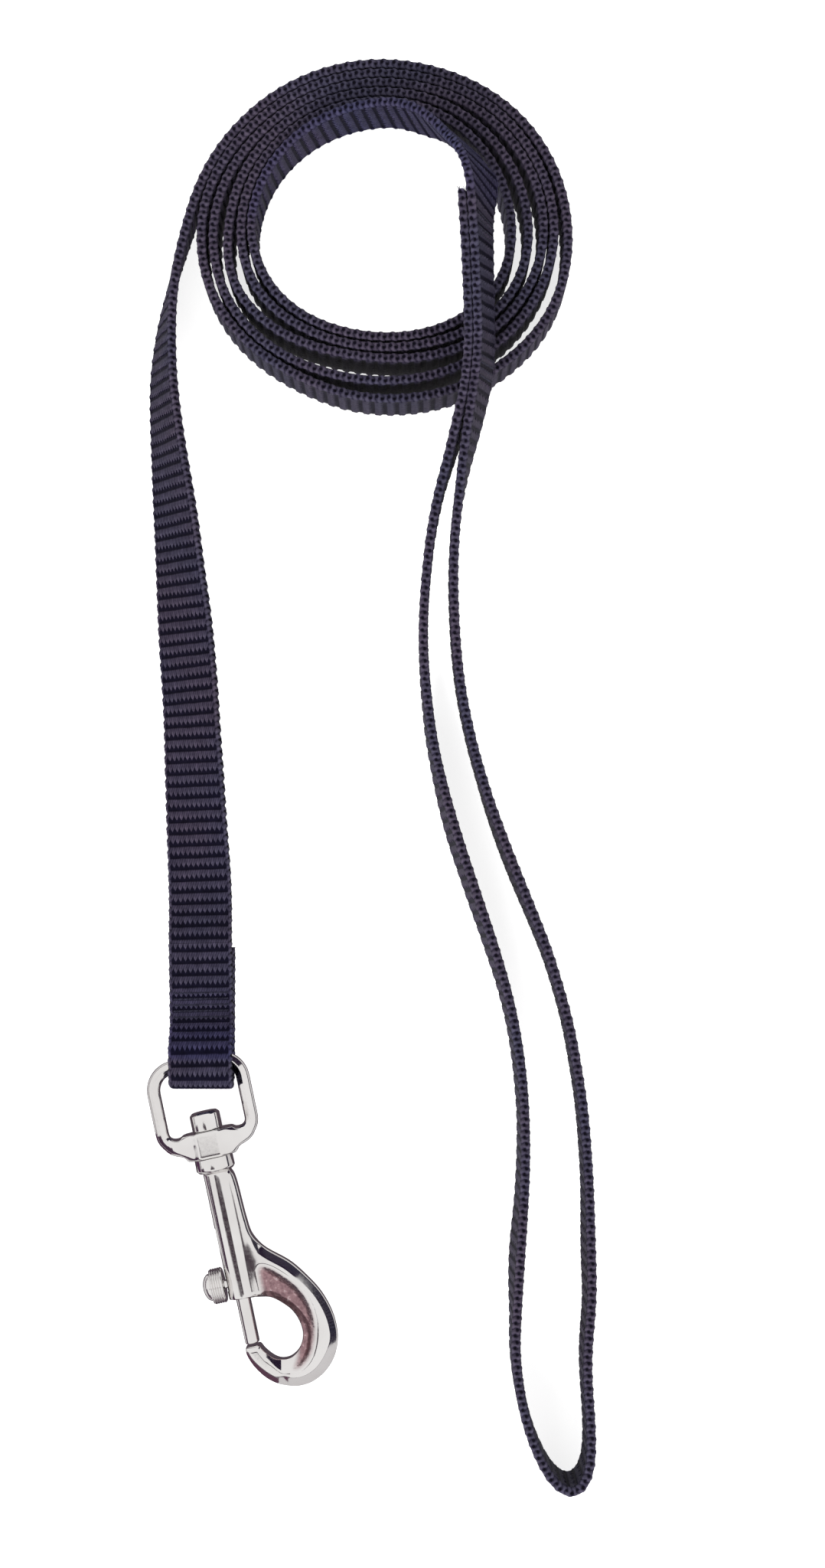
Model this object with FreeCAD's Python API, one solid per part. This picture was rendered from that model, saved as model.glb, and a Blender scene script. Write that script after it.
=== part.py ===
"""Training leash: one length of narrow ribbed nylon webbing, coiled on edge, with a stitched
hand loop at one end and a swivel bolt snap stitched on at the other.  Millimetres, +Z up.
It lies on a flat surface at z = 0."""
import FreeCAD, Part
import math, os
from FreeCAD import Vector as V

os.makedirs("parts", exist_ok=True)

# ------------------------------------------------ driving dimensions (mm)
WEB_WIDTH = 10.0          # nominal 3/8 in webbing
WEB_THICK = 1.40
THREAD_R = 0.18           # bar-tack thread
TACK_Y = -39.44            # first row of the bar tack at the snap

SNAP_X, SNAP_Y = -24.452, -59.042   # centre of the swivel boss
SNAP_TURN = 12.3          # degrees, the way the snap points
AXIS_Z = 3.10             # height of the swivel axis above the table

EYE_BAR_R = 1.10          # eye ring stock
EYE_HALF = 7.10           # centreline half width
EYE_TOP = 13.00           # centreline height of the arch above the boss
EYE_SHOULDER_R = 3.60
EYE_FOOT_R = 2.30
EYE_BASE_R = 1.70
BOSS_R = 3.75
BOSS_FLAT = 3.10
BOSS_TOP, BOSS_BOTTOM = 2.30, -1.85

STEM_R = 1.55
STEM_HEAD_R, STEM_HEAD_LEN = 2.37, 3.0
COLLAR_R, COLLAR_LEN = 3.05, 2.3
PLUG_R, PLUG_LEN = 1.45, 2.8

BARREL_R = 2.15
BARREL_TOP, BARREL_END = -4.20, -24.10
BORE_R = 1.50             # spring chamber
GUIDE_R = 1.20            # bolt guide at the lower end
GUIDE_LEN = 3.90
BOLT_R = 1.15
BOLT_HEAD_R, BOLT_HEAD_LEN = 1.42, 2.2
BOLT_TIP = -31.35
GATE_TRAVEL = 7.50
KNOB_Y = -21.60
KNOB_R = 2.75
KNOB_OUT = -5.80
SLOT_HALF = 0.80
SPRING_WIRE_R, SPRING_R, SPRING_TURNS = 0.15, 1.15, 7

WEB_HALF_T = 1.60         # thickness of the flat web beside the barrel
HOOK_HALF_T = 2.60

# webbing edge stations: (lower edge x, y, z, upper edge x, y, z)
STRAP_LAP_END = [
    (18.03,85.47,12.55,14.36,86.55,21.78), (17.89,83.67,12.69,14.54,84.38,22.08), (17.81,82.06,12.71,14.71,81.99,22.22),
    (17.79,79.50,12.55,14.93,78.56,22.09), (17.83,75.76,12.09,15.15,74.37,21.62), (17.97,67.89,10.91,15.46,66.42,20.48),
    (17.91,63.85,10.30,15.39,62.56,19.89), (17.61,60.66,9.86,15.17,59.82,19.52), (17.15,58.47,9.61,14.96,58.10,19.36),
    (16.48,56.41,9.43,14.67,56.29,19.27),
]

STRAP_HAND_LOOP = [
    (16.48,56.41,9.43,14.67,56.29,19.27), (15.42,53.79,9.19,14.01,53.17,19.07), (14.10,50.40,8.65,13.06,48.99,18.49),
    (11.57,43.01,7.27,11.11,41.27,17.11), (10.27,37.23,6.18,9.98,35.50,16.03), (9.46,31.44,5.12,9.27,29.60,14.95),
    (8.88,24.59,3.82,8.81,22.74,13.65), (8.78,18.64,2.74,8.84,16.89,12.58), (9.01,12.67,1.68,9.32,11.06,11.55),
    (9.83,4.51,0.53,10.38,3.50,10.47), (10.93,-1.75,0.08,11.59,-1.98,10.06), (12.75,-9.74,0.00,13.69,-9.48,9.95),
    (15.52,-18.33,0.00,16.44,-18.02,9.95), (19.80,-30.60,0.00,20.43,-30.39,9.98), (21.54,-36.32,0.00,21.99,-36.20,9.99),
    (22.83,-42.16,0.00,23.16,-42.10,9.99), (23.73,-49.08,0.00,24.04,-49.05,10.00), (24.14,-55.06,0.00,24.38,-55.05,10.00),
    (24.01,-63.04,0.00,24.38,-63.06,9.99), (23.47,-70.00,0.00,24.03,-70.07,9.98), (22.88,-75.99,0.00,23.63,-76.03,9.97),
    (22.80,-82.01,0.00,23.22,-82.00,9.99), (22.91,-88.00,0.00,22.90,-88.00,10.00), (23.05,-92.00,0.00,23.05,-92.00,10.00),
    (23.74,-96.94,0.00,23.74,-96.94,10.00), (24.95,-101.79,0.00,24.95,-101.79,10.00), (26.40,-105.52,0.00,26.40,-105.52,10.00),
    (27.84,-108.15,0.00,27.84,-108.15,10.00), (29.12,-109.67,0.00,29.12,-109.67,10.00), (29.91,-110.29,0.00,29.91,-110.29,10.00),
    (30.83,-110.67,0.00,30.83,-110.67,10.00), (31.82,-110.63,0.00,31.82,-110.63,10.00), (32.68,-110.12,0.00,32.68,-110.12,10.00),
    (33.30,-109.33,0.00,33.30,-109.33,10.00), (33.72,-108.43,0.00,33.72,-108.43,10.00), (34.18,-106.48,0.00,34.18,-106.48,10.00),
    (34.35,-103.49,0.00,34.35,-103.49,10.00), (33.85,-91.51,0.00,33.85,-91.51,10.00), (34.21,-85.52,0.00,34.23,-85.52,10.00),
    (34.35,-81.53,0.00,34.51,-81.53,10.00), (34.16,-73.53,0.00,34.45,-73.53,10.00), (34.11,-63.54,0.00,34.12,-63.54,10.00),
    (33.40,-53.57,0.00,33.40,-53.57,10.00), (32.10,-44.67,0.00,32.10,-44.67,10.00), (30.91,-38.79,0.00,30.91,-38.79,10.00),
    (29.00,-32.06,0.00,29.02,-32.05,10.00), (26.93,-26.44,0.00,27.10,-26.37,10.00), (21.93,-14.44,0.00,22.32,-14.29,9.99),
    (19.30,-6.86,0.00,19.52,-6.82,10.00), (17.29,0.11,0.16,17.46,-0.40,10.15), (15.74,6.23,0.74,16.01,5.03,10.66),
    (14.57,12.24,1.61,14.83,10.67,11.48), (13.88,18.18,2.66,14.04,16.44,12.50), (13.46,26.09,4.11,13.52,24.24,13.93),
    (13.52,32.95,5.40,13.45,31.13,15.23), (13.98,38.83,6.47,13.79,37.02,16.31), (14.84,43.66,7.40,14.29,41.92,17.23),
    (16.63,50.24,8.64,15.04,48.89,18.41), (18.37,56.76,9.67,16.08,55.94,19.37), (18.60,57.74,9.81,16.22,56.91,19.48),
]

STRAP_LAP_MAIN = [
    (18.60,57.74,9.81,16.22,56.91,19.48), (19.23,61.82,10.37,16.68,60.68,19.97), (19.38,66.92,11.12,16.88,65.45,20.69),
    (19.17,77.74,12.77,16.42,76.38,22.29), (19.13,81.38,13.18,16.17,80.69,22.70), (19.18,83.74,13.24,15.92,84.31,22.67),
    (19.35,85.14,13.13,15.70,86.88,22.27), (19.62,86.62,12.87,15.39,89.27,21.54), (19.91,88.36,12.43,14.95,91.29,20.61),
    (20.03,90.34,11.81,14.41,92.95,19.65), (19.89,91.36,11.44,14.11,93.68,19.20), (18.59,93.07,10.58,13.48,94.96,18.41),
    (17.55,94.98,9.61,12.71,96.00,17.78), (16.26,96.63,8.64,11.85,97.15,17.20), (13.35,99.12,6.84,9.66,99.81,16.03),
    (11.68,100.19,6.05,8.36,101.03,15.44), (9.83,101.00,5.35,6.90,102.04,14.86), (7.91,101.86,4.71,5.33,102.75,14.33),
    (5.85,102.63,4.15,3.69,103.11,13.90), (3.73,103.06,3.71,1.93,103.20,13.55), (0.71,103.08,3.19,-0.92,102.96,13.05),
    (-2.24,102.68,2.70,-3.77,102.35,12.58), (-5.12,101.89,2.24,-6.52,101.38,12.13), (-7.86,100.72,1.79,-9.12,100.04,11.69),
    (-10.42,99.15,1.37,-11.49,98.35,11.28), (-12.75,97.18,0.98,-13.55,96.35,10.91), (-14.73,94.86,0.65,-15.29,94.06,10.60),
    (-16.32,92.22,0.38,-16.64,91.54,10.35), (-17.46,89.33,0.18,-17.60,88.86,10.17), (-18.11,86.30,0.07,-18.14,86.03,10.07),
    (-18.19,85.28,0.04,-18.20,85.06,10.04),
]

STRAP_COIL = [
    (-18.19,85.28,0.04,-18.20,85.06,10.04), (-17.99,82.21,0.00,-17.98,82.16,10.00), (-17.23,79.28,0.00,-17.23,79.28,10.00),
    (-15.45,75.71,0.00,-15.45,75.71,10.00), (-12.84,72.70,0.00,-12.84,72.70,10.00), (-9.60,70.36,0.00,-9.60,70.36,10.00),
    (-5.97,68.71,0.00,-5.97,68.71,10.00), (-1.12,67.51,0.00,-1.12,67.51,10.00), (3.86,67.19,0.00,3.86,67.19,10.00),
    (7.83,67.59,0.00,7.83,67.59,10.00), (11.68,68.67,0.00,11.68,68.67,10.00), (15.25,70.47,0.00,15.25,70.47,10.00),
    (18.38,72.94,0.00,18.38,72.94,10.00), (20.26,75.27,0.00,20.26,75.27,10.00), (21.61,77.94,0.00,21.61,77.94,10.00),
    (22.39,80.83,0.00,22.39,80.83,10.00), (22.63,84.82,0.00,22.63,84.82,10.00), (22.07,88.77,0.00,22.07,88.77,10.00),
    (20.80,92.56,0.00,20.80,92.56,10.00), (18.84,96.04,0.00,18.84,96.04,10.00), (15.53,99.77,0.00,15.53,99.77,10.00),
    (12.29,102.10,0.00,12.29,102.10,10.00), (8.65,103.73,0.00,8.65,103.73,10.00), (4.75,104.58,0.00,4.75,104.58,10.00),
    (0.75,104.69,0.00,0.75,104.69,10.00), (-3.20,104.13,0.00,-3.20,104.13,10.00), (-7.00,102.90,0.00,-7.00,102.90,10.00),
    (-10.53,101.03,0.00,-10.53,101.03,10.00), (-13.66,98.55,0.00,-13.66,98.55,10.00), (-16.25,95.51,0.00,-16.25,95.51,10.00),
    (-18.19,92.02,0.00,-18.19,92.02,10.00), (-19.40,88.22,0.00,-19.40,88.22,10.00), (-19.84,84.25,0.00,-19.84,84.25,10.00),
    (-19.46,80.27,0.00,-19.46,80.27,10.00), (-18.59,77.41,0.00,-18.59,77.41,10.00), (-17.18,74.77,0.00,-17.18,74.77,10.00),
    (-14.57,71.75,0.00,-14.57,71.75,10.00), (-11.36,69.37,0.00,-11.36,69.37,10.00), (-6.85,67.24,0.00,-6.85,67.24,10.00),
    (-2.03,65.95,0.00,-2.03,65.95,10.00), (2.95,65.52,0.00,2.95,65.52,10.00), (7.93,65.91,0.00,7.93,65.91,10.00),
    (12.78,67.09,0.00,12.78,67.09,10.00), (16.45,68.67,0.00,16.45,68.67,10.00), (19.71,70.97,0.00,19.71,70.97,10.00),
    (22.34,73.97,0.00,22.34,73.97,10.00), (24.16,77.52,0.00,24.16,77.52,10.00), (25.12,81.39,0.00,25.12,81.39,10.00),
    (25.22,85.38,0.00,25.22,85.38,10.00), (24.56,89.32,0.00,24.56,89.32,10.00), (23.21,93.08,0.00,23.21,93.08,10.00),
    (21.22,96.54,0.00,21.22,96.54,10.00), (17.92,100.28,0.00,17.92,100.28,10.00), (13.89,103.23,0.00,13.89,103.23,10.00),
    (10.27,104.90,0.00,10.27,104.90,10.00), (6.40,105.89,0.00,6.40,105.89,10.00), (2.42,106.24,0.00,2.42,106.24,10.00),
    (-1.57,105.96,0.00,-1.57,105.96,10.00), (-5.46,105.06,0.00,-5.46,105.06,10.00), (-9.16,103.55,0.00,-9.16,103.55,10.00),
    (-13.34,100.83,0.00,-13.34,100.83,10.00), (-16.85,97.28,0.00,-16.85,97.28,10.00), (-19.06,93.95,0.00,-19.06,93.95,10.00),
    (-20.62,90.28,0.00,-20.62,90.28,10.00), (-21.68,85.40,0.00,-21.68,85.40,10.00), (-21.91,81.41,0.00,-21.91,81.41,10.00),
    (-21.60,78.43,0.00,-21.60,78.43,10.00), (-20.70,75.58,0.00,-20.70,75.58,10.00), (-19.20,72.99,0.00,-19.20,72.99,10.00),
    (-16.48,70.07,0.00,-16.48,70.07,10.00), (-13.20,67.79,0.00,-13.20,67.79,10.00), (-8.63,65.80,0.00,-8.63,65.80,10.00),
    (-2.80,64.39,0.00,-2.80,64.39,10.00), (3.16,63.76,0.00,3.16,63.76,10.00), (8.15,63.96,0.00,8.15,63.96,10.00),
    (13.03,65.02,0.00,13.03,65.02,10.00), (16.72,66.55,0.00,16.72,66.55,10.00), (20.05,68.74,0.00,20.05,68.74,10.00),
    (23.49,72.35,0.00,23.49,72.35,10.00), (25.59,75.75,0.00,25.59,75.75,10.00), (27.01,79.48,0.00,27.01,79.48,10.00),
    (27.63,83.42,0.00,27.63,83.42,10.00), (27.46,87.41,0.00,27.46,87.41,10.00), (26.55,91.30,0.00,26.55,91.30,10.00),
    (24.94,94.96,0.00,24.94,94.96,10.00), (22.10,99.06,0.00,22.10,99.06,10.00), (18.48,102.49,0.00,18.48,102.49,10.00),
    (15.11,104.65,0.00,15.11,104.65,10.00), (11.43,106.21,0.00,11.43,106.21,10.00), (6.58,107.38,0.00,6.58,107.38,10.00),
    (1.60,107.74,0.00,1.60,107.74,10.00), (-2.37,107.36,0.00,-2.37,107.36,10.00), (-7.19,106.05,0.00,-7.19,106.05,10.00),
    (-11.67,103.86,0.00,-11.67,103.86,10.00), (-15.67,100.86,0.00,-15.67,100.86,10.00), (-19.08,97.22,0.00,-19.08,97.22,10.00),
    (-21.78,93.02,0.00,-21.78,93.02,10.00), (-23.28,89.32,0.00,-23.28,89.32,10.00), (-24.07,85.40,0.00,-24.07,85.40,10.00),
    (-24.14,81.41,0.00,-24.14,81.41,10.00), (-23.50,77.47,0.00,-23.50,77.47,10.00), (-22.12,73.72,0.00,-22.12,73.72,10.00),
    (-20.02,70.33,0.00,-20.02,70.33,10.00), (-16.55,66.74,0.00,-16.55,66.74,10.00), (-12.40,63.97,0.00,-12.40,63.97,10.00),
    (-7.82,61.99,0.00,-7.82,61.99,10.00), (-2.98,60.74,0.00,-2.98,60.74,10.00), (1.99,60.25,0.00,1.99,60.25,10.00),
    (6.97,60.54,0.00,6.97,60.54,10.00), (11.84,61.65,0.00,11.84,61.65,10.00), (16.42,63.62,0.00,16.42,63.62,10.00),
    (20.55,66.43,0.00,20.55,66.43,10.00), (24.05,69.99,0.00,24.05,69.99,10.00), (26.78,74.17,0.00,26.78,74.17,10.00),
    (28.32,77.85,0.00,28.32,77.85,10.00), (29.18,81.75,0.00,29.18,81.75,10.00), (29.28,85.74,0.00,29.28,85.74,10.00),
    (28.66,89.69,0.00,28.66,89.69,10.00), (27.39,93.48,0.00,27.39,93.48,10.00), (25.02,97.86,0.00,25.02,97.86,10.00),
    (21.84,101.72,0.00,21.84,101.72,10.00), (17.94,104.82,0.00,17.94,104.82,10.00), (13.48,107.06,0.00,13.48,107.06,10.00),
    (8.70,108.51,0.00,8.70,108.51,10.00), (3.75,109.20,0.00,3.75,109.20,10.00), (-1.24,109.04,0.00,-1.24,109.04,10.00),
    (-6.12,108.01,0.00,-6.12,108.01,10.00), (-10.75,106.13,0.00,-10.75,106.13,10.00), (-14.98,103.48,0.00,-14.98,103.48,10.00),
    (-19.39,99.44,0.00,-19.39,99.44,10.00), (-22.43,95.47,0.00,-22.43,95.47,10.00), (-24.32,91.95,0.00,-24.32,91.95,10.00),
    (-25.55,88.15,0.00,-25.55,88.15,10.00), (-26.07,84.19,0.00,-26.07,84.19,10.00), (-25.92,80.20,0.00,-25.92,80.20,10.00),
    (-25.09,76.30,0.00,-25.09,76.30,10.00), (-23.55,72.61,0.00,-23.55,72.61,10.00), (-21.37,69.26,0.00,-21.37,69.26,10.00),
    (-17.91,65.67,0.00,-17.91,65.67,10.00), (-13.87,62.74,0.00,-13.87,62.74,10.00), (-8.55,59.98,0.00,-8.55,59.98,10.00),
    (-3.83,58.34,0.00,-3.83,58.34,10.00), (1.09,57.49,0.00,1.09,57.49,10.00), (6.08,57.48,0.00,6.08,57.48,10.00),
    (11.02,58.26,0.00,11.02,58.26,10.00), (15.75,59.85,0.00,15.75,59.85,10.00), (20.14,62.23,0.00,20.14,62.23,10.00),
    (24.07,65.31,0.00,24.07,65.31,10.00), (27.36,69.06,0.00,27.36,69.06,10.00), (29.36,72.51,0.00,29.36,72.51,10.00),
    (30.69,76.28,0.00,30.69,76.28,10.00), (31.38,80.21,0.00,31.38,80.21,10.00), (31.40,85.21,0.00,31.40,85.21,10.00),
    (30.54,90.12,0.00,30.54,90.12,10.00), (28.84,94.81,0.00,28.84,94.81,10.00), (26.30,99.12,0.00,26.30,99.12,10.00),
    (23.00,102.86,0.00,23.00,102.86,10.00), (19.05,105.91,0.00,19.05,105.91,10.00), (14.63,108.22,0.00,14.63,108.22,10.00),
    (9.88,109.78,0.00,9.88,109.78,10.00), (4.96,110.62,0.00,4.96,110.62,10.00), (-0.03,110.67,0.00,-0.03,110.67,10.00),
    (-4.96,109.88,0.00,-4.96,109.88,10.00), (-9.71,108.32,0.00,-9.69,108.29,10.00), (-14.17,106.07,0.00,-14.09,105.93,10.00),
    (-18.22,103.11,0.00,-18.04,102.90,10.00), (-22.43,98.81,0.00,-22.09,98.54,10.00),
]

STRAP_LEAD = [
    (-22.43,98.81,0.00,-22.09,98.54,10.00), (-24.77,95.53,0.01,-24.32,95.25,9.99), (-26.68,91.98,0.01,-26.11,91.72,9.99),
    (-28.18,88.23,0.02,-27.47,88.01,9.99), (-30.42,81.56,0.06,-29.23,81.26,9.98), (-31.90,76.75,0.11,-30.08,76.35,9.93),
    (-33.14,71.84,0.17,-30.47,71.40,9.79), (-34.18,65.82,0.26,-30.46,65.47,9.53), (-34.59,60.67,0.32,-30.18,60.63,9.30),
    (-34.53,53.56,0.38,-29.33,53.78,8.92), (-34.19,43.57,0.47,-27.63,43.90,8.01), (-33.77,33.63,0.55,-26.11,33.96,6.97),
    (-33.32,21.64,0.62,-24.51,22.10,5.33), (-32.93,15.55,0.64,-23.94,16.24,4.97), (-32.38,6.76,0.64,-23.28,7.08,4.76),
    (-31.97,-8.17,0.65,-22.26,-7.89,3.00), (-31.65,-17.16,0.76,-21.67,-16.73,1.29), (-31.51,-21.04,0.95,-21.52,-20.76,1.01),
    (-31.47,-22.99,1.19,-21.47,-22.76,1.17), (-31.38,-26.86,2.11,-21.38,-26.65,2.08), (-31.36,-27.86,2.18,-21.36,-27.65,2.17),
]

STRAP_SNAP_FOLD = [
    (-31.36,-27.86,2.18,-21.36,-27.65,2.17), (-31.11,-39.85,2.20,-21.11,-39.65,2.17), (-31.09,-40.79,2.50,-21.09,-40.62,2.42),
    (-31.07,-41.59,3.07,-21.07,-41.46,2.97), (-31.02,-43.89,5.00,-21.02,-43.74,4.91), (-31.00,-44.81,5.42,-21.00,-44.61,5.37),
    (-30.96,-46.79,5.45,-20.96,-46.62,5.46), (-30.95,-47.73,5.41,-20.95,-47.68,5.42), (-30.95,-48.63,5.06,-20.95,-48.63,5.06),
    (-30.95,-49.33,4.35,-20.95,-49.33,4.35), (-30.95,-49.67,3.41,-20.95,-49.67,3.41), (-30.95,-49.59,2.42,-20.95,-49.59,2.42),
    (-30.95,-49.10,1.55,-20.95,-49.10,1.55), (-30.95,-48.30,0.96,-20.95,-48.30,0.96), (-30.95,-47.33,0.75,-20.95,-47.33,0.75),
    (-30.95,-28.34,0.75,-20.95,-28.34,0.75),
]


# ------------------------------------------------ webbing
def strap(stations, shift=0.0):
    """a closed solid ribbon through the stations, WEB_THICK thick"""
    n = len(stations)
    lo = [V(*s[:3]) for s in stations]
    hi = [V(*s[3:]) for s in stations]
    mid = [(a + b) * 0.5 for a, b in zip(lo, hi)]
    rings = []
    for i in range(n):
        w = hi[i] - lo[i]
        w.normalize()
        if i == 0:
            t = mid[1] - mid[0]
        elif i == n - 1:
            t = mid[-1] - mid[-2]
        else:
            a = mid[i] - mid[i - 1]
            b = mid[i + 1] - mid[i]
            a.normalize(); b.normalize()
            t = a + b
        t.normalize()
        nn = w.cross(t)
        nn.normalize()
        h = nn * (WEB_THICK / 2)
        c = mid[i]
        e = w * (WEB_WIDTH / 2)
        rings.append([c - e - h, c + e - h, c + e + h, c - e + h])
    for r in rings:
        for p in r:
            if p.z < 0.0:
                p.z = 0.0
    faces = []
    def tri(a, b, c):
        faces.append(Part.Face(Part.makePolygon([a, b, c, a])))
    def quad(a, b, c, d):
        # planar quads stay whole, twisted ones are split
        nrm = (b - a).cross(c - a)
        if nrm.Length > 1e-9 and abs((d - a).dot(nrm) / nrm.Length) < 1e-8:
            try:
                faces.append(Part.Face(Part.makePolygon([a, b, c, d, a])))
                return
            except Part.OCCError:
                pass
        tri(a, b, c); tri(a, c, d)
    for i in range(n - 1):
        p, q = rings[i], rings[i + 1]
        for k in range(4):
            m = (k + 1) % 4
            quad(p[k], p[m], q[m], q[k])
    quad(*rings[0])
    quad(*rings[-1])
    shell = Part.makeShell(faces)
    solid = Part.makeSolid(shell)
    if solid.Volume < 0:
        solid.reverse()
    return solid

def lap_frame(st, i):
    lo, hi = V(*st[i][:3]), V(*st[i][3:])
    j = min(max(i, 1), len(st) - 2)
    t = (V(*st[j + 1][:3]) + V(*st[j + 1][3:])) - (V(*st[j - 1][:3]) + V(*st[j - 1][3:]))
    t.normalize()
    w = hi - lo
    w.normalize()
    n = w.cross(t)
    n.normalize()
    return (lo + hi) * 0.5, w, t, n

def thread(a, b, r=THREAD_R):
    d = b - a
    return Part.makeCylinder(r, d.Length, a, d)

def group(shapes):
    return Part.makeCompound(shapes)

# ------------------------------------------------ snap helpers (local: x across, y towards the webbing, z up)
def place(shape):
    s = shape.copy()
    s.rotate(V(0, 0, 0), V(0, 0, 1), SNAP_TURN)
    s.translate(V(SNAP_X, SNAP_Y, AXIS_Z))
    return s

def cyl_y(r, y0, y1, x=0.0, z=0.0):
    return Part.makeCylinder(r, abs(y1 - y0), V(x, min(y0, y1), z), V(0, 1, 0))

def pipe(edges, r):
    w = Part.Wire(edges)
    e0 = edges[0]
    p = e0.valueAt(e0.FirstParameter)
    t = e0.tangentAt(e0.FirstParameter)
    c = Part.Wire([Part.makeCircle(r, p, t)])
    return w.makePipeShell([c], True, False)

def arc(cx, cy, r, a0, a1):
    f = lambda a: V(cx + r * math.cos(math.radians(a)), cy + r * math.sin(math.radians(a)), 0)
    return Part.Arc(f(a0), f((a0 + a1) / 2), f(a1)).toShape()

def line(x0, y0, x1, y1):
    return Part.LineSegment(V(x0, y0, 0), V(x1, y1, 0)).toShape()

# swivel eye: stirrup with a round arch, flat base and a bored boss
xs = EYE_HALF - EYE_SHOULDER_R
ys = EYE_TOP - EYE_SHOULDER_R
xf = EYE_HALF - EYE_FOOT_R
yb = 0.70
yf = yb + EYE_FOOT_R
loop_edges = [
    line(0, EYE_TOP, xs, EYE_TOP), arc(xs, ys, EYE_SHOULDER_R, 90, 0), line(EYE_HALF, ys, EYE_HALF, yf),
    arc(xf, yf, EYE_FOOT_R, 0, -90), line(xf, yb, -xf, yb), arc(-xf, yf, EYE_FOOT_R, -90, -180),
    line(-EYE_HALF, yf, -EYE_HALF, ys), arc(-xs, ys, EYE_SHOULDER_R, 180, 90), line(-xs, EYE_TOP, 0, EYE_TOP)]
ring = pipe(loop_edges, EYE_BAR_R)
base = Part.makeCylinder(EYE_BASE_R, 2 * xf, V(-xf, yb, 0), V(1, 0, 0))
boss = cyl_y(BOSS_R, BOSS_BOTTOM, BOSS_TOP).common(
    Part.makeBox(20, 20, 2 * BOSS_FLAT, V(-10, -10, -BOSS_FLAT)))
eye = ring.fuse([base, boss]).removeSplitter()
eye = eye.cut(cyl_y(STEM_R + 0.05, BOSS_BOTTOM - 1, BOSS_TOP + 1))
eye = eye.cut(cyl_y(STEM_HEAD_R + 0.3, BOSS_TOP, BOSS_TOP + STEM_HEAD_LEN + 1))

# swivel stem: riveted head inside the eye, shaft, collar, plug pressed in the barrel
head = cyl_y(STEM_HEAD_R, BOSS_TOP + 0.05, BOSS_TOP + STEM_HEAD_LEN)
head = head.makeChamfer(0.45, [e for e in head.Edges if abs(e.BoundBox.YMin - (BOSS_TOP + STEM_HEAD_LEN)) < 1e-4 and e.BoundBox.YLength < 1e-4])
stem = head.fuse([cyl_y(STEM_R, BOSS_BOTTOM - 0.1, BOSS_TOP + 0.1),
                  cyl_y(COLLAR_R, BOSS_BOTTOM - 0.05, BOSS_BOTTOM - 0.05 - COLLAR_LEN),
                  cyl_y(PLUG_R, BOSS_BOTTOM - COLLAR_LEN, BARREL_TOP - PLUG_LEN)]).removeSplitter()

# snap body: barrel, web and hook
outer = [(2.15, -4.2), (2.6, -5.2), (3.04, -12.3), (3.4, -14.9), (4.79, -17.1), (8.36, -20.3), (10.4, -23.0), (12.01, -25.7),
         (13.0, -28.6), (13.32, -31.2), (13.0, -33.9), (11.7, -36.5), (9.7, -38.3), (7.4, -39.2), (5.2, -39.2),
         (3.0, -38.4), (1.1, -37.0), (-0.4, -34.9), (-1.15, -32.8), (-1.2, -31.65)]
inner = [(1.15, -31.65), (1.7, -32.7), (2.85, -34.0), (4.1, -34.6), (5.4, -34.6), (6.7, -33.9), (7.6, -32.7), (8.0, -31.2),
         (7.7, -29.3), (6.9, -27.7), (5.6, -26.2), (4.4, -25.2), (3.2, -24.6), (1.3, -24.2)]
def spline_edge(pts):
    b = Part.BSplineCurve()
    b.interpolate([V(x, y, 0) for x, y in pts])
    return b.toShape()
def slab(z):
    e = [spline_edge(outer), line(-1.2, -31.65, 1.15, -31.65), spline_edge(inner),
         line(1.3, -24.2, 1.3, -24.1), line(1.3, -24.1, 0, -24.1), line(0, -24.1, 0, -4.2), line(0, -4.2, 2.15, -4.2)]
    f = Part.Face(Part.Wire(e))
    s = f.extrude(V(0, 0, 2 * z))
    s.translate(V(0, 0, -z))
    return s
web = slab(WEB_HALF_T).common(Part.makeBox(30, 22, 20, V(-5, -24, -10)))
hook = slab(HOOK_HALF_T).common(Part.makeBox(30, 24, 20, V(1.2, -40, -10)).fuse(Part.makeBox(5, 10, 20, V(-3, -41, -10))))
tip_box = Part.makeBox(2.4, 4, 20, V(-1.25, -35, -10))
barrel = cyl_y(BARREL_R, BARREL_TOP, BARREL_END)
body = barrel.fuse([web, hook]).removeSplitter()
body = body.cut(cyl_y(BORE_R, BARREL_TOP + 1, BARREL_END + GUIDE_LEN))
body = body.cut(cyl_y(GUIDE_R, BARREL_TOP, BARREL_END - 0.02))
body = body.cut(cyl_y(GUIDE_R, BARREL_END, -31.60))
slot = Part.makeBox(BARREL_R + 2, GATE_TRAVEL + 2.4, 2 * SLOT_HALF, V(-BARREL_R - 2, KNOB_Y - 1.2, -SLOT_HALF))
body = body.cut(slot)

# bolt with its guide head, thumb knob, return spring
bolt = cyl_y(BOLT_R, BOLT_TIP, BARREL_END + GUIDE_LEN + 0.5).fuse(
    cyl_y(BOLT_HEAD_R, BARREL_END + GUIDE_LEN + 0.1, BARREL_END + GUIDE_LEN + 0.1 + BOLT_HEAD_LEN)).removeSplitter()
neck = Part.makeBox(abs(-2.6 - (-BOLT_R)) - 0.0, 2.0, 2 * SLOT_HALF - 0.2, V(-2.6, KNOB_Y - 1.0, -SLOT_HALF + 0.1)).cut(cyl_y(BOLT_R + 0.01, KNOB_Y - 3, KNOB_Y + 3))
disc = Part.makeCylinder(KNOB_R, 1.6, V(-4.1, KNOB_Y, 0), V(1, 0, 0))
dome = Part.makeCylinder(KNOB_R - 0.3, 1.7, V(KNOB_OUT, KNOB_Y, 0), V(1, 0, 0))
dome = dome.makeFillet(1.2, [e for e in dome.Edges if abs(e.BoundBox.XMin - KNOB_OUT) < 1e-4 and e.BoundBox.XLength < 1e-4])
knob = disc.fuse([dome, neck]).removeSplitter()

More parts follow.
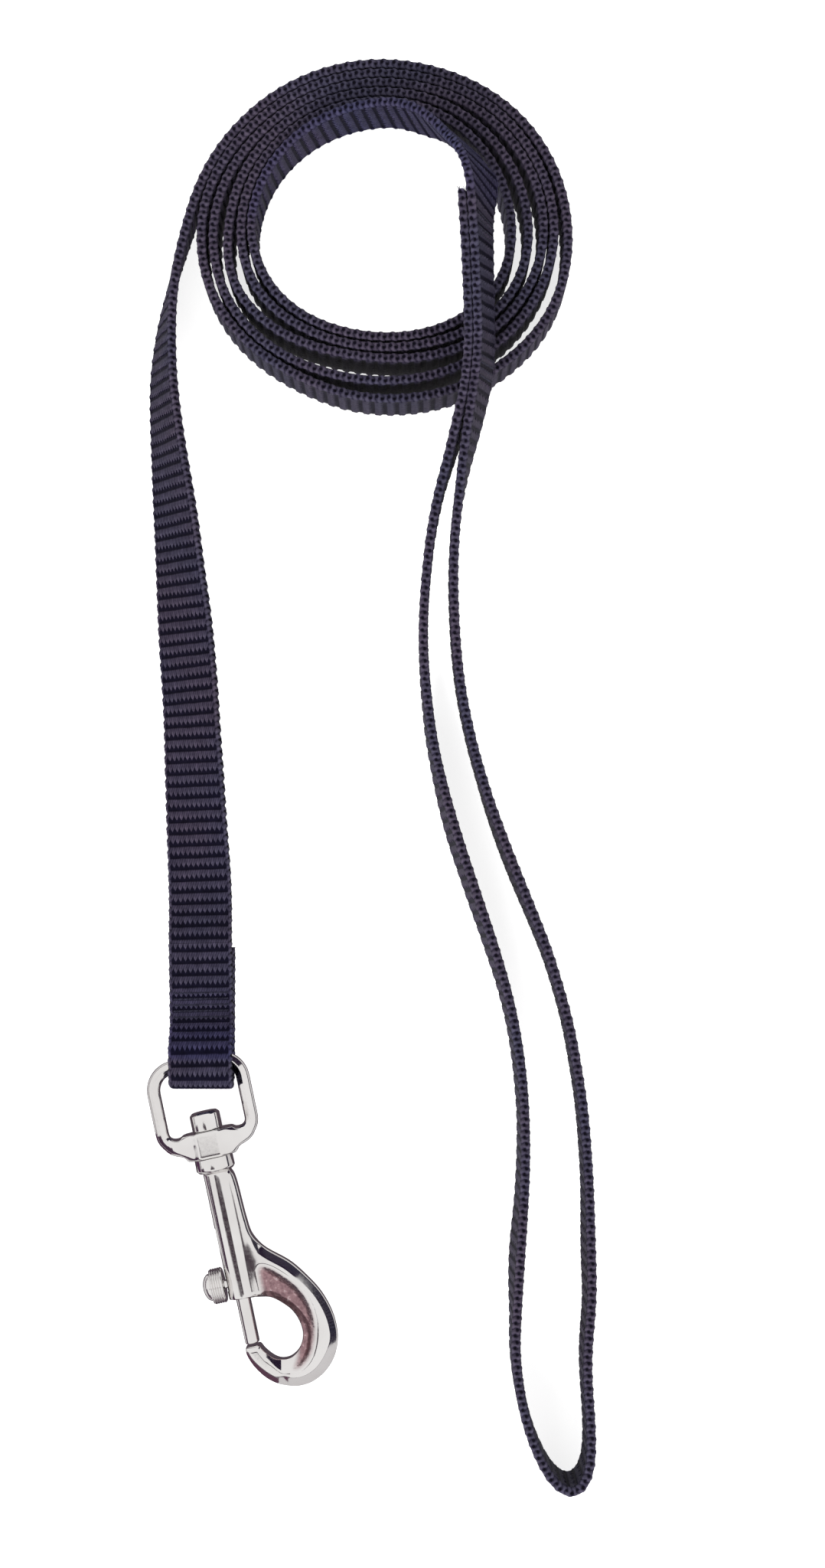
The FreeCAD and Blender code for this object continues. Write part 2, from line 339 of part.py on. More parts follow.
spring_top = BARREL_TOP - PLUG_LEN - 0.05
spring_bottom = BARREL_END + GUIDE_LEN + 0.1 + BOLT_HEAD_LEN + 0.05
s_len = (spring_top - spring_bottom) - 2 * SPRING_WIRE_R
helix = Part.makeHelix(s_len / SPRING_TURNS, s_len, SPRING_R)
hp = helix.Edges[0].valueAt(helix.Edges[0].FirstParameter)
ht = helix.Edges[0].tangentAt(helix.Edges[0].FirstParameter)
spring = Part.Wire(helix.Edges).makePipeShell([Part.Wire([Part.makeCircle(SPRING_WIRE_R, hp, ht)])], True, True)
spring.rotate(V(0, 0, 0), V(1, 0, 0), -90)
spring.translate(V(0, spring_bottom + SPRING_WIRE_R, 0))

nodes = {}
nodes["strap_lap_end"] = strap(STRAP_LAP_END)
nodes["strap_hand_loop"] = strap(STRAP_HAND_LOOP)
nodes["strap_lap_main"] = strap(STRAP_LAP_MAIN)
nodes["strap_coil"] = strap(STRAP_COIL)
nodes["strap_lead"] = strap(STRAP_LEAD)
nodes["strap_snap_fold"] = strap(STRAP_SNAP_FOLD)

# bar tack at the snap: rows of thread across the strap, on top of the doubled part
rows = []
for k in range(6):
    y = TACK_Y + 0.72 * k
    st = STRAP_SNAP_FOLD
    # height of the upper layer at this y
    z = None
    for a, b in zip(st[:-1], st[1:]):
        if (a[1] - y) * (b[1] - y) <= 0 and a[2] > 1.6 and b[2] > 1.6:
            f = (y - a[1]) / (b[1] - a[1] or 1)
            z = a[2] + f * (b[2] - a[2])
            x0 = a[0] + f * (b[0] - a[0])
            slope = (b[2] - a[2]) / (b[1] - a[1])
            break
    if z is None:
        continue
    zt = z + WEB_THICK / 2 * math.sqrt(1 + slope * slope) + THREAD_R + 0.02
    rows.append(thread(V(x0 + 0.7, y, zt), V(x0 + WEB_WIDTH - 0.7, y, zt)))
nodes["snap_stitching"] = group(rows)

# two bar tacks on the hand-loop lap, threads on both outer faces
def lap_tack(i_list):
    out = []
    for f in i_list:
        i = int(f)
        c, w, t, n = lap_frame(STRAP_LAP_END, i)
        c2 = c + (lap_frame(STRAP_LAP_END, i + 1)[0] - c) * (f - i)
        # outward of the pair on the free side of the folded-back end
        toward = lap_centre(c2) - c2
        side = -1.0 if n.dot(toward) > 0 else 1.0
        o = n * side * (WEB_THICK / 2 + THREAD_R + 0.12)
        out.append(thread(c2 + o - w * 4.2, c2 + o + w * 4.2))
        m = lap_centre(c2)
        o2 = n * (-side) * (WEB_THICK / 2 + THREAD_R + 0.12)
        out.append(thread(m + o2 - w * 4.2, m + o2 + w * 4.2))
    return group(out)

def lap_centre(p):
    best = None
    st = STRAP_LAP_MAIN
    for a, b in zip(st[:-1], st[1:]):
        ca = (V(*a[:3]) + V(*a[3:])) * 0.5
        cb = (V(*b[:3]) + V(*b[3:])) * 0.5
        d = cb - ca
        f = max(0.0, min(1.0, (p - ca).dot(d) / d.dot(d)))
        q = ca + d * f
        if best is None or (q - p).Length < (best - p).Length:
            best = q
    return best

n_lap = len(STRAP_LAP_END) - 1
nodes["lap_stitching_upper"] = lap_tack([n_lap * 0.10 + 0.11 * k for k in range(4)])
nodes["lap_stitching_lower"] = lap_tack([n_lap * 0.80 + 0.11 * k for k in range(4)])

nodes["swivel_eye"] = place(eye)
nodes["swivel_stem"] = place(stem)
nodes["snap_body"] = place(body)
nodes["bolt"] = place(bolt)
nodes["thumb_knob"] = place(knob)
nodes["bolt_spring"] = place(spring)

box = None
for name, s in nodes.items():
    bb = s.BoundBox
    print("%-20s solids %d valid %s vol %8.2f  x %7.2f %7.2f y %7.2f %7.2f z %6.2f %6.2f faces %d" % (
        name, len(s.Solids), s.isValid(), s.Volume, bb.XMin, bb.XMax, bb.YMin, bb.YMax, bb.ZMin, bb.ZMax, len(s.Faces)))
    box = bb if box is None else box.united(bb)
    s.exportStep("parts/%s.step" % name)
print("BOX", box.XMin, box.XMax, box.YMin, box.YMax, box.ZMin, box.ZMax)

def world(x, y, z=0.0):
    a = math.radians(SNAP_TURN)
    return (SNAP_X + x * math.cos(a) - y * math.sin(a), SNAP_Y + x * math.sin(a) + y * math.cos(a), AXIS_Z + z)
print("boss", world(0, 0), "hinge", world(0, EYE_TOP), "axis dir", -math.sin(math.radians(SNAP_TURN)), math.cos(math.radians(SNAP_TURN)))
print("hook opening centre", world(4.6, -29.6), "eye opening centre", world(0, 8.5))
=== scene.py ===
import math
import bpy
import numpy as np
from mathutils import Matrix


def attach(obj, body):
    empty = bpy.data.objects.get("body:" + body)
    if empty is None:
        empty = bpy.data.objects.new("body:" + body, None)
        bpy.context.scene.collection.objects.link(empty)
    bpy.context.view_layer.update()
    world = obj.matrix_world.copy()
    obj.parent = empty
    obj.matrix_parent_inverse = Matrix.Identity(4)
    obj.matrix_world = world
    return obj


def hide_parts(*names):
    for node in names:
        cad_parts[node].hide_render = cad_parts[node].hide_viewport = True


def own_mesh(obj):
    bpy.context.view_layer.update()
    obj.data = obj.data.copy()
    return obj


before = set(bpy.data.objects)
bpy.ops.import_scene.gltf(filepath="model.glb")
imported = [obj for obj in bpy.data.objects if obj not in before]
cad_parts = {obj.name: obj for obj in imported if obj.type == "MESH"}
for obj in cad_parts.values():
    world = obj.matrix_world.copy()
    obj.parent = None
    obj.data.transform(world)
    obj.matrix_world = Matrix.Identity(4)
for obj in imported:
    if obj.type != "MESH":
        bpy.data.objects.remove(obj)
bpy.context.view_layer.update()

MM = 0.001

# ------------------------------------------------------------------ the strap's route
# One row per millimetre of strap, in mm in the row frame: lower edge x y z, upper edge x y z.
# It runs from the raw end in the lap, round the hand loop, back along the lap, down into the
# coil, round it, out along the lead and round the eye's bar to the raw end under the tack.
ROUTE = np.array([
    [18.03, 85.47, 12.55, 14.36, 86.55, 21.78],
    [17.96, 84.52, 12.63, 14.45, 85.51, 21.94],
    [17.89, 83.67, 12.69, 14.54, 84.38, 22.08],
    [17.84, 82.86, 12.72, 14.62, 83.19, 22.18],
    [17.81, 82.06, 12.71, 14.71, 81.99, 22.22],
    [17.79, 81.24, 12.69, 14.79, 80.82, 22.22],
    [17.78, 80.39, 12.63, 14.86, 79.67, 22.17],
    [17.79, 79.5, 12.55, 14.93, 78.56, 22.09],
    [17.79, 78.6, 12.46, 14.99, 77.48, 21.99],
    [17.8, 77.67, 12.34, 15.04, 76.43, 21.88],
    [17.81, 76.72, 12.22, 15.1, 75.39, 21.75],
    [17.83, 75.76, 12.09, 15.15, 74.37, 21.62],
    [17.84, 74.79, 11.95, 15.2, 73.36, 21.48],
    [17.86, 73.82, 11.8, 15.25, 72.35, 21.34],
    [17.88, 72.84, 11.66, 15.29, 71.36, 21.2],
    [17.9, 71.85, 11.51, 15.34, 70.36, 21.06],
    [17.93, 70.87, 11.36, 15.38, 69.37, 20.92],
    [17.94, 69.88, 11.21, 15.41, 68.39, 20.77],
    [17.96, 68.89, 11.06, 15.44, 67.4, 20.62],
    [17.97, 67.89, 10.91, 15.46, 66.42, 20.48],
    [17.98, 66.89, 10.76, 15.46, 65.44, 20.33],
    [17.97, 65.89, 10.61, 15.46, 64.47, 20.18],
    [17.95, 64.87, 10.45, 15.43, 63.51, 20.03],
    [17.91, 63.85, 10.3, 15.39, 62.56, 19.89],
    [17.85, 62.8, 10.15, 15.33, 61.63, 19.75],
    [17.76, 61.75, 10, 15.26, 60.71, 19.63],
    [17.61, 60.66, 9.86, 15.17, 59.82, 19.52],
    [17.41, 59.57, 9.73, 15.07, 58.96, 19.43],
    [17.15, 58.47, 9.61, 14.96, 58.1, 19.36],
    [16.83, 57.41, 9.51, 14.83, 57.22, 19.31],
    [16.48, 56.41, 9.43, 14.67, 56.29, 19.27],
    [16.11, 55.48, 9.36, 14.48, 55.3, 19.22],
    [15.76, 54.62, 9.28, 14.25, 54.25, 19.16],
    [15.42, 53.79, 9.19, 14.01, 53.17, 19.07],
    [15.09, 52.98, 9.08, 13.77, 52.09, 18.95],
    [14.76, 52.15, 8.95, 13.53, 51.02, 18.81],
    [14.43, 51.28, 8.81, 13.29, 49.99, 18.66],
    [14.1, 50.4, 8.65, 13.06, 48.99, 18.49],
    [13.78, 49.49, 8.48, 12.83, 48, 18.32],
    [13.45, 48.57, 8.31, 12.6, 47.04, 18.15],
    [13.13, 47.64, 8.13, 12.36, 46.08, 17.98],
    [12.81, 46.71, 7.96, 12.11, 45.12, 17.81],
    [12.48, 45.78, 7.79, 11.86, 44.17, 17.64],
    [12.17, 44.85, 7.62, 11.6, 43.21, 17.47],
    [11.86, 43.93, 7.45, 11.35, 42.24, 17.29],
    [11.57, 43.01, 7.27, 11.11, 41.27, 17.11],
    [11.31, 42.07, 7.09, 10.89, 40.3, 16.92],
    [11.08, 41.12, 6.91, 10.68, 39.33, 16.74],
    [10.86, 40.16, 6.73, 10.49, 38.37, 16.56],
    [10.65, 39.19, 6.54, 10.31, 37.42, 16.38],
    [10.46, 38.21, 6.36, 10.13, 36.46, 16.2],
    [10.27, 37.23, 6.18, 9.98, 35.5, 16.03],
    [10.1, 36.26, 6.01, 9.83, 34.53, 15.85],
    [9.94, 35.29, 5.83, 9.7, 33.55, 15.68],
    [9.8, 34.33, 5.66, 9.58, 32.56, 15.5],
    [9.68, 33.37, 5.48, 9.47, 31.57, 15.32],
    [9.56, 32.41, 5.3, 9.37, 30.58, 15.13],
    [9.46, 31.44, 5.12, 9.27, 29.6, 14.95],
    [9.36, 30.46, 4.93, 9.18, 28.62, 14.76],
    [9.26, 29.48, 4.75, 9.09, 27.64, 14.57],
    [9.17, 28.5, 4.56, 9.02, 26.66, 14.39],
    [9.08, 27.52, 4.38, 8.95, 25.68, 14.21],
    [9.01, 26.55, 4.19, 8.89, 24.7, 14.02],
    [8.94, 25.57, 4.01, 8.84, 23.72, 13.84],
    [8.88, 24.59, 3.82, 8.81, 22.74, 13.65],
    [8.84, 23.6, 3.64, 8.78, 21.76, 13.47],
    [8.8, 22.61, 3.45, 8.77, 20.78, 13.28],
    [8.78, 21.61, 3.27, 8.77, 19.81, 13.11],
    [8.77, 20.62, 3.09, 8.78, 18.84, 12.93],
    [8.77, 19.62, 2.91, 8.8, 17.87, 12.76],
    [8.78, 18.64, 2.74, 8.84, 16.89, 12.58],
    [8.8, 17.66, 2.56, 8.89, 15.9, 12.41],
    [8.82, 16.68, 2.39, 8.96, 14.91, 12.23],
    [8.85, 15.69, 2.21, 9.03, 13.93, 12.05],
    [8.89, 14.7, 2.03, 9.12, 12.96, 11.88],
    [8.94, 13.69, 1.85, 9.21, 12.01, 11.71],
    [9.01, 12.67, 1.68, 9.32, 11.06, 11.55],
    [9.09, 11.65, 1.52, 9.42, 10.11, 11.39],
    [9.18, 10.64, 1.36, 9.53, 9.16, 11.24],
    [9.28, 9.63, 1.21, 9.65, 8.21, 11.1],
    [9.36, 8.62, 1.06, 9.78, 7.25, 10.96],
    [9.46, 7.6, 0.92, 9.91, 6.3, 10.82],
    [9.56, 6.58, 0.78, 10.06, 5.36, 10.7],
    [9.68, 5.55, 0.65, 10.21, 4.42, 10.58],
    [9.83, 4.51, 0.53, 10.38, 3.5, 10.47],
    [9.99, 3.47, 0.43, 10.55, 2.58, 10.37],
    [10.17, 2.42, 0.33, 10.73, 1.67, 10.29],
    [10.36, 1.37, 0.25, 10.93, 0.76, 10.21],
    [10.54, 0.33, 0.18, 11.14, -0.15, 10.15],
    [10.73, -0.71, 0.12, 11.36, -1.06, 10.1],
    [10.93, -1.75, 0.08, 11.59, -1.98, 10.06],
    [11.13, -2.77, 0.05, 11.83, -2.9, 10.02],
    [11.34, -3.8, 0.03, 12.07, -3.83, 10],
    [11.55, -4.81, 0.01, 12.32, -4.76, 9.98],
    [11.77, -5.81, 0, 12.58, -5.69, 9.97],
    [12, -6.81, 0, 12.85, -6.64, 9.96],
    [12.24, -7.79, 0, 13.13, -7.58, 9.96],
    [12.49, -8.77, 0, 13.41, -8.53, 9.95],
    [12.75, -9.74, 0, 13.69, -9.48, 9.95],
    [13.02, -10.71, 0, 13.98, -10.43, 9.95],
    [13.31, -11.68, 0, 14.28, -11.38, 9.95],
    [13.61, -12.64, 0, 14.57, -12.33, 9.95],
    [13.91, -13.59, 0, 14.88, -13.28, 9.95],
    [14.23, -14.54, 0, 15.18, -14.23, 9.95],
    [14.55, -15.49, 0, 15.49, -15.17, 9.95],
    [14.88, -16.44, 0, 15.81, -16.12, 9.95],
    [15.2, -17.39, 0, 16.12, -17.07, 9.95],
    [15.52, -18.33, 0, 16.44, -18.02, 9.95],
    [15.84, -19.28, 0, 16.75, -18.97, 9.95],
    [16.17, -20.23, 0, 17.06, -19.92, 9.95],
    [16.5, -21.17, 0, 17.38, -20.86, 9.95],
    [16.83, -22.12, 0, 17.69, -21.81, 9.96],
    [17.17, -23.06, 0, 18.01, -22.76, 9.96],
    [17.51, -24, 0, 18.32, -23.7, 9.96],
    [17.85, -24.94, 0, 18.64, -24.66, 9.96],
    [18.19, -25.88, 0, 18.95, -25.61, 9.97],
    [18.51, -26.82, 0, 19.26, -26.56, 9.97],
    [18.83, -27.76, 0, 19.56, -27.52, 9.97],
    [19.15, -28.71, 0, 19.86, -28.47, 9.97],
    [19.48, -29.66, 0, 20.15, -29.43, 9.97],
    [19.8, -30.6, 0, 20.43, -30.39, 9.98],
    [20.12, -31.55, 0, 20.71, -31.35, 9.98],
    [20.44, -32.49, 0, 20.98, -32.31, 9.98],
    [20.74, -33.44, 0, 21.25, -33.28, 9.98],
    [21.02, -34.4, 0, 21.51, -34.26, 9.99],
    [21.29, -35.36, 0, 21.76, -35.23, 9.99],
    [21.54, -36.32, 0, 21.99, -36.2, 9.99],
    [21.79, -37.29, 0, 22.22, -37.18, 9.99],
    [22.02, -38.25, 0, 22.43, -38.16, 9.99],
    [22.25, -39.23, 0, 22.63, -39.14, 9.99],
    [22.46, -40.2, 0, 22.82, -40.13, 9.99],
    [22.65, -41.18, 0, 23, -41.11, 9.99],
    [22.83, -42.16, 0, 23.16, -42.1, 9.99],
    [22.99, -43.14, 0, 23.32, -43.09, 9.99],
    [23.15, -44.13, 0, 23.47, -44.08, 9.99],
    [23.28, -45.12, 0, 23.61, -45.07, 9.99],
    [23.41, -46.11, 0, 23.73, -46.07, 9.99],
    [23.53, -47.1, 0, 23.85, -47.06, 9.99],
    [23.63, -48.09, 0, 23.95, -48.06, 9.99],
    [23.73, -49.08, 0, 24.04, -49.05, 10],
    [23.82, -50.08, 0, 24.12, -50.05, 10],
    [23.91, -51.07, 0, 24.19, -51.05, 10],
    [23.99, -52.07, 0, 24.25, -52.05, 10],
    [24.06, -53.06, 0, 24.3, -53.05, 10],
    [24.11, -54.06, 0, 24.34, -54.05, 10],
    [24.14, -55.06, 0, 24.38, -55.05, 10],
    [24.16, -56.06, 0, 24.4, -56.05, 10],
    [24.16, -57.05, 0, 24.42, -57.05, 10],
    [24.15, -58.05, 0, 24.44, -58.05, 10],
    [24.14, -59.05, 0, 24.44, -59.06, 10],
    [24.12, -60.05, 0, 24.44, -60.06, 10],
    [24.1, -61.05, 0, 24.42, -61.06, 9.99],
    [24.06, -62.04, 0, 24.4, -62.06, 9.99],
    [24.01, -63.04, 0, 24.38, -63.06, 9.99],
    [23.95, -64.04, 0, 24.34, -64.06, 9.99],
    [23.89, -65.04, 0, 24.3, -65.06, 9.99],
    [23.83, -66.03, 0, 24.25, -66.06, 9.99],
    [23.76, -67.03, 0, 24.2, -67.06, 9.99],
    [23.67, -68.02, 0, 24.14, -68.06, 9.99],
    [23.58, -69.01, 0, 24.08, -69.06, 9.99],
    [23.47, -70, 0, 24.03, -70.07, 9.98],
    [23.35, -70.99, 0, 23.97, -71.07, 9.98],
    [23.24, -71.99, 0, 23.9, -72.06, 9.98],
    [23.13, -72.98, 0, 23.84, -73.06, 9.97],
    [23.03, -73.98, 0, 23.77, -74.05, 9.97],
    [22.95, -74.99, 0, 23.7, -75.04, 9.97],
    [22.88, -75.99, 0, 23.63, -76.03, 9.97],
    [22.83, -76.99, 0, 23.56, -77.03, 9.97],
    [22.8, -78, 0, 23.49, -78.02, 9.98],
    [22.78, -79, 0, 23.42, -79.01, 9.98],
    [22.77, -80, 0, 23.35, -80.01, 9.98],
    [22.78, -81.01, 0, 23.28, -81, 9.99],
    [22.8, -82.01, 0, 23.22, -82, 9.99],
    [22.84, -83.01, 0, 23.15, -83, 9.99],
    [22.88, -84.01, 0, 23.09, -84, 10],
    [22.91, -85.01, 0, 23.03, -85, 10],
    [22.93, -86.01, 0, 22.97, -86, 10],
    [22.92, -87, 0, 22.93, -87, 10],
    [22.91, -88, 0, 22.9, -88, 10],
    [22.9, -89, 0, 22.89, -89, 10],
    [22.92, -90, 0, 22.92, -90, 10],
    [22.97, -91, 0, 22.97, -91, 10],
    [23.05, -92, 0, 23.05, -92, 10],
    [23.15, -92.99, 0, 23.15, -92.99, 10],
    [23.27, -93.98, 0, 23.27, -93.98, 10],
    [23.41, -94.97, 0, 23.41, -94.97, 10],
    [23.57, -95.96, 0, 23.57, -95.96, 10],
    [23.74, -96.94, 0, 23.74, -96.94, 10],
    [23.94, -97.92, 0, 23.94, -97.92, 10],
    [24.16, -98.9, 0, 24.16, -98.9, 10],
    [24.4, -99.87, 0, 24.4, -99.87, 10],
    [24.67, -100.83, 0, 24.66, -100.83, 10],
    [24.95, -101.79, 0, 24.95, -101.79, 10],
    [25.27, -102.74, 0, 25.27, -102.74, 10],
    [25.61, -103.68, 0, 25.61, -103.68, 10],
    [25.99, -104.6, 0, 25.99, -104.6, 10],
    [26.4, -105.52, 0, 26.4, -105.52, 10],
    [26.83, -106.42, 0, 26.83, -106.42, 10],
    [27.31, -107.3, 0, 27.31, -107.3, 10],
    [27.84, -108.15, 0, 27.84, -108.15, 10],
    [28.42, -108.95, 0, 28.42, -108.95, 10],
    [29.12, -109.67, 0, 29.12, -109.67, 10],
    [29.91, -110.29, 0, 29.91, -110.29, 10],
    [30.83, -110.67, 0, 30.83, -110.67, 10],
    [31.82, -110.63, 0, 31.82, -110.63, 10],
    [32.68, -110.12, 0, 32.68, -110.12, 10],
    [33.3, -109.33, 0, 33.3, -109.33, 10],
    [33.72, -108.43, 0, 33.72, -108.43, 10],
    [34, -107.47, 0, 34, -107.47, 10],
    [34.18, -106.48, 0, 34.18, -106.48, 10],
    [34.28, -105.49, 0, 34.28, -105.49, 10],
    [34.33, -104.49, 0, 34.33, -104.49, 10],
    [34.35, -103.49, 0, 34.35, -103.49, 10],
    [34.34, -102.49, 0, 34.34, -102.49, 10],
    [34.31, -101.49, 0, 34.31, -101.49, 10],
    [34.27, -100.49, 0, 34.27, -100.49, 10],
    [34.22, -99.49, 0, 34.22, -99.49, 10],
    [34.15, -98.5, 0, 34.15, -98.5, 10],
    [34.09, -97.5, 0, 34.09, -97.5, 10],
    [34.02, -96.5, 0, 34.02, -96.5, 10],
    [33.96, -95.5, 0, 33.96, -95.5, 10],
    [33.91, -94.51, 0, 33.91, -94.51, 10],
    [33.87, -93.51, 0, 33.87, -93.51, 10],
    [33.85, -92.51, 0, 33.85, -92.51, 10],
    [33.85, -91.51, 0, 33.85, -91.51, 10],
    [33.87, -90.51, 0, 33.87, -90.51, 10],
    [33.92, -89.51, 0, 33.92, -89.51, 10],
    [33.98, -88.51, 0, 33.98, -88.51, 10],
    [34.05, -87.51, 0, 34.05, -87.51, 10],
    [34.13, -86.52, 0, 34.14, -86.52, 10],
    [34.21, -85.52, 0, 34.23, -85.52, 10],
    [34.28, -84.52, 0, 34.32, -84.53, 10],
    [34.33, -83.53, 0, 34.4, -83.53, 10],
    [34.35, -82.53, 0, 34.46, -82.53, 10],
    [34.35, -81.53, 0, 34.51, -81.53, 10],
    [34.33, -80.53, 0, 34.55, -80.53, 10],
    [34.29, -79.53, 0, 34.56, -79.53, 10],
    [34.25, -78.54, 0, 34.56, -78.53, 10],
    [34.21, -77.54, 0, 34.55, -77.53, 9.99],
    [34.19, -76.54, 0, 34.53, -76.53, 9.99],
    [34.17, -75.53, 0, 34.51, -75.53, 9.99],
    [34.16, -74.53, 0, 34.48, -74.53, 9.99],
    [34.16, -73.53, 0, 34.45, -73.53, 10],
    [34.16, -72.53, 0, 34.43, -72.53, 10],
    [34.16, -71.53, 0, 34.4, -71.53, 10],
    [34.17, -70.53, 0, 34.37, -70.53, 10],
    [34.18, -69.53, 0, 34.34, -69.54, 10],
    [34.18, -68.53, 0, 34.32, -68.54, 10],
    [34.18, -67.54, 0, 34.28, -67.54, 10],
    [34.18, -66.54, 0, 34.25, -66.54, 10],
    [34.17, -65.54, 0, 34.21, -65.54, 10],
    [34.14, -64.54, 0, 34.17, -64.54, 10],
    [34.11, -63.54, 0, 34.12, -63.54, 10],
    [34.06, -62.54, 0, 34.06, -62.54, 10],
    [34.01, -61.54, 0, 34.01, -61.54, 10],
    [33.95, -60.54, 0, 33.95, -60.54, 10],
    [33.88, -59.55, 0, 33.88, -59.55, 10],
    [33.82, -58.55, 0, 33.82, -58.55, 10],
    [33.75, -57.55, 0, 33.75, -57.55, 10],
    [33.68, -56.55, 0, 33.68, -56.55, 10],
    [33.59, -55.56, 0, 33.59, -55.56, 10],
    [33.5, -54.56, 0, 33.5, -54.56, 10],
    [33.4, -53.57, 0, 33.4, -53.57, 10],
    [33.29, -52.57, 0, 33.29, -52.57, 10],
    [33.17, -51.58, 0, 33.17, -51.58, 10],
    [33.04, -50.59, 0, 33.04, -50.59, 10],
    [32.89, -49.6, 0, 32.89, -49.6, 10],
    [32.75, -48.61, 0, 32.75, -48.61, 10],
    [32.59, -47.63, 0, 32.59, -47.63, 10],
    [32.43, -46.64, 0, 32.43, -46.64, 10],
    [32.27, -45.65, 0, 32.27, -45.65, 10],
    [32.1, -44.67, 0, 32.1, -44.67, 10],
    [31.93, -43.68, 0, 31.93, -43.68, 10],
    [31.75, -42.7, 0, 31.75, -42.7, 10],
    [31.56, -41.72, 0, 31.56, -41.72, 10],
    [31.36, -40.74, 0, 31.36, -40.74, 10],
    [31.14, -39.76, 0, 31.14, -39.76, 10],
    [30.91, -38.79, 0, 30.91, -38.79, 10],
    [30.67, -37.82, 0, 30.67, -37.82, 10],
    [30.41, -36.85, 0, 30.41, -36.85, 10],
    [30.15, -35.89, 0, 30.15, -35.89, 10],
    [29.87, -34.93, 0, 29.87, -34.93, 10],
    [29.59, -33.97, 0, 29.59, -33.97, 10],
    [29.3, -33.01, 0, 29.31, -33.01, 10],
    [29, -32.06, 0, 29.02, -32.05, 10],
    [28.69, -31.11, 0, 28.73, -31.1, 10],
    [28.37, -30.16, 0, 28.43, -30.14, 10],
    [28.03, -29.22, 0, 28.12, -29.19, 10],
    [27.67, -28.29, 0, 27.79, -28.24, 10],
    [27.3, -27.36, 0, 27.45, -27.3, 10],
    [26.93, -26.44, 0, 27.1, -26.37, 10],
    [26.55, -25.51, 0, 26.74, -25.43, 10],
    [26.17, -24.59, 0, 26.38, -24.5, 10],
    [25.78, -23.67, 0, 26.01, -23.57, 10],
    [25.39, -22.75, 0, 25.64, -22.64, 10],
    [25, -21.83, 0, 25.27, -21.71, 10],
    [24.6, -20.91, 0, 24.9, -20.78, 9.99],
    [24.2, -19.99, 0, 24.53, -19.85, 9.99],
    [23.81, -19.08, 0, 24.16, -18.92, 9.99],
    [23.42, -18.15, 0, 23.79, -18, 9.99],
    [23.03, -17.23, 0, 23.42, -17.07, 9.99],
    [22.66, -16.3, 0, 23.05, -16.14, 9.99],
    [22.29, -15.37, 0, 22.68, -15.21, 9.99],
    [21.93, -14.44, 0, 22.32, -14.29, 9.99],
    [21.57, -13.5, 0, 21.95, -13.36, 9.99],
    [21.23, -12.56, 0, 21.59, -12.43, 9.99],
    [20.89, -11.62, 0, 21.24, -11.49, 9.99],
    [20.56, -10.67, 0, 20.89, -10.56, 9.99],
    [20.23, -9.73, 0, 20.54, -9.62, 9.99],
    [19.92, -8.78, 0, 20.19, -8.68, 9.99],
    [19.61, -7.82, 0, 19.85, -7.75, 10],
    [19.3, -6.86, 0, 19.52, -6.82, 10],
    [19, -5.89, 0, 19.19, -5.89, 10],
    [18.71, -4.91, 0.01, 18.88, -4.97, 10.01],
    [18.43, -3.92, 0.02, 18.58, -4.04, 10.02],
    [18.15, -2.92, 0.05, 18.29, -3.13, 10.04],
    [17.86, -1.91, 0.07, 18.01, -2.21, 10.07],
    [17.58, -0.91, 0.11, 17.73, -1.3, 10.1],
    [17.29, 0.11, 0.16, 17.46, -0.4, 10.15],
    [17.01, 1.13, 0.23, 17.2, 0.5, 10.21],
    [16.73, 2.15, 0.3, 16.94, 1.4, 10.27],
    [16.46, 3.18, 0.39, 16.7, 2.3, 10.35],
    [16.21, 4.2, 0.5, 16.46, 3.2, 10.44],
    [15.97, 5.22, 0.61, 16.23, 4.11, 10.55],
    [15.74, 6.23, 0.74, 16.01, 5.03, 10.66],
    [15.52, 7.24, 0.87, 15.8, 5.97, 10.78],
    [15.3, 8.23, 1.01, 15.59, 6.9, 10.91],
    [15.1, 9.23, 1.15, 15.38, 7.85, 11.05],
    [14.91, 10.23, 1.3, 15.19, 8.79, 11.19],
    [14.73, 11.23, 1.45, 15, 9.73, 11.33],
    [14.57, 12.24, 1.61, 14.83, 10.67, 11.48],
    [14.42, 13.25, 1.78, 14.67, 11.61, 11.64],
    [14.29, 14.25, 1.95, 14.52, 12.55, 11.8],
    [14.17, 15.25, 2.13, 14.39, 13.51, 11.97],
    [14.06, 16.23, 2.31, 14.26, 14.48, 12.15],
    [13.96, 17.21, 2.48, 14.14, 15.46, 12.33],
    [13.88, 18.18, 2.66, 14.04, 16.44, 12.5],
    [13.8, 19.16, 2.83, 13.94, 17.43, 12.68],
    [13.73, 20.15, 3.01, 13.86, 18.4, 12.85],
    [13.67, 21.15, 3.18, 13.78, 19.37, 13.02],
    [13.61, 22.14, 3.37, 13.72, 20.33, 13.2],
    [13.56, 23.14, 3.55, 13.66, 21.3, 13.38],
    [13.52, 24.12, 3.74, 13.6, 22.28, 13.56],
    [13.49, 25.11, 3.92, 13.56, 23.26, 13.75],
    [13.46, 26.09, 4.11, 13.52, 24.24, 13.93],
    [13.44, 27.07, 4.29, 13.48, 25.22, 14.12],
    [13.42, 28.06, 4.48, 13.45, 26.2, 14.3],
    [13.42, 29.04, 4.66, 13.43, 27.18, 14.49],
    [13.43, 30.02, 4.85, 13.42, 28.16, 14.67],
    [13.45, 31.01, 5.04, 13.42, 29.15, 14.86],
    [13.48, 31.98, 5.22, 13.43, 30.13, 15.05],
    [13.52, 32.95, 5.4, 13.45, 31.13, 15.23],
    [13.56, 33.92, 5.58, 13.48, 32.12, 15.42],
    [13.62, 34.89, 5.76, 13.52, 33.12, 15.6],
    [13.69, 35.87, 5.93, 13.57, 34.11, 15.78],
    [13.77, 36.85, 6.11, 13.63, 35.09, 15.95],
    [13.87, 37.84, 6.29, 13.7, 36.06, 16.13],
    [13.98, 38.83, 6.47, 13.79, 37.02, 16.31],
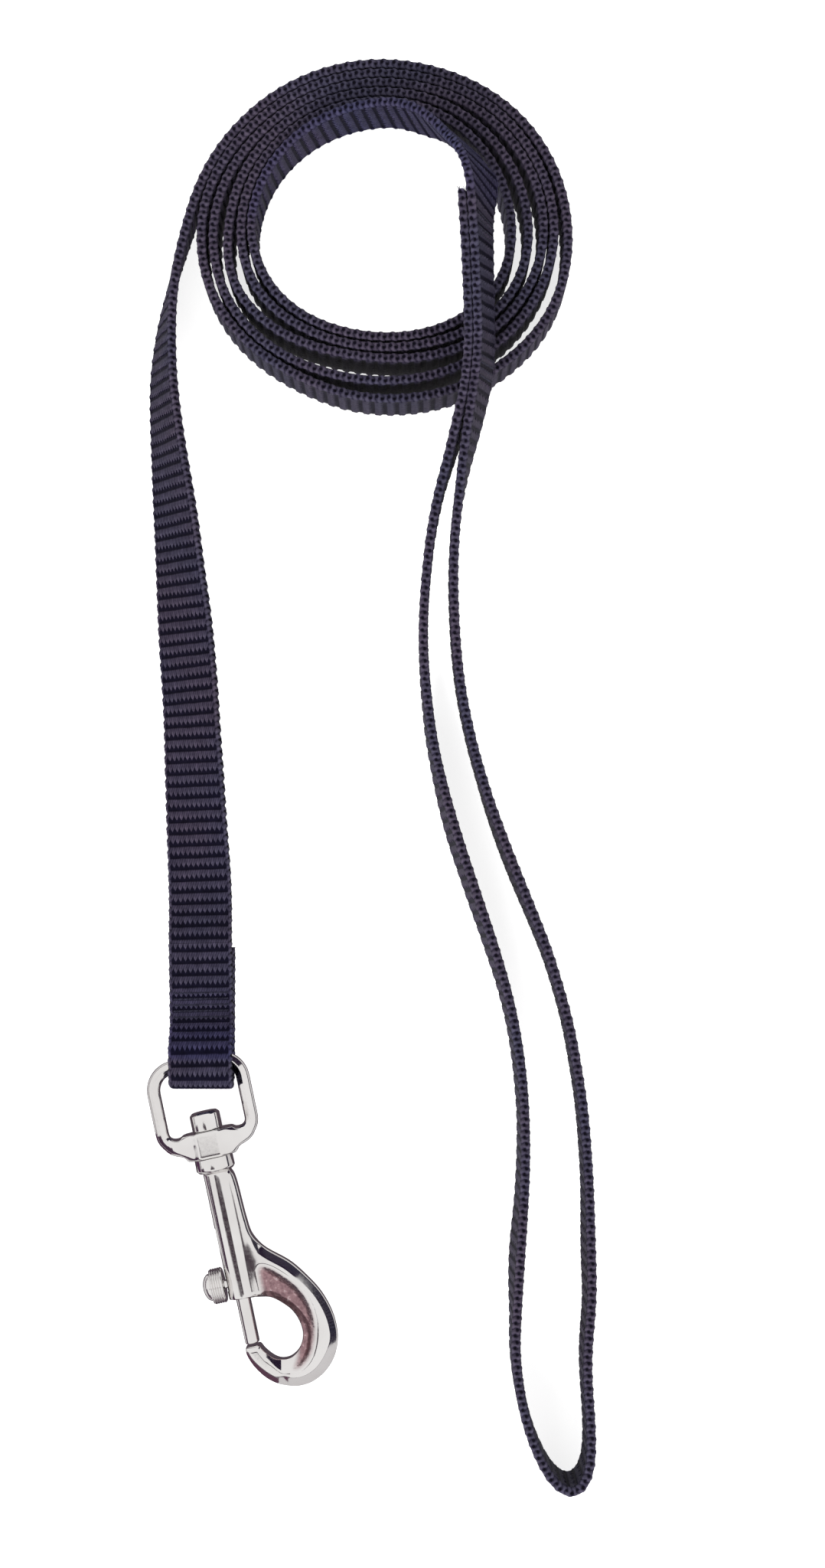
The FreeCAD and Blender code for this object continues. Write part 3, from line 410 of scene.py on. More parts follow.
    [14.12, 39.82, 6.66, 13.88, 37.99, 16.49],
    [14.27, 40.79, 6.85, 13.98, 38.96, 16.67],
    [14.45, 41.76, 7.03, 14.09, 39.94, 16.86],
    [14.63, 42.72, 7.21, 14.19, 40.93, 17.04],
    [14.84, 43.66, 7.4, 14.29, 41.92, 17.23],
    [15.06, 44.61, 7.57, 14.39, 42.92, 17.41],
    [15.29, 45.55, 7.75, 14.48, 43.92, 17.58],
    [15.54, 46.49, 7.93, 14.57, 44.91, 17.75],
    [15.8, 47.44, 8.1, 14.68, 45.9, 17.92],
    [16.08, 48.38, 8.28, 14.79, 46.9, 18.09],
    [16.35, 49.31, 8.46, 14.91, 47.89, 18.25],
    [16.63, 50.24, 8.64, 15.04, 48.89, 18.41],
    [16.9, 51.16, 8.8, 15.17, 49.9, 18.57],
    [17.16, 52.07, 8.96, 15.32, 50.92, 18.73],
    [17.41, 52.98, 9.11, 15.47, 51.95, 18.87],
    [17.65, 53.9, 9.26, 15.63, 52.96, 19],
    [17.89, 54.84, 9.39, 15.78, 53.97, 19.13],
    [18.13, 55.8, 9.53, 15.93, 54.96, 19.25],
    [18.37, 56.76, 9.67, 16.08, 55.94, 19.37],
    [18.6, 57.74, 9.81, 16.22, 56.91, 19.48],
    [18.81, 58.74, 9.94, 16.36, 57.87, 19.6],
    [18.98, 59.75, 10.08, 16.48, 58.81, 19.72],
    [19.13, 60.78, 10.23, 16.59, 59.75, 19.84],
    [19.23, 61.82, 10.37, 16.68, 60.68, 19.97],
    [19.3, 62.85, 10.52, 16.76, 61.62, 20.11],
    [19.35, 63.88, 10.67, 16.82, 62.56, 20.25],
    [19.37, 64.91, 10.82, 16.85, 63.52, 20.4],
    [19.38, 65.92, 10.97, 16.88, 64.48, 20.55],
    [19.38, 66.92, 11.12, 16.88, 65.45, 20.69],
    [19.37, 67.92, 11.28, 16.87, 66.43, 20.84],
    [19.35, 68.92, 11.43, 16.84, 67.41, 20.99],
    [19.33, 69.91, 11.58, 16.81, 68.39, 21.14],
    [19.31, 70.91, 11.74, 16.77, 69.37, 21.29],
    [19.29, 71.89, 11.89, 16.73, 70.36, 21.43],
    [19.26, 72.88, 12.04, 16.68, 71.35, 21.58],
    [19.24, 73.86, 12.19, 16.63, 72.34, 21.72],
    [19.21, 74.85, 12.34, 16.58, 73.34, 21.87],
    [19.2, 75.82, 12.49, 16.52, 74.34, 22.01],
    [19.18, 76.79, 12.63, 16.47, 75.35, 22.15],
    [19.17, 77.74, 12.77, 16.42, 76.38, 22.29],
    [19.16, 78.68, 12.9, 16.37, 77.42, 22.42],
    [19.15, 79.6, 13.01, 16.31, 78.49, 22.53],
    [19.13, 80.5, 13.1, 16.24, 79.57, 22.63],
    [19.13, 81.38, 13.18, 16.17, 80.69, 22.7],
    [19.13, 82.22, 13.23, 16.09, 81.85, 22.75],
    [19.14, 83.01, 13.25, 16, 83.05, 22.74],
    [19.18, 83.74, 13.24, 15.92, 84.31, 22.67],
    [19.25, 84.44, 13.2, 15.82, 85.6, 22.52],
    [19.35, 85.14, 13.13, 15.7, 86.88, 22.27],
    [19.47, 85.85, 13.02, 15.56, 88.11, 21.94],
    [19.62, 86.62, 12.87, 15.39, 89.27, 21.54],
    [19.77, 87.45, 12.67, 15.19, 90.33, 21.08],
    [19.91, 88.36, 12.43, 14.95, 91.29, 20.61],
    [20.01, 89.32, 12.15, 14.69, 92.16, 20.12],
    [20.03, 90.34, 11.81, 14.41, 92.95, 19.65],
    [19.89, 91.36, 11.44, 14.11, 93.68, 19.2],
    [19.31, 92.24, 11.03, 13.8, 94.35, 18.78],
    [18.59, 93.07, 10.58, 13.48, 94.96, 18.41],
    [18.12, 94.05, 10.1, 13.11, 95.5, 18.08],
    [17.55, 94.98, 9.61, 12.71, 96, 17.78],
    [16.91, 95.84, 9.12, 12.29, 96.54, 17.49],
    [16.26, 96.63, 8.64, 11.85, 97.15, 17.2],
    [15.54, 97.3, 8.18, 11.36, 97.8, 16.91],
    [14.84, 97.94, 7.72, 10.82, 98.48, 16.61],
    [14.11, 98.53, 7.27, 10.25, 99.16, 16.32],
    [13.35, 99.12, 6.84, 9.66, 99.81, 16.03],
    [12.57, 99.72, 6.43, 9.03, 100.44, 15.74],
    [11.68, 100.19, 6.05, 8.36, 101.03, 15.44],
    [10.75, 100.59, 5.69, 7.65, 101.57, 15.15],
    [9.83, 101, 5.35, 6.9, 102.04, 14.86],
    [8.88, 101.43, 5.03, 6.12, 102.44, 14.58],
    [7.91, 101.86, 4.71, 5.33, 102.75, 14.33],
    [6.9, 102.28, 4.42, 4.52, 102.97, 14.1],
    [5.85, 102.63, 4.15, 3.69, 103.11, 13.9],
    [4.79, 102.89, 3.92, 2.83, 103.19, 13.72],
    [3.73, 103.06, 3.71, 1.93, 103.2, 13.55],
    [2.7, 103.13, 3.53, 1, 103.16, 13.38],
    [1.7, 103.13, 3.36, 0.04, 103.08, 13.22],
    [0.71, 103.08, 3.19, -0.92, 102.96, 13.05],
    [-0.28, 102.99, 3.03, -1.89, 102.8, 12.89],
    [-1.26, 102.85, 2.86, -2.84, 102.6, 12.73],
    [-2.24, 102.68, 2.7, -3.77, 102.35, 12.58],
    [-3.22, 102.46, 2.54, -4.7, 102.07, 12.42],
    [-4.17, 102.19, 2.39, -5.62, 101.75, 12.27],
    [-5.12, 101.89, 2.24, -6.52, 101.38, 12.13],
    [-6.05, 101.54, 2.09, -7.41, 100.98, 11.98],
    [-6.96, 101.15, 1.94, -8.28, 100.53, 11.83],
    [-7.86, 100.72, 1.79, -9.12, 100.04, 11.69],
    [-8.73, 100.24, 1.65, -9.94, 99.52, 11.55],
    [-9.59, 99.72, 1.51, -10.73, 98.95, 11.41],
    [-10.42, 99.15, 1.37, -11.49, 98.35, 11.28],
    [-11.23, 98.54, 1.23, -12.21, 97.72, 11.15],
    [-12.01, 97.88, 1.1, -12.9, 97.05, 11.03],
    [-12.75, 97.18, 0.98, -13.55, 96.35, 10.91],
    [-13.45, 96.45, 0.87, -14.17, 95.61, 10.8],
    [-14.11, 95.67, 0.75, -14.75, 94.85, 10.7],
    [-14.73, 94.86, 0.65, -15.29, 94.06, 10.6],
    [-15.31, 94.01, 0.55, -15.78, 93.25, 10.51],
    [-15.84, 93.13, 0.46, -16.23, 92.41, 10.43],
    [-16.32, 92.22, 0.38, -16.64, 91.54, 10.35],
    [-16.75, 91.28, 0.31, -17.01, 90.66, 10.28],
    [-17.13, 90.32, 0.24, -17.33, 89.76, 10.22],
    [-17.46, 89.33, 0.18, -17.6, 88.86, 10.17],
    [-17.74, 88.33, 0.14, -17.84, 87.94, 10.13],
    [-17.96, 87.31, 0.1, -18.02, 86.99, 10.09],
    [-18.11, 86.3, 0.07, -18.14, 86.03, 10.07],
    [-18.19, 85.28, 0.04, -18.2, 85.06, 10.04],
    [-18.19, 84.25, 0.03, -18.19, 84.09, 10.02],
    [-18.13, 83.22, 0.01, -18.12, 83.12, 10.01],
    [-17.99, 82.21, 0, -17.98, 82.16, 10],
    [-17.8, 81.21, 0, -17.79, 81.19, 10],
    [-17.54, 80.24, 0, -17.54, 80.23, 10],
    [-17.23, 79.28, 0, -17.23, 79.28, 10],
    [-16.87, 78.35, 0, -16.87, 78.35, 10],
    [-16.45, 77.44, 0, -16.45, 77.44, 10],
    [-15.98, 76.56, 0, -15.98, 76.56, 10],
    [-15.45, 75.71, 0, -15.45, 75.71, 10],
    [-14.87, 74.9, 0, -14.87, 74.9, 10],
    [-14.24, 74.12, 0, -14.24, 74.12, 10],
    [-13.56, 73.39, 0, -13.56, 73.39, 10],
    [-12.84, 72.7, 0, -12.84, 72.7, 10],
    [-12.08, 72.05, 0, -12.08, 72.05, 10],
    [-11.29, 71.44, 0, -11.29, 71.44, 10],
    [-10.46, 70.88, 0, -10.46, 70.88, 10],
    [-9.6, 70.36, 0, -9.6, 70.36, 10],
    [-8.72, 69.89, 0, -8.72, 69.89, 10],
    [-7.82, 69.46, 0, -7.82, 69.46, 10],
    [-6.9, 69.06, 0, -6.9, 69.06, 10],
    [-5.97, 68.71, 0, -5.97, 68.71, 10],
    [-5.02, 68.4, 0, -5.02, 68.4, 10],
    [-4.06, 68.13, 0, -4.06, 68.13, 10],
    [-3.09, 67.88, 0, -3.09, 67.88, 10],
    [-2.11, 67.68, 0, -2.11, 67.68, 10],
    [-1.12, 67.51, 0, -1.12, 67.51, 10],
    [-0.13, 67.37, 0, -0.13, 67.37, 10],
    [0.86, 67.27, 0, 0.86, 67.27, 10],
    [1.86, 67.2, 0, 1.86, 67.2, 10],
    [2.86, 67.18, 0, 2.86, 67.18, 10],
    [3.86, 67.19, 0, 3.86, 67.19, 10],
    [4.86, 67.23, 0, 4.86, 67.23, 10],
    [5.85, 67.31, 0, 5.85, 67.31, 10],
    [6.85, 67.43, 0, 6.85, 67.43, 10],
    [7.83, 67.59, 0, 7.83, 67.59, 10],
    [8.81, 67.8, 0, 8.81, 67.8, 10],
    [9.78, 68.04, 0, 9.78, 68.04, 10],
    [10.74, 68.34, 0, 10.74, 68.34, 10],
    [11.68, 68.67, 0, 11.68, 68.67, 10],
    [12.6, 69.06, 0, 12.6, 69.06, 10],
    [13.5, 69.48, 0, 13.5, 69.48, 10],
    [14.39, 69.95, 0, 14.39, 69.95, 10],
    [15.25, 70.47, 0, 15.25, 70.47, 10],
    [16.08, 71.02, 0, 16.08, 71.02, 10],
    [16.88, 71.62, 0, 16.88, 71.62, 10],
    [17.65, 72.26, 0, 17.65, 72.26, 10],
    [18.38, 72.94, 0, 18.38, 72.94, 10],
    [19.06, 73.67, 0, 19.06, 73.67, 10],
    [19.69, 74.45, 0, 19.69, 74.45, 10],
    [20.26, 75.27, 0, 20.26, 75.27, 10],
    [20.77, 76.13, 0, 20.77, 76.13, 10],
    [21.22, 77.02, 0, 21.22, 77.02, 10],
    [21.61, 77.94, 0, 21.61, 77.94, 10],
    [21.93, 78.89, 0, 21.93, 78.89, 10],
    [22.19, 79.85, 0, 22.19, 79.85, 10],
    [22.39, 80.83, 0, 22.39, 80.83, 10],
    [22.53, 81.82, 0, 22.53, 81.82, 10],
    [22.62, 82.82, 0, 22.62, 82.82, 10],
    [22.65, 83.82, 0, 22.65, 83.82, 10],
    [22.63, 84.82, 0, 22.63, 84.82, 10],
    [22.56, 85.82, 0, 22.56, 85.82, 10],
    [22.45, 86.81, 0, 22.45, 86.81, 10],
    [22.28, 87.79, 0, 22.28, 87.79, 10],
    [22.07, 88.77, 0, 22.07, 88.77, 10],
    [21.82, 89.74, 0, 21.82, 89.74, 10],
    [21.52, 90.69, 0, 21.52, 90.69, 10],
    [21.18, 91.63, 0, 21.18, 91.63, 10],
    [20.8, 92.56, 0, 20.8, 92.56, 10],
    [20.37, 93.46, 0, 20.37, 93.46, 10],
    [19.9, 94.34, 0, 19.9, 94.34, 10],
    [19.39, 95.2, 0, 19.39, 95.2, 10],
    [18.84, 96.04, 0, 18.84, 96.04, 10],
    [18.25, 96.84, 0, 18.25, 96.84, 10],
    [17.63, 97.62, 0, 17.63, 97.62, 10],
    [16.96, 98.37, 0, 16.96, 98.37, 10],
    [16.26, 99.09, 0, 16.26, 99.09, 10],
    [15.53, 99.77, 0, 15.53, 99.77, 10],
    [14.76, 100.41, 0, 14.76, 100.41, 10],
    [13.97, 101.01, 0, 13.97, 101.01, 10],
    [13.14, 101.58, 0, 13.14, 101.58, 10],
    [12.29, 102.1, 0, 12.29, 102.1, 10],
    [11.41, 102.58, 0, 11.41, 102.58, 10],
    [10.51, 103.01, 0, 10.51, 103.01, 10],
    [9.59, 103.39, 0, 9.59, 103.39, 10],
    [8.65, 103.73, 0, 8.65, 103.73, 10],
    [7.69, 104.02, 0, 7.69, 104.02, 10],
    [6.72, 104.26, 0, 6.72, 104.26, 10],
    [5.74, 104.45, 0, 5.74, 104.45, 10],
    [4.75, 104.58, 0, 4.75, 104.58, 10],
    [3.75, 104.68, 0, 3.75, 104.68, 10],
    [2.75, 104.73, 0, 2.75, 104.73, 10],
    [1.75, 104.73, 0, 1.75, 104.73, 10],
    [0.75, 104.69, 0, 0.75, 104.69, 10],
    [-0.24, 104.62, 0, -0.24, 104.62, 10],
    [-1.23, 104.49, 0, -1.23, 104.49, 10],
    [-2.22, 104.33, 0, -2.22, 104.33, 10],
    [-3.2, 104.13, 0, -3.2, 104.13, 10],
    [-4.17, 103.88, 0, -4.17, 103.88, 10],
    [-5.13, 103.59, 0, -5.13, 103.59, 10],
    [-6.07, 103.27, 0, -6.07, 103.27, 10],
    [-7, 102.9, 0, -7, 102.9, 10],
    [-7.91, 102.49, 0, -7.91, 102.49, 10],
    [-8.81, 102.04, 0, -8.81, 102.04, 10],
    [-9.68, 101.55, 0, -9.68, 101.55, 10],
    [-10.53, 101.03, 0, -10.53, 101.03, 10],
    [-11.35, 100.46, 0, -11.35, 100.46, 10],
    [-12.15, 99.86, 0, -12.15, 99.86, 10],
    [-12.92, 99.22, 0, -12.92, 99.22, 10],
    [-13.66, 98.55, 0, -13.66, 98.55, 10],
    [-14.36, 97.84, 0, -14.36, 97.84, 10],
    [-15.03, 97.09, 0, -15.03, 97.09, 10],
    [-15.66, 96.32, 0, -15.66, 96.32, 10],
    [-16.25, 95.51, 0, -16.25, 95.51, 10],
    [-16.8, 94.68, 0, -16.8, 94.68, 10],
    [-17.31, 93.81, 0, -17.31, 93.81, 10],
    [-17.77, 92.93, 0, -17.77, 92.93, 10],
    [-18.19, 92.02, 0, -18.19, 92.02, 10],
    [-18.56, 91.09, 0, -18.56, 91.09, 10],
    [-18.89, 90.15, 0, -18.89, 90.15, 10],
    [-19.17, 89.19, 0, -19.17, 89.19, 10],
    [-19.4, 88.22, 0, -19.4, 88.22, 10],
    [-19.59, 87.23, 0, -19.59, 87.23, 10],
    [-19.72, 86.24, 0, -19.72, 86.24, 10],
    [-19.8, 85.25, 0, -19.8, 85.25, 10],
    [-19.84, 84.25, 0, -19.84, 84.25, 10],
    [-19.82, 83.25, 0, -19.82, 83.25, 10],
    [-19.76, 82.25, 0, -19.76, 82.25, 10],
    [-19.64, 81.26, 0, -19.64, 81.26, 10],
    [-19.46, 80.27, 0, -19.46, 80.27, 10],
    [-19.23, 79.3, 0, -19.23, 79.3, 10],
    [-18.94, 78.35, 0, -18.94, 78.35, 10],
    [-18.59, 77.41, 0, -18.59, 77.41, 10],
    [-18.18, 76.5, 0, -18.18, 76.5, 10],
    [-17.71, 75.62, 0, -17.71, 75.62, 10],
    [-17.18, 74.77, 0, -17.18, 74.77, 10],
    [-16.6, 73.95, 0, -16.6, 73.95, 10],
    [-15.96, 73.18, 0, -15.96, 73.18, 10],
    [-15.29, 72.44, 0, -15.29, 72.44, 10],
    [-14.57, 71.75, 0, -14.57, 71.75, 10],
    [-13.81, 71.09, 0, -13.81, 71.09, 10],
    [-13.02, 70.48, 0, -13.02, 70.48, 10],
    [-12.21, 69.9, 0, -12.21, 69.9, 10],
    [-11.36, 69.37, 0, -11.36, 69.37, 10],
    [-10.5, 68.87, 0, -10.5, 68.87, 10],
    [-9.61, 68.41, 0, -9.61, 68.41, 10],
    [-8.7, 67.98, 0, -8.7, 67.98, 10],
    [-7.78, 67.59, 0, -7.78, 67.59, 10],
    [-6.85, 67.24, 0, -6.85, 67.24, 10],
    [-5.9, 66.91, 0, -5.9, 66.91, 10],
    [-4.95, 66.62, 0, -4.95, 66.62, 10],
    [-3.98, 66.36, 0, -3.98, 66.36, 10],
    [-3.01, 66.14, 0, -3.01, 66.14, 10],
    [-2.03, 65.95, 0, -2.03, 65.95, 10],
    [-1.04, 65.8, 0, -1.04, 65.8, 10],
    [-0.05, 65.68, 0, -0.05, 65.68, 10],
    [0.95, 65.59, 0, 0.95, 65.59, 10],
    [1.95, 65.54, 0, 1.95, 65.54, 10],
    [2.95, 65.52, 0, 2.95, 65.52, 10],
    [3.95, 65.53, 0, 3.95, 65.53, 10],
    [4.95, 65.58, 0, 4.95, 65.58, 10],
    [5.94, 65.66, 0, 5.94, 65.66, 10],
    [6.94, 65.77, 0, 6.94, 65.77, 10],
    [7.93, 65.91, 0, 7.93, 65.91, 10],
    [8.91, 66.09, 0, 8.91, 66.09, 10],
    [9.89, 66.29, 0, 9.89, 66.29, 10],
    [10.86, 66.53, 0, 10.86, 66.53, 10],
    [11.82, 66.79, 0, 11.82, 66.79, 10],
    [12.78, 67.09, 0, 12.78, 67.09, 10],
    [13.72, 67.42, 0, 13.72, 67.42, 10],
    [14.65, 67.8, 0, 14.65, 67.8, 10],
    [15.56, 68.21, 0, 15.56, 68.21, 10],
    [16.45, 68.67, 0, 16.45, 68.67, 10],
    [17.31, 69.18, 0, 17.31, 69.18, 10],
    [18.14, 69.73, 0, 18.14, 69.73, 10],
    [18.94, 70.32, 0, 18.94, 70.32, 10],
    [19.71, 70.97, 0, 19.71, 70.97, 10],
    [20.44, 71.66, 0, 20.44, 71.66, 10],
    [21.12, 72.39, 0, 21.12, 72.39, 10],
    [21.75, 73.16, 0, 21.75, 73.16, 10],
    [22.34, 73.97, 0, 22.34, 73.97, 10],
    [22.88, 74.81, 0, 22.88, 74.81, 10],
    [23.36, 75.69, 0, 23.36, 75.69, 10],
    [23.79, 76.59, 0, 23.79, 76.59, 10],
    [24.16, 77.52, 0, 24.16, 77.52, 10],
    [24.48, 78.46, 0, 24.48, 78.46, 10],
    [24.75, 79.43, 0, 24.75, 79.43, 10],
    [24.96, 80.4, 0, 24.96, 80.4, 10],
    [25.12, 81.39, 0, 25.12, 81.39, 10],
    [25.22, 82.39, 0, 25.22, 82.39, 10],
    [25.27, 83.38, 0, 25.27, 83.38, 10],
    [25.27, 84.38, 0, 25.27, 84.38, 10],
    [25.22, 85.38, 0, 25.22, 85.38, 10],
    [25.12, 86.38, 0, 25.12, 86.38, 10],
    [24.98, 87.37, 0, 24.98, 87.37, 10],
    [24.79, 88.35, 0, 24.79, 88.35, 10],
    [24.56, 89.32, 0, 24.56, 89.32, 10],
    [24.28, 90.28, 0, 24.28, 90.28, 10],
    [23.97, 91.23, 0, 23.97, 91.23, 10],
    [23.61, 92.16, 0, 23.61, 92.16, 10],
    [23.21, 93.08, 0, 23.21, 93.08, 10],
    [22.77, 93.98, 0, 22.77, 93.98, 10],
    [22.29, 94.85, 0, 22.29, 94.85, 10],
    [21.77, 95.71, 0, 21.77, 95.71, 10],
    [21.22, 96.54, 0, 21.22, 96.54, 10],
    [20.63, 97.35, 0, 20.63, 97.35, 10],
    [20, 98.13, 0, 20, 98.13, 10],
    [19.34, 98.88, 0, 19.34, 98.88, 10],
    [18.64, 99.6, 0, 18.64, 99.6, 10],
    [17.92, 100.28, 0, 17.92, 100.28, 10],
    [17.17, 100.94, 0, 17.17, 100.94, 10],
    [16.38, 101.56, 0, 16.38, 101.56, 10],
    [15.58, 102.15, 0, 15.58, 102.15, 10],
    [14.74, 102.71, 0, 14.74, 102.71, 10],
    [13.89, 103.23, 0, 13.89, 103.23, 10],
    [13.01, 103.71, 0, 13.01, 103.71, 10],
    [12.12, 104.15, 0, 12.12, 104.15, 10],
    [11.2, 104.55, 0, 11.2, 104.55, 10],
    [10.27, 104.9, 0, 10.27, 104.9, 10],
    [9.32, 105.22, 0, 9.32, 105.22, 10],
    [8.35, 105.48, 0, 8.35, 105.48, 10],
    [7.38, 105.71, 0, 7.38, 105.71, 10],
    [6.4, 105.89, 0, 6.4, 105.89, 10],
    [5.41, 106.03, 0, 5.41, 106.03, 10],
    [4.41, 106.14, 0, 4.41, 106.14, 10],
    [3.41, 106.21, 0, 3.41, 106.21, 10],
    [2.42, 106.24, 0, 2.42, 106.24, 10],
    [1.42, 106.23, 0, 1.42, 106.23, 10],
    [0.42, 106.18, 0, 0.42, 106.18, 10],
    [-0.58, 106.09, 0, -0.58, 106.09, 10],
    [-1.57, 105.96, 0, -1.57, 105.96, 10],
    [-2.56, 105.8, 0, -2.56, 105.8, 10],
    [-3.53, 105.59, 0, -3.53, 105.59, 10],
    [-4.5, 105.35, 0, -4.5, 105.35, 10],
    [-5.46, 105.06, 0, -5.46, 105.06, 10],
    [-6.41, 104.74, 0, -6.41, 104.74, 10],
    [-7.34, 104.38, 0, -7.34, 104.38, 10],
    [-8.26, 103.98, 0, -8.26, 103.98, 10],
    [-9.16, 103.55, 0, -9.16, 103.55, 10],
    [-10.04, 103.08, 0, -10.04, 103.08, 10],
    [-10.9, 102.57, 0, -10.9, 102.57, 10],
    [-11.74, 102.03, 0, -11.74, 102.03, 10],
    [-12.55, 101.45, 0, -12.55, 101.45, 10],
    [-13.34, 100.83, 0, -13.34, 100.83, 10],
    [-14.1, 100.18, 0, -14.1, 100.18, 10],
    [-14.84, 99.5, 0, -14.84, 99.5, 10],
    [-15.54, 98.79, 0, -15.54, 98.79, 10],
    [-16.21, 98.05, 0, -16.21, 98.05, 10],
    [-16.85, 97.28, 0, -16.85, 97.28, 10],
    [-17.45, 96.49, 0, -17.45, 96.49, 10],
    [-18.03, 95.67, 0, -18.03, 95.67, 10],
    [-18.56, 94.82, 0, -18.56, 94.82, 10],
    [-19.06, 93.95, 0, -19.06, 93.95, 10],
    [-19.51, 93.06, 0, -19.51, 93.06, 10],
    [-19.92, 92.15, 0, -19.92, 92.15, 10],
    [-20.29, 91.22, 0, -20.29, 91.22, 10],
    [-20.62, 90.28, 0, -20.62, 90.28, 10],
    [-20.9, 89.32, 0, -20.9, 89.32, 10],
    [-21.15, 88.35, 0, -21.15, 88.35, 10],
    [-21.36, 87.37, 0, -21.36, 87.37, 10],
    [-21.54, 86.39, 0, -21.54, 86.39, 10],
    [-21.68, 85.4, 0, -21.68, 85.4, 10],
    [-21.79, 84.41, 0, -21.79, 84.41, 10],
    [-21.87, 83.41, 0, -21.87, 83.41, 10],
    [-21.91, 82.41, 0, -21.91, 82.41, 10],
    [-21.91, 81.41, 0, -21.91, 81.41, 10],
    [-21.87, 80.41, 0, -21.87, 80.41, 10],
    [-21.77, 79.42, 0, -21.77, 79.42, 10],
    [-21.6, 78.43, 0, -21.6, 78.43, 10],
    [-21.37, 77.46, 0, -21.37, 77.46, 10],
    [-21.07, 76.5, 0, -21.07, 76.5, 10],
    [-20.7, 75.58, 0, -20.7, 75.58, 10],
    [-20.27, 74.68, 0, -20.27, 74.68, 10],
    [-19.76, 73.81, 0, -19.76, 73.81, 10],
    [-19.2, 72.99, 0, -19.2, 72.99, 10],
    [-18.59, 72.2, 0, -18.59, 72.2, 10],
    [-17.92, 71.45, 0, -17.92, 71.45, 10],
    [-17.22, 70.74, 0, -17.22, 70.74, 10],
    [-16.48, 70.07, 0, -16.48, 70.07, 10],
    [-15.7, 69.44, 0, -15.7, 69.44, 10],
    [-14.9, 68.85, 0, -14.9, 68.85, 10],
    [-14.06, 68.3, 0, -14.06, 68.3, 10],
    [-13.2, 67.79, 0, -13.2, 67.79, 10],
    [-12.32, 67.31, 0, -12.32, 67.31, 10],
    [-11.42, 66.88, 0, -11.42, 66.88, 10],
    [-10.5, 66.49, 0, -10.5, 66.49, 10],
    [-9.57, 66.12, 0, -9.57, 66.12, 10],
    [-8.63, 65.8, 0, -8.63, 65.8, 10],
    [-7.67, 65.5, 0, -7.67, 65.5, 10],
    [-6.71, 65.23, 0, -6.71, 65.23, 10],
    [-5.74, 64.99, 0, -5.74, 64.99, 10],
    [-4.76, 64.77, 0, -4.76, 64.77, 10],
    [-3.78, 64.57, 0, -3.78, 64.57, 10],
    [-2.8, 64.39, 0, -2.8, 64.39, 10],
    [-1.81, 64.23, 0, -1.81, 64.23, 10],
    [-0.82, 64.1, 0, -0.82, 64.1, 10],
    [0.17, 63.98, 0, 0.17, 63.98, 10],
    [1.17, 63.88, 0, 1.17, 63.88, 10],
    [2.16, 63.81, 0, 2.16, 63.81, 10],
    [3.16, 63.76, 0, 3.16, 63.76, 10],
    [4.16, 63.74, 0, 4.16, 63.74, 10],
    [5.16, 63.74, 0, 5.16, 63.74, 10],
    [6.16, 63.78, 0, 6.16, 63.78, 10],
    [7.16, 63.85, 0, 7.16, 63.85, 10],
    [8.15, 63.96, 0, 8.15, 63.96, 10],
    [9.14, 64.1, 0, 9.14, 64.1, 10],
    [10.12, 64.28, 0, 10.12, 64.28, 10],
    [11.1, 64.49, 0, 11.1, 64.49, 10],
    [12.07, 64.74, 0, 12.07, 64.74, 10],
    [13.03, 65.02, 0, 13.03, 65.02, 10],
    [13.97, 65.34, 0, 13.97, 65.34, 10],
    [14.91, 65.7, 0, 14.91, 65.7, 10],
    [15.82, 66.1, 0, 15.82, 66.1, 10],
    [16.72, 66.55, 0, 16.72, 66.55, 10],
    [17.59, 67.03, 0, 17.59, 67.03, 10],
    [18.44, 67.56, 0, 18.44, 67.56, 10],
    [19.26, 68.13, 0, 19.26, 68.13, 10],
    [20.05, 68.74, 0, 20.05, 68.74, 10],
    [20.81, 69.39, 0, 20.81, 69.39, 10],
    [21.54, 70.08, 0, 21.54, 70.08, 10],
    [22.23, 70.81, 0, 22.23, 70.81, 10],
    [22.88, 71.56, 0, 22.88, 71.56, 10],
    [23.49, 72.35, 0, 23.49, 72.35, 10],
    [24.07, 73.17, 0, 24.07, 73.17, 10],
    [24.61, 74.01, 0, 24.61, 74.01, 10],
    [25.12, 74.87, 0, 25.12, 74.87, 10],
    [25.59, 75.75, 0, 25.59, 75.75, 10],
    [26.01, 76.66, 0, 26.01, 76.66, 10],
    [26.39, 77.58, 0, 26.39, 77.58, 10],
    [26.73, 78.52, 0, 26.73, 78.52, 10],
    [27.01, 79.48, 0, 27.01, 79.48, 10],
    [27.25, 80.45, 0, 27.25, 80.45, 10],
    [27.43, 81.44, 0, 27.43, 81.44, 10],
    [27.56, 82.43, 0, 27.56, 82.43, 10],
    [27.63, 83.42, 0, 27.63, 83.42, 10],
    [27.66, 84.42, 0, 27.66, 84.42, 10],
    [27.64, 85.42, 0, 27.64, 85.42, 10],
    [27.57, 86.42, 0, 27.57, 86.42, 10],
    [27.46, 87.41, 0, 27.46, 87.41, 10],
    [27.3, 88.4, 0, 27.3, 88.4, 10],
    [27.09, 89.38, 0, 27.09, 89.38, 10],
    [26.84, 90.35, 0, 26.84, 90.35, 10],
    [26.55, 91.3, 0, 26.55, 91.3, 10],
    [26.21, 92.24, 0, 26.21, 92.24, 10],
    [25.82, 93.17, 0, 25.82, 93.17, 10],
    [25.4, 94.07, 0, 25.4, 94.07, 10],
    [24.94, 94.96, 0, 24.94, 94.96, 10],
    [24.44, 95.82, 0, 24.44, 95.82, 10],
    [23.9, 96.67, 0, 23.9, 96.67, 10],
    [23.33, 97.49, 0, 23.33, 97.49, 10],
    [22.73, 98.29, 0, 22.73, 98.29, 10],
    [22.1, 99.06, 0, 22.1, 99.06, 10],
    [21.43, 99.8, 0, 21.43, 99.8, 10],
    [20.73, 100.52, 0, 20.73, 100.52, 10],
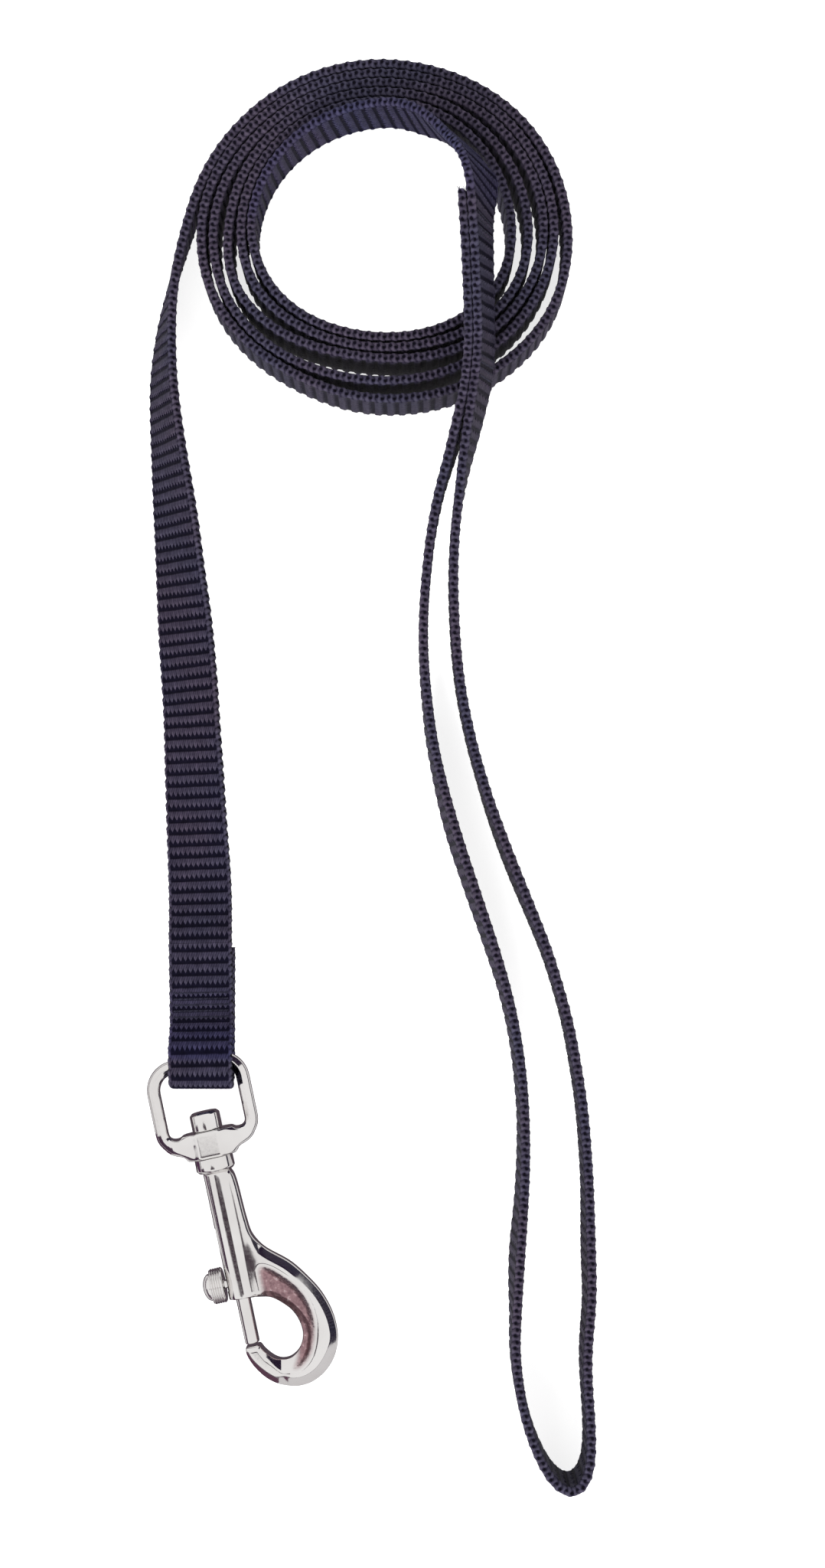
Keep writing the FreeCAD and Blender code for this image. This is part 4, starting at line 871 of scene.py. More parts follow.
    [20.01, 101.21, 0, 20.01, 101.21, 10],
    [19.26, 101.87, 0, 19.26, 101.87, 10],
    [18.48, 102.49, 0, 18.48, 102.49, 10],
    [17.67, 103.09, 0, 17.67, 103.09, 10],
    [16.84, 103.64, 0, 16.84, 103.64, 10],
    [15.99, 104.16, 0, 15.99, 104.16, 10],
    [15.11, 104.65, 0, 15.11, 104.65, 10],
    [14.22, 105.09, 0, 14.22, 105.09, 10],
    [13.3, 105.5, 0, 13.3, 105.5, 10],
    [12.38, 105.87, 0, 12.38, 105.87, 10],
    [11.43, 106.21, 0, 11.43, 106.21, 10],
    [10.48, 106.51, 0, 10.48, 106.51, 10],
    [9.52, 106.77, 0, 9.52, 106.77, 10],
    [8.55, 107.01, 0, 8.55, 107.01, 10],
    [7.57, 107.21, 0, 7.57, 107.21, 10],
    [6.58, 107.38, 0, 6.58, 107.38, 10],
    [5.59, 107.52, 0, 5.59, 107.52, 10],
    [4.6, 107.63, 0, 4.6, 107.63, 10],
    [3.6, 107.7, 0, 3.6, 107.7, 10],
    [2.6, 107.74, 0, 2.6, 107.74, 10],
    [1.6, 107.74, 0, 1.6, 107.74, 10],
    [0.6, 107.7, 0, 0.6, 107.7, 10],
    [-0.39, 107.62, 0, -0.39, 107.62, 10],
    [-1.39, 107.51, 0, -1.39, 107.51, 10],
    [-2.37, 107.36, 0, -2.37, 107.36, 10],
    [-3.36, 107.17, 0, -3.36, 107.17, 10],
    [-4.33, 106.95, 0, -4.33, 106.95, 10],
    [-5.3, 106.68, 0, -5.3, 106.68, 10],
    [-6.25, 106.39, 0, -6.25, 106.39, 10],
    [-7.19, 106.05, 0, -7.19, 106.05, 10],
    [-8.12, 105.68, 0, -8.12, 105.68, 10],
    [-9.04, 105.28, 0, -9.04, 105.28, 10],
    [-9.93, 104.84, 0, -9.93, 104.84, 10],
    [-10.81, 104.37, 0, -10.81, 104.37, 10],
    [-11.67, 103.86, 0, -11.67, 103.86, 10],
    [-12.52, 103.32, 0, -12.52, 103.32, 10],
    [-13.33, 102.74, 0, -13.33, 102.74, 10],
    [-14.13, 102.14, 0, -14.13, 102.14, 10],
    [-14.91, 101.51, 0, -14.91, 101.51, 10],
    [-15.67, 100.86, 0, -15.67, 100.86, 10],
    [-16.4, 100.18, 0, -16.4, 100.18, 10],
    [-17.11, 99.48, 0, -17.11, 99.48, 10],
    [-17.8, 98.75, 0, -17.8, 98.75, 10],
    [-18.45, 98, 0, -18.45, 98, 10],
    [-19.08, 97.22, 0, -19.08, 97.22, 10],
    [-19.69, 96.42, 0, -19.69, 96.42, 10],
    [-20.26, 95.6, 0, -20.26, 95.6, 10],
    [-20.8, 94.76, 0, -20.8, 94.76, 10],
    [-21.31, 93.9, 0, -21.31, 93.9, 10],
    [-21.78, 93.02, 0, -21.78, 93.02, 10],
    [-22.21, 92.12, 0, -22.21, 92.12, 10],
    [-22.61, 91.2, 0, -22.61, 91.2, 10],
    [-22.96, 90.27, 0, -22.96, 90.27, 10],
    [-23.28, 89.32, 0, -23.28, 89.32, 10],
    [-23.54, 88.35, 0, -23.54, 88.35, 10],
    [-23.77, 87.38, 0, -23.77, 87.38, 10],
    [-23.94, 86.4, 0, -23.94, 86.4, 10],
    [-24.07, 85.4, 0, -24.07, 85.4, 10],
    [-24.16, 84.41, 0, -24.16, 84.41, 10],
    [-24.2, 83.41, 0, -24.2, 83.41, 10],
    [-24.19, 82.41, 0, -24.19, 82.41, 10],
    [-24.14, 81.41, 0, -24.14, 81.41, 10],
    [-24.05, 80.42, 0, -24.05, 80.42, 10],
    [-23.91, 79.43, 0, -23.91, 79.43, 10],
    [-23.73, 78.44, 0, -23.73, 78.44, 10],
    [-23.5, 77.47, 0, -23.5, 77.47, 10],
    [-23.22, 76.51, 0, -23.22, 76.51, 10],
    [-22.9, 75.56, 0, -22.9, 75.56, 10],
    [-22.54, 74.63, 0, -22.54, 74.63, 10],
    [-22.12, 73.72, 0, -22.12, 73.72, 10],
    [-21.66, 72.83, 0, -21.66, 72.83, 10],
    [-21.16, 71.97, 0, -21.16, 71.97, 10],
    [-20.61, 71.13, 0, -20.61, 71.13, 10],
    [-20.02, 70.33, 0, -20.02, 70.33, 10],
    [-19.4, 69.55, 0, -19.4, 69.55, 10],
    [-18.73, 68.8, 0, -18.73, 68.8, 10],
    [-18.04, 68.08, 0, -18.04, 68.08, 10],
    [-17.31, 67.4, 0, -17.31, 67.4, 10],
    [-16.55, 66.74, 0, -16.55, 66.74, 10],
    [-15.77, 66.12, 0, -15.77, 66.12, 10],
    [-14.96, 65.53, 0, -14.96, 65.53, 10],
    [-14.13, 64.98, 0, -14.13, 64.98, 10],
    [-13.28, 64.46, 0, -13.28, 64.46, 10],
    [-12.4, 63.97, 0, -12.4, 63.97, 10],
    [-11.52, 63.51, 0, -11.52, 63.51, 10],
    [-10.61, 63.09, 0, -10.61, 63.09, 10],
    [-9.69, 62.69, 0, -9.69, 62.69, 10],
    [-8.76, 62.33, 0, -8.76, 62.33, 10],
    [-7.82, 61.99, 0, -7.82, 61.99, 10],
    [-6.87, 61.69, 0, -6.87, 61.69, 10],
    [-5.91, 61.41, 0, -5.91, 61.41, 10],
    [-4.94, 61.16, 0, -4.94, 61.16, 10],
    [-3.96, 60.93, 0, -3.96, 60.93, 10],
    [-2.98, 60.74, 0, -2.98, 60.74, 10],
    [-2, 60.58, 0, -2, 60.58, 10],
    [-1.01, 60.45, 0, -1.01, 60.45, 10],
    [-0.01, 60.35, 0, -0.01, 60.35, 10],
    [0.99, 60.29, 0, 0.99, 60.29, 10],
    [1.99, 60.25, 0, 1.99, 60.25, 10],
    [2.99, 60.24, 0, 2.99, 60.24, 10],
    [3.98, 60.27, 0, 3.98, 60.27, 10],
    [4.98, 60.33, 0, 4.98, 60.33, 10],
    [5.98, 60.42, 0, 5.98, 60.42, 10],
    [6.97, 60.54, 0, 6.97, 60.54, 10],
    [7.96, 60.69, 0, 7.96, 60.69, 10],
    [8.94, 60.88, 0, 8.94, 60.88, 10],
    [9.91, 61.1, 0, 9.91, 61.1, 10],
    [10.88, 61.36, 0, 10.88, 61.36, 10],
    [11.84, 61.65, 0, 11.84, 61.65, 10],
    [12.78, 61.98, 0, 12.78, 61.98, 10],
    [13.71, 62.34, 0, 13.71, 62.34, 10],
    [14.63, 62.73, 0, 14.63, 62.73, 10],
    [15.54, 63.16, 0, 15.54, 63.16, 10],
    [16.42, 63.62, 0, 16.42, 63.62, 10],
    [17.29, 64.12, 0, 17.29, 64.12, 10],
    [18.14, 64.65, 0, 18.14, 64.65, 10],
    [18.97, 65.21, 0, 18.97, 65.21, 10],
    [19.77, 65.8, 0, 19.77, 65.8, 10],
    [20.55, 66.43, 0, 20.55, 66.43, 10],
    [21.31, 67.08, 0, 21.31, 67.08, 10],
    [22.03, 67.77, 0, 22.03, 67.77, 10],
    [22.73, 68.48, 0, 22.73, 68.48, 10],
    [23.41, 69.22, 0, 23.41, 69.22, 10],
    [24.05, 69.99, 0, 24.05, 69.99, 10],
    [24.66, 70.78, 0, 24.66, 70.78, 10],
    [25.24, 71.59, 0, 25.24, 71.59, 10],
    [25.79, 72.43, 0, 25.79, 72.43, 10],
    [26.3, 73.29, 0, 26.3, 73.29, 10],
    [26.78, 74.17, 0, 26.78, 74.17, 10],
    [27.22, 75.06, 0, 27.22, 75.06, 10],
    [27.63, 75.98, 0, 27.63, 75.98, 10],
    [27.99, 76.91, 0, 27.99, 76.91, 10],
    [28.32, 77.85, 0, 28.32, 77.85, 10],
    [28.6, 78.81, 0, 28.6, 78.81, 10],
    [28.84, 79.78, 0, 28.84, 79.78, 10],
    [29.04, 80.76, 0, 29.04, 80.76, 10],
    [29.18, 81.75, 0, 29.18, 81.75, 10],
    [29.28, 82.74, 0, 29.28, 82.74, 10],
    [29.33, 83.74, 0, 29.33, 83.74, 10],
    [29.33, 84.74, 0, 29.33, 84.74, 10],
    [29.28, 85.74, 0, 29.28, 85.74, 10],
    [29.19, 86.74, 0, 29.19, 86.74, 10],
    [29.05, 87.73, 0, 29.05, 87.73, 10],
    [28.88, 88.71, 0, 28.88, 88.71, 10],
    [28.66, 89.69, 0, 28.66, 89.69, 10],
    [28.4, 90.65, 0, 28.4, 90.65, 10],
    [28.1, 91.61, 0, 28.1, 91.61, 10],
    [27.76, 92.55, 0, 27.76, 92.55, 10],
    [27.39, 93.48, 0, 27.39, 93.48, 10],
    [26.98, 94.39, 0, 26.98, 94.39, 10],
    [26.54, 95.29, 0, 26.54, 95.29, 10],
    [26.07, 96.16, 0, 26.07, 96.16, 10],
    [25.56, 97.02, 0, 25.56, 97.02, 10],
    [25.02, 97.86, 0, 25.02, 97.86, 10],
    [24.44, 98.68, 0, 24.44, 98.68, 10],
    [23.84, 99.48, 0, 23.84, 99.48, 10],
    [23.2, 100.25, 0, 23.2, 100.25, 10],
    [22.54, 101, 0, 22.54, 101, 10],
    [21.84, 101.72, 0, 21.84, 101.72, 10],
    [21.12, 102.4, 0, 21.12, 102.4, 10],
    [20.36, 103.06, 0, 20.36, 103.06, 10],
    [19.58, 103.68, 0, 19.58, 103.68, 10],
    [18.77, 104.27, 0, 18.77, 104.27, 10],
    [17.94, 104.82, 0, 17.94, 104.82, 10],
    [17.08, 105.34, 0, 17.08, 105.34, 10],
    [16.21, 105.82, 0, 16.21, 105.82, 10],
    [15.31, 106.27, 0, 15.31, 106.27, 10],
    [14.4, 106.68, 0, 14.4, 106.68, 10],
    [13.48, 107.06, 0, 13.48, 107.06, 10],
    [12.54, 107.41, 0, 12.54, 107.41, 10],
    [11.59, 107.73, 0, 11.59, 107.73, 10],
    [10.64, 108.02, 0, 10.64, 108.02, 10],
    [9.67, 108.28, 0, 9.67, 108.28, 10],
    [8.7, 108.51, 0, 8.7, 108.51, 10],
    [7.72, 108.71, 0, 7.72, 108.71, 10],
    [6.73, 108.88, 0, 6.73, 108.88, 10],
    [5.74, 109.02, 0, 5.74, 109.02, 10],
    [4.75, 109.13, 0, 4.75, 109.13, 10],
    [3.75, 109.2, 0, 3.75, 109.2, 10],
    [2.75, 109.24, 0, 2.75, 109.24, 10],
    [1.75, 109.24, 0, 1.75, 109.24, 10],
    [0.76, 109.21, 0, 0.76, 109.21, 10],
    [-0.24, 109.15, 0, -0.24, 109.15, 10],
    [-1.24, 109.04, 0, -1.24, 109.04, 10],
    [-2.23, 108.91, 0, -2.23, 108.91, 10],
    [-3.21, 108.73, 0, -3.21, 108.73, 10],
    [-4.19, 108.52, 0, -4.19, 108.52, 10],
    [-5.16, 108.28, 0, -5.16, 108.28, 10],
    [-6.12, 108.01, 0, -6.12, 108.01, 10],
    [-7.07, 107.7, 0, -7.07, 107.7, 10],
    [-8.01, 107.35, 0, -8.01, 107.35, 10],
    [-8.94, 106.98, 0, -8.94, 106.98, 10],
    [-9.85, 106.57, 0, -9.85, 106.57, 10],
    [-10.75, 106.13, 0, -10.75, 106.13, 10],
    [-11.63, 105.66, 0, -11.63, 105.66, 10],
    [-12.5, 105.16, 0, -12.5, 105.16, 10],
    [-13.34, 104.63, 0, -13.34, 104.63, 10],
    [-14.17, 104.07, 0, -14.17, 104.07, 10],
    [-14.98, 103.48, 0, -14.98, 103.48, 10],
    [-15.77, 102.87, 0, -15.77, 102.87, 10],
    [-16.53, 102.23, 0, -16.53, 102.23, 10],
    [-17.28, 101.56, 0, -17.28, 101.56, 10],
    [-18.01, 100.88, 0, -18.01, 100.88, 10],
    [-18.71, 100.17, 0, -18.71, 100.17, 10],
    [-19.39, 99.44, 0, -19.39, 99.44, 10],
    [-20.05, 98.68, 0, -20.05, 98.68, 10],
    [-20.69, 97.91, 0, -20.69, 97.91, 10],
    [-21.29, 97.12, 0, -21.29, 97.12, 10],
    [-21.88, 96.31, 0, -21.88, 96.31, 10],
    [-22.43, 95.47, 0, -22.43, 95.47, 10],
    [-22.95, 94.62, 0, -22.95, 94.62, 10],
    [-23.45, 93.75, 0, -23.45, 93.75, 10],
    [-23.9, 92.86, 0, -23.9, 92.86, 10],
    [-24.32, 91.95, 0, -24.32, 91.95, 10],
    [-24.69, 91.02, 0, -24.69, 91.02, 10],
    [-25.02, 90.08, 0, -25.02, 90.08, 10],
    [-25.31, 89.12, 0, -25.31, 89.12, 10],
    [-25.55, 88.15, 0, -25.55, 88.15, 10],
    [-25.74, 87.17, 0, -25.74, 87.17, 10],
    [-25.9, 86.18, 0, -25.9, 86.18, 10],
    [-26.01, 85.19, 0, -26.01, 85.19, 10],
    [-26.07, 84.19, 0, -26.07, 84.19, 10],
    [-26.1, 83.19, 0, -26.1, 83.19, 10],
    [-26.08, 82.19, 0, -26.08, 82.19, 10],
    [-26.02, 81.2, 0, -26.02, 81.2, 10],
    [-25.92, 80.2, 0, -25.92, 80.2, 10],
    [-25.78, 79.21, 0, -25.78, 79.21, 10],
    [-25.59, 78.23, 0, -25.59, 78.23, 10],
    [-25.36, 77.26, 0, -25.36, 77.26, 10],
    [-25.09, 76.3, 0, -25.09, 76.3, 10],
    [-24.77, 75.35, 0, -24.77, 75.35, 10],
    [-24.41, 74.42, 0, -24.41, 74.42, 10],
    [-24, 73.5, 0, -24, 73.5, 10],
    [-23.55, 72.61, 0, -23.55, 72.61, 10],
    [-23.07, 71.74, 0, -23.07, 71.74, 10],
    [-22.54, 70.89, 0, -22.54, 70.89, 10],
    [-21.98, 70.06, 0, -21.98, 70.06, 10],
    [-21.37, 69.26, 0, -21.37, 69.26, 10],
    [-20.74, 68.49, 0, -20.74, 68.49, 10],
    [-20.08, 67.74, 0, -20.08, 67.74, 10],
    [-19.38, 67.02, 0, -19.38, 67.02, 10],
    [-18.66, 66.33, 0, -18.66, 66.33, 10],
    [-17.91, 65.67, 0, -17.91, 65.67, 10],
    [-17.14, 65.03, 0, -17.14, 65.03, 10],
    [-16.35, 64.42, 0, -16.35, 64.42, 10],
    [-15.54, 63.83, 0, -15.54, 63.83, 10],
    [-14.71, 63.27, 0, -14.71, 63.27, 10],
    [-13.87, 62.74, 0, -13.87, 62.74, 10],
    [-13.01, 62.22, 0, -13.01, 62.22, 10],
    [-12.14, 61.73, 0, -12.14, 61.73, 10],
    [-11.26, 61.26, 0, -11.26, 61.26, 10],
    [-10.37, 60.81, 0, -10.37, 60.81, 10],
    [-9.46, 60.39, 0, -9.46, 60.39, 10],
    [-8.55, 59.98, 0, -8.55, 59.98, 10],
    [-7.62, 59.6, 0, -7.62, 59.6, 10],
    [-6.69, 59.25, 0, -6.69, 59.25, 10],
    [-5.74, 58.92, 0, -5.74, 58.92, 10],
    [-4.79, 58.62, 0, -4.79, 58.62, 10],
    [-3.83, 58.34, 0, -3.83, 58.34, 10],
    [-2.86, 58.1, 0, -2.86, 58.1, 10],
    [-1.88, 57.9, 0, -1.88, 57.9, 10],
    [-0.89, 57.73, 0, -0.89, 57.73, 10],
    [0.1, 57.59, 0, 0.1, 57.59, 10],
    [1.09, 57.49, 0, 1.09, 57.49, 10],
    [2.09, 57.42, 0, 2.09, 57.42, 10],
    [3.09, 57.39, 0, 3.09, 57.39, 10],
    [4.09, 57.39, 0, 4.09, 57.39, 10],
    [5.09, 57.42, 0, 5.09, 57.42, 10],
    [6.08, 57.48, 0, 6.08, 57.48, 10],
    [7.08, 57.58, 0, 7.08, 57.58, 10],
    [8.07, 57.7, 0, 8.07, 57.7, 10],
    [9.06, 57.85, 0, 9.06, 57.85, 10],
    [10.04, 58.04, 0, 10.04, 58.04, 10],
    [11.02, 58.26, 0, 11.02, 58.26, 10],
    [11.98, 58.51, 0, 11.98, 58.51, 10],
    [12.94, 58.79, 0, 12.94, 58.79, 10],
    [13.89, 59.11, 0, 13.89, 59.11, 10],
    [14.83, 59.46, 0, 14.83, 59.46, 10],
    [15.75, 59.85, 0, 15.75, 59.85, 10],
    [16.66, 60.26, 0, 16.66, 60.26, 10],
    [17.55, 60.71, 0, 17.55, 60.71, 10],
    [18.43, 61.19, 0, 18.43, 61.19, 10],
    [19.29, 61.69, 0, 19.29, 61.69, 10],
    [20.14, 62.23, 0, 20.14, 62.23, 10],
    [20.96, 62.79, 0, 20.96, 62.79, 10],
    [21.77, 63.38, 0, 21.77, 63.38, 10],
    [22.56, 63.99, 0, 22.56, 63.99, 10],
    [23.33, 64.64, 0, 23.33, 64.64, 10],
    [24.07, 65.31, 0, 24.07, 65.31, 10],
    [24.79, 66, 0, 24.79, 66, 10],
    [25.48, 66.73, 0, 25.48, 66.73, 10],
    [26.14, 67.48, 0, 26.14, 67.48, 10],
    [26.77, 68.25, 0, 26.77, 68.25, 10],
    [27.36, 69.06, 0, 27.36, 69.06, 10],
    [27.92, 69.88, 0, 27.92, 69.88, 10],
    [28.44, 70.74, 0, 28.44, 70.74, 10],
    [28.92, 71.61, 0, 28.92, 71.61, 10],
    [29.36, 72.51, 0, 29.36, 72.51, 10],
    [29.75, 73.43, 0, 29.75, 73.43, 10],
    [30.11, 74.37, 0, 30.11, 74.37, 10],
    [30.42, 75.32, 0, 30.42, 75.32, 10],
    [30.69, 76.28, 0, 30.69, 76.28, 10],
    [30.92, 77.25, 0, 30.92, 77.25, 10],
    [31.11, 78.23, 0, 31.11, 78.23, 10],
    [31.26, 79.22, 0, 31.26, 79.22, 10],
    [31.38, 80.21, 0, 31.38, 80.21, 10],
    [31.46, 81.21, 0, 31.46, 81.21, 10],
    [31.5, 82.21, 0, 31.5, 82.21, 10],
    [31.5, 83.21, 0, 31.5, 83.21, 10],
    [31.47, 84.21, 0, 31.47, 84.21, 10],
    [31.4, 85.21, 0, 31.4, 85.21, 10],
    [31.3, 86.2, 0, 31.3, 86.2, 10],
    [31.16, 87.19, 0, 31.16, 87.19, 10],
    [30.99, 88.18, 0, 30.99, 88.18, 10],
    [30.78, 89.15, 0, 30.78, 89.15, 10],
    [30.54, 90.12, 0, 30.54, 90.12, 10],
    [30.27, 91.09, 0, 30.27, 91.09, 10],
    [29.96, 92.04, 0, 29.96, 92.04, 10],
    [29.62, 92.98, 0, 29.62, 92.98, 10],
    [29.25, 93.9, 0, 29.25, 93.9, 10],
    [28.84, 94.81, 0, 28.84, 94.81, 10],
    [28.39, 95.71, 0, 28.39, 95.71, 10],
    [27.92, 96.59, 0, 27.92, 96.59, 10],
    [27.41, 97.45, 0, 27.41, 97.45, 10],
    [26.87, 98.29, 0, 26.87, 98.29, 10],
    [26.3, 99.12, 0, 26.3, 99.12, 10],
    [25.7, 99.91, 0, 25.7, 99.91, 10],
    [25.07, 100.69, 0, 25.07, 100.69, 10],
    [24.41, 101.44, 0, 24.41, 101.44, 10],
    [23.72, 102.16, 0, 23.72, 102.16, 10],
    [23, 102.86, 0, 23, 102.86, 10],
    [22.26, 103.53, 0, 22.26, 103.53, 10],
    [21.49, 104.17, 0, 21.49, 104.17, 10],
    [20.7, 104.78, 0, 20.7, 104.78, 10],
    [19.89, 105.36, 0, 19.89, 105.36, 10],
    [19.05, 105.91, 0, 19.05, 105.91, 10],
    [18.2, 106.43, 0, 18.2, 106.43, 10],
    [17.33, 106.93, 0, 17.33, 106.93, 10],
    [16.44, 107.39, 0, 16.44, 107.39, 10],
    [15.54, 107.82, 0, 15.54, 107.82, 10],
    [14.63, 108.22, 0, 14.63, 108.22, 10],
    [13.7, 108.59, 0, 13.7, 108.59, 10],
    [12.76, 108.93, 0, 12.76, 108.93, 10],
    [11.81, 109.24, 0, 11.81, 109.24, 10],
    [10.85, 109.52, 0, 10.85, 109.52, 10],
    [9.88, 109.78, 0, 9.88, 109.78, 10],
    [8.91, 110, 0, 8.91, 110, 10],
    [7.93, 110.2, 0, 7.93, 110.2, 10],
    [6.94, 110.37, 0, 6.94, 110.37, 10],
    [5.95, 110.51, 0, 5.95, 110.51, 10],
    [4.96, 110.62, 0, 4.96, 110.62, 10],
    [3.96, 110.69, 0, 3.96, 110.69, 10],
    [2.96, 110.74, 0, 2.96, 110.74, 10],
    [1.96, 110.75, 0, 1.96, 110.75, 10],
    [0.96, 110.73, 0, 0.96, 110.73, 10],
    [-0.03, 110.67, 0, -0.03, 110.67, 10],
    [-1.03, 110.58, 0, -1.03, 110.58, 10],
    [-2.02, 110.46, 0, -2.02, 110.46, 10],
    [-3.01, 110.3, 0, -3.01, 110.3, 10],
    [-3.99, 110.11, 0, -3.99, 110.11, 10],
    [-4.96, 109.88, 0, -4.96, 109.88, 10],
    [-5.93, 109.63, 0, -5.93, 109.63, 10],
    [-6.89, 109.34, 0, -6.89, 109.34, 10],
    [-7.84, 109.03, 0, -7.83, 109.02, 10],
    [-8.78, 108.68, 0, -8.77, 108.67, 10],
    [-9.71, 108.32, 0, -9.69, 108.29, 10],
    [-10.63, 107.92, 0, -10.6, 107.87, 10],
    [-11.53, 107.5, 0, -11.5, 107.43, 10],
    [-12.43, 107.05, 0, -12.38, 106.96, 10],
    [-13.31, 106.57, 0, -13.24, 106.46, 10],
    [-14.17, 106.07, 0, -14.09, 105.93, 10],
    [-15.02, 105.53, 0, -14.92, 105.38, 10],
    [-15.85, 104.96, 0, -15.73, 104.8, 10],
    [-16.66, 104.37, 0, -16.52, 104.19, 10],
    [-17.45, 103.75, 0, -17.29, 103.56, 10],
    [-18.22, 103.11, 0, -18.04, 102.9, 10],
    [-18.98, 102.45, 0, -18.76, 102.22, 10],
    [-19.71, 101.76, 0, -19.47, 101.52, 10],
    [-20.42, 101.05, 0, -20.16, 100.81, 10],
    [-21.11, 100.33, 0, -20.83, 100.07, 10],
    [-21.78, 99.58, 0, -21.47, 99.31, 10],
    [-22.43, 98.81, 0, -22.09, 98.54, 10],
    [-23.06, 98.01, 0.01, -22.69, 97.74, 9.99],
    [-23.65, 97.2, 0.01, -23.26, 96.93, 9.99],
    [-24.23, 96.38, 0.01, -23.8, 96.1, 9.99],
    [-24.77, 95.53, 0.01, -24.32, 95.25, 9.99],
    [-25.29, 94.66, 0.01, -24.81, 94.39, 9.99],
    [-25.78, 93.78, 0.01, -25.27, 93.51, 9.99],
    [-26.24, 92.89, 0.01, -25.7, 92.62, 9.99],
    [-26.68, 91.98, 0.01, -26.11, 91.72, 9.99],
    [-27.09, 91.05, 0.01, -26.49, 90.81, 9.99],
    [-27.48, 90.12, 0.01, -26.84, 89.88, 9.99],
    [-27.84, 89.18, 0.01, -27.17, 88.95, 9.99],
    [-28.18, 88.23, 0.02, -27.47, 88.01, 9.99],
    [-28.5, 87.27, 0.02, -27.76, 87.05, 9.99],
    [-28.82, 86.32, 0.02, -28.03, 86.1, 9.99],
    [-29.14, 85.36, 0.03, -28.29, 85.14, 9.99],
    [-29.46, 84.41, 0.03, -28.54, 84.17, 9.99],
    [-29.78, 83.46, 0.04, -28.78, 83.2, 9.99],
    [-30.1, 82.51, 0.05, -29.02, 82.23, 9.99],
    [-30.42, 81.56, 0.06, -29.23, 81.26, 9.98],
    [-30.73, 80.61, 0.07, -29.44, 80.28, 9.98],
    [-31.03, 79.65, 0.07, -29.62, 79.3, 9.97],
    [-31.33, 78.69, 0.08, -29.79, 78.32, 9.96],
    [-31.62, 77.72, 0.09, -29.94, 77.33, 9.95],
    [-31.9, 76.75, 0.11, -30.08, 76.35, 9.93],
    [-32.17, 75.78, 0.12, -30.19, 75.36, 9.91],
    [-32.44, 74.8, 0.13, -30.29, 74.37, 9.89],
    [-32.69, 73.82, 0.14, -30.37, 73.38, 9.86],
    [-32.92, 72.83, 0.16, -30.43, 72.39, 9.83],
    [-33.14, 71.84, 0.17, -30.47, 71.4, 9.79],
    [-33.35, 70.84, 0.18, -30.5, 70.41, 9.76],
    [-33.55, 69.84, 0.2, -30.51, 69.42, 9.72],
    [-33.73, 68.84, 0.21, -30.51, 68.43, 9.68],
    [-33.89, 67.84, 0.23, -30.51, 67.44, 9.63],
    [-34.04, 66.83, 0.24, -30.49, 66.46, 9.58],
    [-34.18, 65.82, 0.26, -30.46, 65.47, 9.53],
    [-34.3, 64.8, 0.27, -30.42, 64.5, 9.49],
    [-34.41, 63.77, 0.29, -30.38, 63.52, 9.44],
    [-34.49, 62.74, 0.3, -30.33, 62.56, 9.39],
    [-34.55, 61.7, 0.31, -30.26, 61.59, 9.34],
    [-34.59, 60.67, 0.32, -30.18, 60.63, 9.3],
    [-34.61, 59.64, 0.33, -30.1, 59.66, 9.25],
    [-34.62, 58.62, 0.34, -29.99, 58.69, 9.21],
    [-34.61, 57.6, 0.35, -29.88, 57.71, 9.16],
    [-34.6, 56.59, 0.35, -29.75, 56.73, 9.1],
    [-34.58, 55.58, 0.36, -29.62, 55.75, 9.04],
    [-34.56, 54.57, 0.37, -29.48, 54.76, 8.98],
    [-34.53, 53.56, 0.38, -29.33, 53.78, 8.92],
    [-34.5, 52.56, 0.39, -29.17, 52.79, 8.85],
    [-34.47, 51.55, 0.4, -29.02, 51.81, 8.78],
    [-34.43, 50.56, 0.4, -28.85, 50.82, 8.7],
    [-34.4, 49.56, 0.41, -28.69, 49.83, 8.62],
    [-34.36, 48.56, 0.42, -28.51, 48.83, 8.53],
    [-34.33, 47.57, 0.43, -28.34, 47.84, 8.43],
    [-34.3, 46.57, 0.44, -28.16, 46.85, 8.33],
    [-34.26, 45.57, 0.45, -27.98, 45.87, 8.23],
    [-34.23, 44.57, 0.46, -27.8, 44.88, 8.12],
    [-34.19, 43.57, 0.47, -27.63, 43.9, 8.01],
    [-34.15, 42.57, 0.48, -27.45, 42.91, 7.9],
    [-34.11, 41.57, 0.49, -27.28, 41.93, 7.79],
    [-34.06, 40.57, 0.49, -27.12, 40.94, 7.68],
    [-34.02, 39.57, 0.5, -26.96, 39.95, 7.58],
    [-33.97, 38.58, 0.51, -26.8, 38.96, 7.47],
    [-33.93, 37.59, 0.52, -26.66, 37.96, 7.37],
    [-33.88, 36.6, 0.53, -26.51, 36.96, 7.27],
    [-33.84, 35.61, 0.53, -26.38, 35.96, 7.18],
    [-33.8, 34.62, 0.54, -26.24, 34.96, 7.08],
    [-33.77, 33.63, 0.55, -26.11, 33.96, 6.97],
    [-33.73, 32.65, 0.55, -25.98, 32.96, 6.86],
    [-33.7, 31.66, 0.56, -25.85, 31.96, 6.75],
    [-33.66, 30.67, 0.57, -25.71, 30.96, 6.62],
    [-33.63, 29.67, 0.57, -25.57, 29.97, 6.48],
    [-33.6, 28.67, 0.58, -25.42, 28.98, 6.33],
    [-33.57, 27.67, 0.58, -25.28, 27.99, 6.17],
    [-33.53, 26.67, 0.59, -25.13, 27.01, 6.01],
    [-33.5, 25.67, 0.6, -24.99, 26.03, 5.85],
    [-33.46, 24.66, 0.61, -24.86, 25.04, 5.7],
    [-33.41, 23.66, 0.61, -24.74, 24.06, 5.56],
    [-33.37, 22.65, 0.62, -24.62, 23.08, 5.44],
    [-33.32, 21.64, 0.62, -24.51, 22.1, 5.33],
    [-33.27, 20.62, 0.63, -24.41, 21.13, 5.24],
    [-33.21, 19.61, 0.63, -24.31, 20.15, 5.16],
